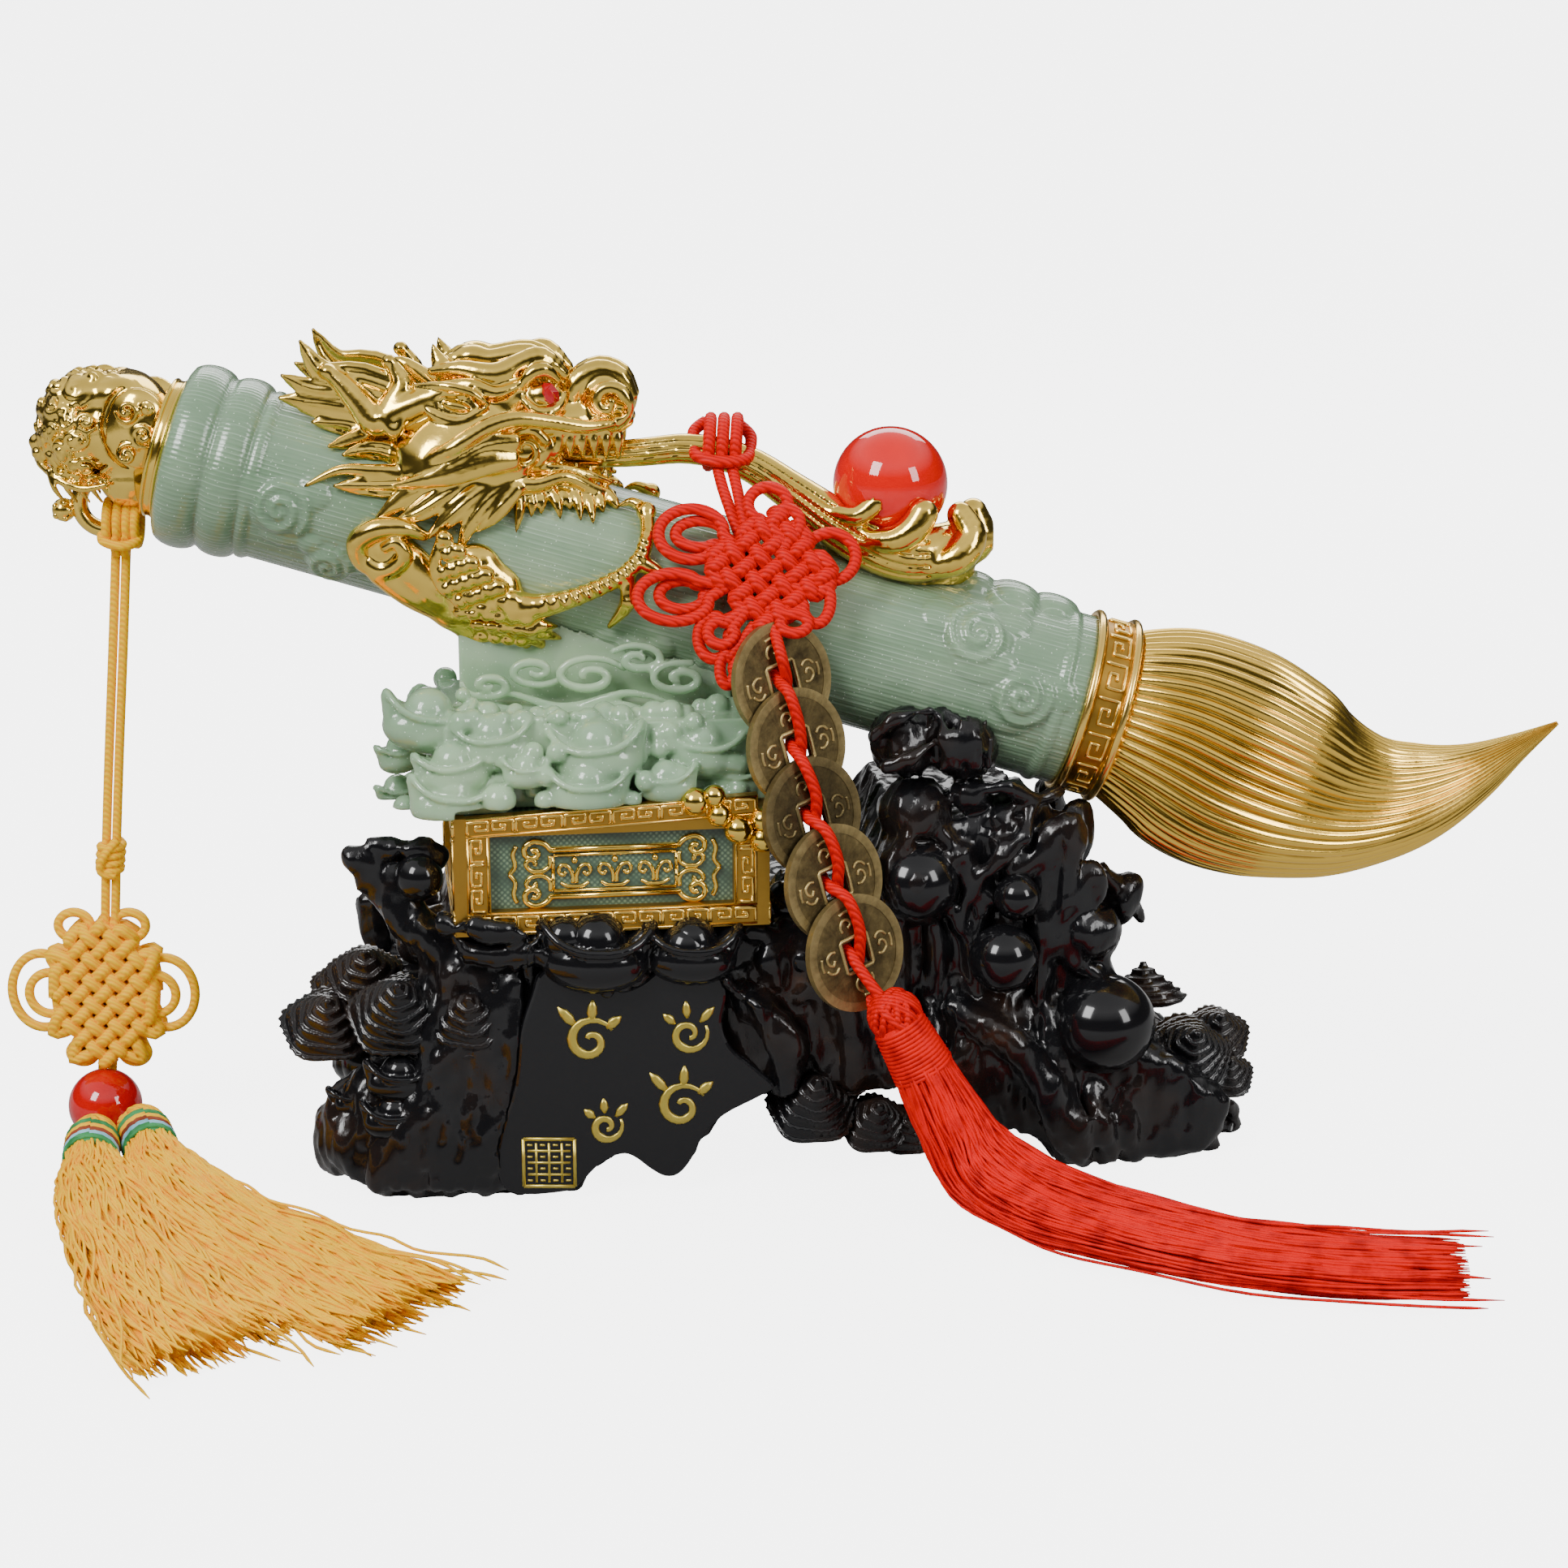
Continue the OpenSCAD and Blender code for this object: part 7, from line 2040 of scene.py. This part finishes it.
def make_sceptre():
    """A fluted stem that swells into a curled leaf, which holds the ball from below."""
    block = Block((-66, -19, 123), (38, 15, 163), 0.36)
    # x and z as read, depth, and radius
    line = [(-60, 154, -1, 2.5), (-38, 154.8, -1.5, 2.9), (-25, 155.7, -2, 3.2), (-14, 153, -2.5, 3.6),
            (-4, 146.6, -4, 4.2), (5, 140.2, -6.5, 5.2), (14, 135.4, -8, 5.9), (22, 133.6, -7.5, 5.8),
            (29, 135.2, -5, 5.0)]
    centre = [seen(x, z, -18, y) for x, z, y, _ in line]
    radii = [r for *_, r in line]
    block.strand(centre, radii, 1.0, 5)
    # the leaf's back half, so that the ball sits in a cradle
    behind = [seen(x, z, -18, 4.0 - 0.1 * x) for x, z in ((-4, 146.6), (5, 141), (14, 137), (22, 135.5), (29, 137))]
    block.strand(behind, [3.2, 4.2, 4.6, 4.4, 4.0], 2.0, 4)
    block.strand([seen(20, 129.5, -18, -2), seen(29, 131, -18, -1)], [6, 4.5], 2.0, 3)
    for side in (1, -1):
        def put(x, z, y):
            return seen(x, z, -18, -2 + side * (y + 2))
        block.strand([put(4, 142.5, -9), put(9, 141.8, -12), put(13, 144.6, -11.6)], [1.8, 2.0, 2.6], 0.6, 4)
        block.strand([put(10, 137, -11), put(16.5, 136.8, -13.2), put(20.5, 139, -13.4), put(22.5, 142.2, -12.6)],
                     [2.2, 2.9, 3.3, 3.2], 0.7, 4)
        block.strand([put(24, 131.5, -9.5), put(29.5, 133, -10.5), put(32.4, 137.5, -8.5), put(30.2, 142, -7)],
                     [3.0, 3.6, 3.4, 2.8], 0.7, 4)
    block.strand([seen(29, 133.5, -18, -2), seen(34, 137, -18, -2), seen(32.8, 142.6, -18, -2)], [4, 3.8, 3.0], 0.8, 4)
    # flutes along the near face, and the same behind
    rows = spline([[*p, r] for p, r in zip(centre, radii)], 5)
    head = np.gradient(rows[:, :3], axis=0)
    head /= np.linalg.norm(head, axis=1)[:, None]
    up = np.cross(head, (0, -1, 0))
    for offset in (-0.62, -0.18, 0.26, 0.66):
        for face in (-1, 1):
            out = math.sqrt(1 - offset ** 2)
            groove = rows[:, :3] + up * (offset * rows[:, 3:]) + np.array([0, face, 0]) * (out * rows[:, 3:])
            block.strand(groove[4:-4], 0.36 if abs(offset) < 0.5 else 0.42, 0.35, 1, cut=True)
    block.blob((16.3, -2, 145.8), 12.2, 0.0, cut=True)
    cut_handle(block, 0.05)
    block.piece("sceptre_carved", gold, "gold", ["sceptre"])


# ---------- the chest's gold work ----------
def key_band(parts, origin, way, across, length, width, unit=4.6, thick=0.4):
    """Angular scrolls between two fine lines, along a band given in the stand's frame."""
    origin, way, across = (np.asarray(v, float) for v in (origin, way, across))
    ref = tuple(to_world(across[None])[0])
    for edge in (0.06, 0.94):
        ends = [origin + across * width * edge, origin + way * length + across * width * edge]
        parts.tube(to_world(np.array(ends)), thick * 0.75, 6, ref=ref)
    count = max(int(length / unit), 1)
    step = length / count
    for i in range(count):
        for stroke in key_unit():
            points = []
            for a, b in stroke:
                a = 0.90 - a if i % 2 else a
                points.append(origin + way * (i + 0.05 + a * 0.98) * step + across * width * (0.20 + 0.60 * b))
            fine = np.vstack([np.linspace(p, q, 4)[:-1] for p, q in zip(points[:-1], points[1:])] + [points[-1:]])
            parts.tube(to_world(fine), thick, 6, ref=ref)


def make_chest_pattern():
    parts = Parts()
    b = FRAME_BAND
    x0, x1 = CHEST_LEFT, CHEST_LEFT + CHEST_W
    z0, z1 = CHEST_FLOOR, CHEST_FLOOR + CHEST_H
    front = CHEST_FRONT - FRAME_T
    back = CHEST_FRONT + CHEST_D + FRAME_T
    for y, rise in ((front - 0.05, LID_RISE), (back + 0.05, 0.0)):
        slope = np.array([1, 0, rise / CHEST_W])
        key_band(parts, (x0 + 0.2, y, z0 + 0.2), (1, 0, 0), (0, 0, 1), CHEST_W - 0.4, b - 0.4)
        key_band(parts, (x0 + 0.2, y, z1 - 4.2), slope, (0, 0, 1), CHEST_W - 0.4, 4.2)
        key_band(parts, (x0 + b - 0.2, y, z0 + b), (0, 0, 1), (-1, 0, 0), CHEST_H - 2 * b + 1, b - 0.4)
        key_band(parts, (x1 - b + 0.2, y, z0 + b), (0, 0, 1), (1, 0, 0), CHEST_H - 2 * b + rise, b - 0.4)
    for x in (x0 - FRAME_T - 0.05, x1 + FRAME_T + 0.05):
        key_band(parts, (x, front, z0 + 0.2), (0, 1, 0), (0, 0, 1), CHEST_D + 2 * FRAME_T, b - 0.4)
        key_band(parts, (x, front, z1 - b + 0.2), (0, 1, 0), (0, 0, 1), CHEST_D + 2 * FRAME_T, b - 0.4)
        key_band(parts, (x, front + b + 1.6, z0 + b), (0, 0, 1), (0, -1, 0), CHEST_H - 2 * b, b - 0.4)
        key_band(parts, (x, back - b - 1.6, z0 + b), (0, 0, 1), (0, 1, 0), CHEST_H - 2 * b, b - 0.4)
    parts.piece("chest_key_pattern", gold_key, "gold")


def make_cartouche():
    """A long frame with scrolled ends round three plain palmettes."""
    parts = Parts()
    cx, cz = CHEST_LEFT + CHEST_W / 2 + 0.6, CHEST_FLOOR + 12.3
    front = CHEST_FRONT - 0.35

    def stroke(points, thick, steps=4, lift=0.0):
        rows = spline(points, steps) if steps > 1 else np.array(points, float)
        path = [(cx + x, front - lift, cz + z) for x, z in rows]
        parts.tube(to_world(np.array(path)), thick, 8, ref=(0, 1, 0))

    for z in (-5.0, 5.0):
        stroke([(-13.5, z), (13.5, z)], 0.62, 1)
        stroke([(-12.6, z * 0.76), (12.6, z * 0.76)], 0.36, 1)
    for side in (-1, 1):
        for up in (-1, 1):
            stroke([(side * x, up * z) for x, z in ((13.2, 5.0), (14.4, 6.3), (16.6, 6.9), (18.4, 5.8), (18.4, 4.0),
                                                    (16.9, 3.2), (15.7, 4.1), (16.3, 5.1), (17.1, 4.8))], 0.6)
            stroke([(side * x, up * z) for x, z in ((13.3, 3.7), (13.4, 1.6), (15.0, 0.5), (17.2, 0.7), (18.3, 2.1),
                                                    (17.4, 3.1), (16.3, 2.5), (16.5, 1.8))], 0.5)
            stroke([(side * x, up * z) for x, z in ((20.2, 6.0), (20.9, 4.2), (20.5, 1.8), (21.7, 0))], 0.5)
            stroke([(side * 12.7, up * z) for z in (3.6, 0)], 0.4, 1)
    for middle in (-8.3, 0, 8.3):
        for side in (-1, 1):
            horn = ((0.35, -2.2), (0.45, -0.4), (1.3, 1.3), (2.7, 1.6), (3.3, 0.4), (2.5, -0.5), (1.8, 0.2))
            stroke([(middle + side * x, z) for x, z in horn], 0.42)
        stroke([(middle - 2.9, -2.1), (middle - 1.4, -2.9), (middle + 1.4, -2.9), (middle + 2.9, -2.1)], 0.38)
        parts.ball(to_world(np.array([[cx + middle, front - 0.1, cz + 2.6]]))[0], 0.7, 8, 12)
    parts.piece("cartouche_carved", gold, "gold", ["chest_plaque"])


make_finial()
make_sceptre()
make_chest_pattern()
make_cartouche()


# ---------- CAD pieces that keep their shape ----------
def repaint(node, material):
    for place in frame["nodes"][node].material_slots:
        place.material = material


for node_name, look in (
        ("chest_box", green_panel), ("chest_frame", gold_ground), ("chest_berries", gold), ("collar", gold_ground),
        ("orb", red_ball), ("yellow_bead", red_bead), ("eye_gem_near", red_stone), ("eye_gem_far", red_stone),
        ("coin_1", brass_old), ("coin_2", brass_old), ("coin_3", brass_brown), ("coin_4", brass_old),
        ("coin_5", brass_old)):
    repaint(node_name, look)
